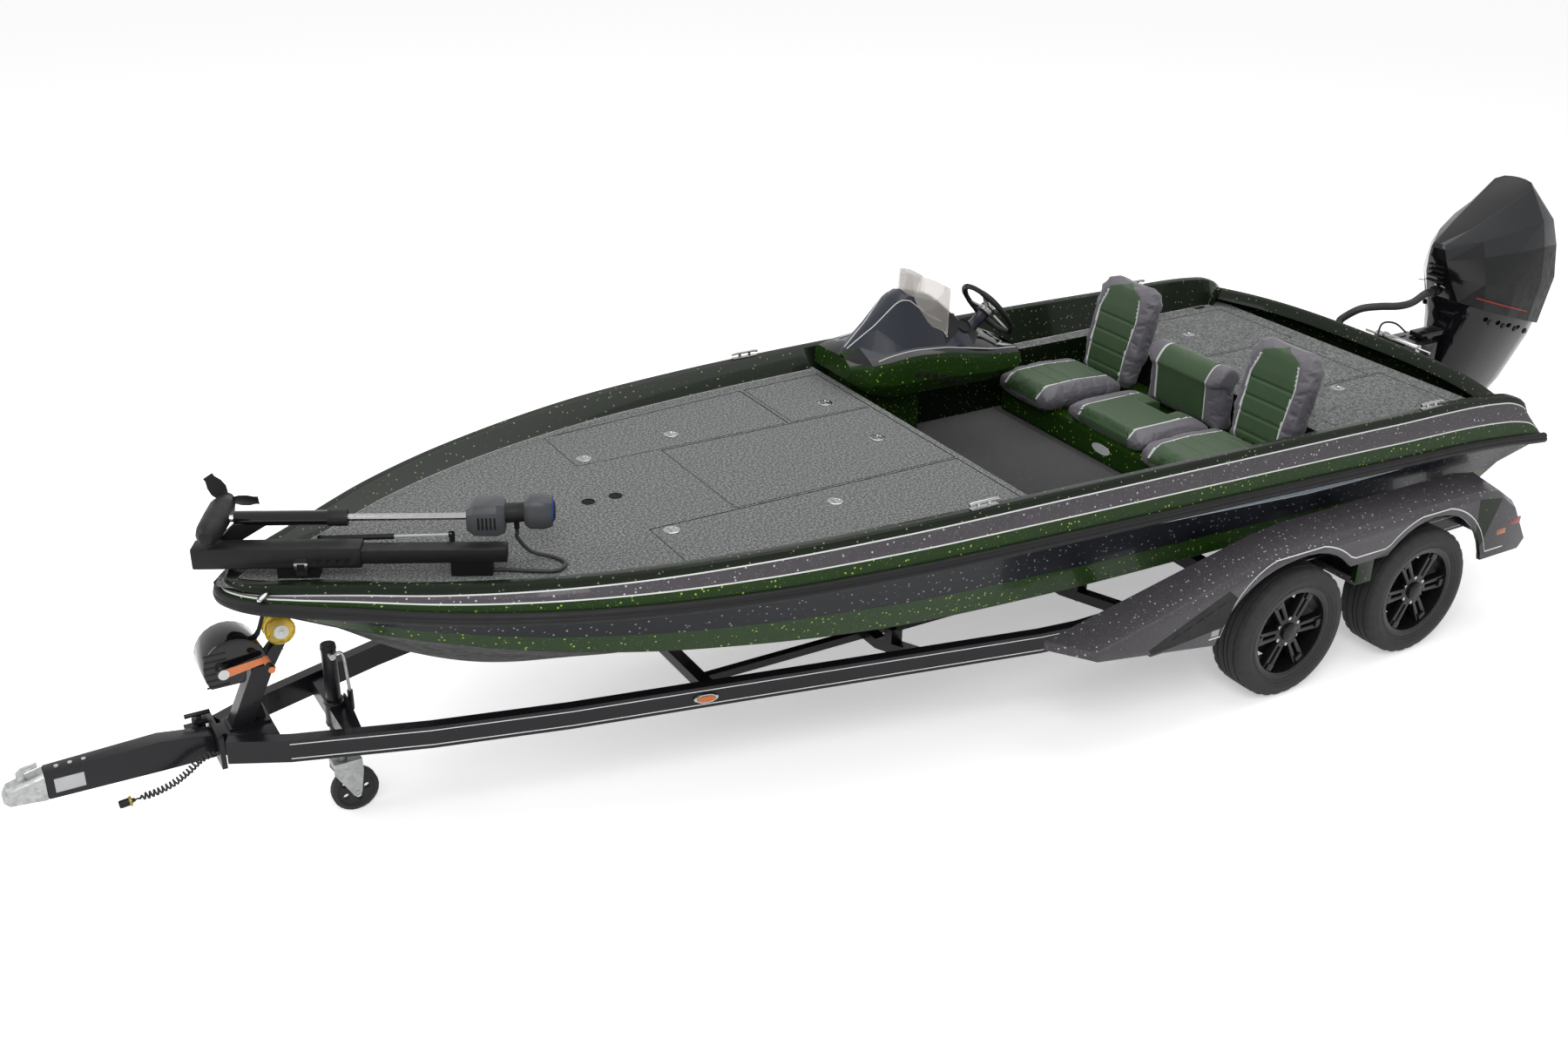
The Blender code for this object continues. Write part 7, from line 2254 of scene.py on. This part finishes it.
def soft_piece(name, mesh, rule, channels, mats=("vinyl_green", "vinyl_grey", "piping")):
    """A swollen cushion with sewn channels pressed into it, and its piping."""
    place, groove = channels
    local = mesh.copy()
    local.transform(place.inverted())
    soft = puffed(shrunk(local, 0.007), name, 0.0055, 0.018)
    bm = bmesh.new()
    bm.from_mesh(soft)
    bm.normal_update()
    depth, width = 0.0065, 0.010
    for v in bm.verts:
        d = groove(v.co, v.normal)
        if d < width:
            v.co -= v.normal * depth * (1 - (d / width) ** 2) ** 2
    bm.normal_update()
    for face in bm.faces:
        face.material_index = rule(face.calc_center_median(), face.normal)
    bmesh.ops.transform(bm, matrix=Matrix.Translation((SHIFT, 0, 0)) @ place, verts=bm.verts)
    obj = piece(name + "_soft", bm, *mats, body=body_of_node(name), angle=0, slot="vinyl", replaces=(name,))
    obj.data.shade_smooth()
    return obj


def seat_dressing():
    seats()
    base = SEAT_BOX_TOP + GAP
    half = COCKPIT_HALF_WIDTH - SEAT_BOX_MARGIN
    centre_y = half - SEAT_WIDTH / 2 - SEAT_BOX_MARGIN
    lift = BACK_RIBS[0][2] * math.sin(SEAT_RAKE) + GAP
    for side, name in ((-1, "port"), (1, "starboard")):
        place = Matrix.Translation((SEAT_BOX_X, side * centre_y, base))
        inner = 0.135

        def cushion_groove(p, n):
            on_top = n.z > 0.35
            ribs = min(abs(p.x - x) for x in (0.06, 0.15, 0.24, 0.33)) if on_top and abs(p.y) < inner else 1.0
            edge = abs(abs(p.y) - inner) if on_top else 1.0
            return min(ribs, edge)

        def cushion_rule(c, n):
            if abs(abs(c.y) - inner) < 0.0055 and n.z > 0.3:
                return 2
            return 0 if abs(c.y) < inner and c.z > 0.05 else 1
        pad = cushion_mesh("cushion", CUSHION_RIBS, SEAT_WIDTH, CUSHION_BOLSTER)
        soft_piece("seat_cushion_" + name, moved(pad, place), cushion_rule, (place, cushion_groove))
        lean = Matrix.Translation((SEAT_BACK_X, side * centre_y, base + lift)) @ Matrix.Rotation(SEAT_RAKE,
                                                                                                 4, "Y")

        def back_inner(z):
            return float(np.interp(z, (0.0, 0.06, 0.40, 0.52, 0.57), (0.10, 0.135, 0.150, 0.120, 0.0)))

        def back_groove(p, n):
            front = n.x < -0.25
            ribs = (min(abs(p.z - z) for z in (0.10, 0.19, 0.28, 0.37))
                    if front and abs(p.y) < back_inner(p.z) else 1.0)
            edge = abs(abs(p.y) - back_inner(p.z)) if front and p.z < 0.49 else 1.0
            return min(ribs, edge)

        def back_rule(c, n):
            width = back_inner(c.z)
            if n.x < -0.2 and c.z < 0.50 and abs(abs(c.y) - width) < 0.0055:
                return 2
            if n.x < -0.1 and abs(c.y) < width:
                return 0
            return 1
        soft_piece("seat_back_" + name, moved(bucket_back(), lean), back_rule, (lean, back_groove))
    width = 2 * centre_y - SEAT_WIDTH - 0.030
    place = Matrix.Translation((SEAT_BOX_X, 0, base))

    def centre_groove(p, n):
        return abs(abs(p.y) - width * 0.30) if n.z > 0.4 else 1.0

    def centre_rule(c, n):
        if abs(abs(c.y) - width * 0.30) < 0.0055 and n.z > 0.3:
            return 2
        return 0 if abs(c.y) < width * 0.30 else 1
    soft_piece("seat_cushion_centre", FORMS["seat_cushion_centre"], centre_rule, (place, centre_groove))
    place = Matrix.Translation((0, 0, base))

    def roll_groove(p, n):
        return min(abs(abs(p.y) - width * 0.28), 1.0) if n.z > -0.2 or n.x < 0 else 1.0

    def roll_rule(c, n):
        return 2 if abs(abs(c.y) - width * 0.28) < 0.0055 else (0 if abs(c.y) < width * 0.28 else 1)
    soft_piece("seat_back_centre", FORMS["seat_back_centre"], roll_rule, (place, roll_groove))
    # bare oval badge place on the seat box
    bm = bmesh.new()
    facing_bow = Matrix(((0, 0, -1), (1, 0, 0), (0, 1, 0))).to_4x4()
    turn = Matrix.Translation(P(SEAT_BOX_X - 0.0015, 0, 0.86)) @ facing_bow
    plate(bm, [(0.070 * math.cos(t), 0.026 * math.sin(t)) for t in np.linspace(0, 2 * math.pi, 25)[:-1]],
          -0.001, 0.003, bevel=0.001, turn=turn)
    piece("seat_box_trim", recalculated(bm), "silver", angle=35, slot="zinc")


def deck_fittings():
    """Latches, pulls, cleats, light sockets, pedestal holes and the floor mat."""
    bm = bmesh.new()

    def latch(x, y, z):
        spot = Matrix.Translation(P(x, y, z))
        lathe(bm, [(0.036, -0.001), (0.036, 0.0025), (0.033, 0.004), (0.025, 0.0035), (0.024, 0.0015),
                   (0, 0.001)],
              spot, 28, mat=0)
        block(bm, (-0.007, -0.024, 0.0008), (0.007, 0.024, 0.0040), mat=0, bevel=0.0015, turn=spot)
    for x, y, z in LATCHES:
        latch(x, y, z)
    # pedestal holes: near-black dishes that paint the shade inside the holes
    for x, y, z in HOLES:
        lathe(bm, [(0.030, -0.0005), (0.030, 0.002), (0.026, 0.003), (0.024, 0.0006), (0, 0.0004)],
              Matrix.Translation(P(x, y, z)), 24, mat=1)
    piece("deck_latches", recalculated(bm), "chrome", "dark", angle=35, slot="zinc")
    bm = bmesh.new()
    for x, side in ((-2.18, 1), (-2.18, -1), (0.50, 1), (0.50, -1)):
        y, z = crest_at(x, side)
        turn = Matrix.Translation(Vector((x + SHIFT, y, z)))
        block(bm, (-0.070, -0.013, 0.0), (0.070, 0.013, 0.005), bevel=0.003, turn=turn)
        tube(bm, [turn @ Vector(p) for p in ((-0.075, 0, 0.022), (-0.055, 0, 0.026), (0.055, 0, 0.026),
                                             (0.075, 0, 0.022))], 0.0075, 10)
        for dx in (-0.028, 0.028):
            tube(bm, [turn @ Vector((dx, 0, 0.003)), turn @ Vector((dx, 0, 0.024))], 0.008, 10)
    # bow light, a chrome teardrop on the cap's nose
    for side in (-1, 1):
        turn = Matrix.Rotation(side * math.radians(-48), 4, "Z")
        turn = Matrix.Translation(P(-4.955, side * 0.175, 1.196)) @ turn
        made = bmesh.ops.create_uvsphere(bm, u_segments=24, v_segments=12, radius=1.0)["verts"]
        bmesh.ops.transform(bm, matrix=turn @ Matrix.Diagonal((0.060, 0.018, 0.014, 1)), verts=made)
    piece("cleats_and_bow_light", recalculated(bm), "chrome", angle=40, slot="zinc")
    bm = bmesh.new()
    block(bm, (-1.74, -0.66, COCKPIT_FLOOR_Z + 0.001), (-0.66, 0.88, COCKPIT_FLOOR_Z + 0.007), bevel=0.002,
          turn=Matrix.Translation((SHIFT, 0, 0)))
    piece("cockpit_mat", recalculated(bm), "mat", angle=35, slot="carpet")


LATCHES = [(-2.870, 0.501, 1.2002), (-2.582, -0.503, 1.2002), (-2.029, 0.006, 1.2002),
           (-2.013, 0.501, 1.2002),
           (-3.350, 0.432, 1.2002), (-3.335, -0.419, 1.2002), (0.655, -0.386, 1.1002), (0.544, 0.640, 1.1002)]
HOLES = [(-3.524, 0.0, 1.2002), (-3.395, 0.0, 1.2002)]


def crest_at(x, side):
    """Middle of the gunwale's crest at a station."""
    rows = [r for r in LOOP if (r[1] >= 0) == (side > 0) and r[11] < 0.01]
    row = min(rows, key=lambda r: abs(r[0] - x))
    return side * (abs(row[1]) - LEAN - CREST / 2), row[2] + row[9] + 0.0005


def inside_faces(stern_row):
    """Deck, lockers and cockpit, from the inner faces of the hull's and the cap's solids, and the transom."""
    for name, mats in (("deck_cap", ("carpet", "black", "crest")), ("hull", ("mat", "black", "crest"))):
        bm = bmesh.new()
        bm.from_mesh(NODES[name].data)
        keep = set()
        for face in bm.faces:
            c, n = face.calc_center_median(), face.normal
            x, y = c.x - SHIFT, abs(c.y)
            deck = 1.20 if x < -1.795 else 1.10
            if name == "deck_cap":
                flat = n.z > 0.98 and c.z < deck + 0.0009 and x < 1.15
                wall = abs(n.z) < 0.03 and y < 0.905 and -3.5 < x < 1.06 and c.z < deck + 0.001
            else:
                flat = n.z > 0.98 and 0.77 < c.z < 1.0 and -3.5 < x < 1.06
                wall = abs(n.z) < 0.03 and y < 0.905 and -3.5 < x < 1.06 and c.z > 0.77
            if not (flat or wall):
                continue
            keep.add(face)
            face.material_index = 0 if flat and (name == "hull" or c.z > deck - 0.001) else 1
            if wall and y > 0.85 and -1.9 < x < 0.2:
                face.material_index = 2
        bmesh.ops.delete(bm, geom=[f for f in bm.faces if f not in keep], context="FACES")
        piece(name + "_inside", bm, *mats, angle=0, slot="carpet", replaces=(name,))
    # transom below the cap, with the pad that carries the jack plate
    bm = bmesh.new()
    points = [p.copy() for p in stern_row]
    other = [Vector((p.x, -p.y, p.z)) for p in points]
    grid(bm, [points, other], [0] * (len(points) - 1))
    block(bm, (1.120, -0.170, 0.620), (TRANSOM_X, 0.170, PAD_TOP_Z), bevel=0.010,
          turn=Matrix.Translation((SHIFT, 0, 0)))
    piece("transom", recalculated(bm), "navy", angle=35, slot="hull_flake")


NODE_FINISH = {
    "hull": "navy", "deck_cap": "charcoal", "rub_rail": "rail", "console": "green", "windshield": "smoke",
    "steering_wheel": "black", "seat_box": "green", "winch_cover": "black", "bow_rollers": "roller",
    "coupler": "zinc", "jack_leg": "zinc", "caster_fork": "zinc", "caster_wheel": "tyre",
    "propeller": "steel",
    "motor_leg": "cowl", "motor_cowl": "cowl", "transom_bracket": "black", "swivel_bracket": "black",
    "lid_": "carpet", "bunk_": "bunk", "seat_": "vinyl_green", "tyre_": "tyre", "rim_": "rim",
    "fender_": "charcoal", "trolling_": "black",
}


def finish_nodes():
    for name, obj in NODES.items():
        keys = [k for k in NODE_FINISH if name == k or (k.endswith("_") and name.startswith(k))]
        mat = M[NODE_FINISH[max(keys, key=len)] if keys else "frame"]
        for slot in obj.material_slots:
            slot.material = mat
        if not obj.material_slots:
            obj.data.materials.append(mat)


camera()
cords()
finish_nodes()
GUNWALE = gunwale()[0]
splash_wall(GUNWALE)
inside_faces(hull_skin())
rub_rail()
running_gear()
fender_dressing()
tongue_dressing()
winch_dressing()
jack_dressing()
outboard_dressing()
trolling_dressing()
console_dressing()
seat_dressing()
deck_fittings()
studio()
bpy.context.view_layer.update()
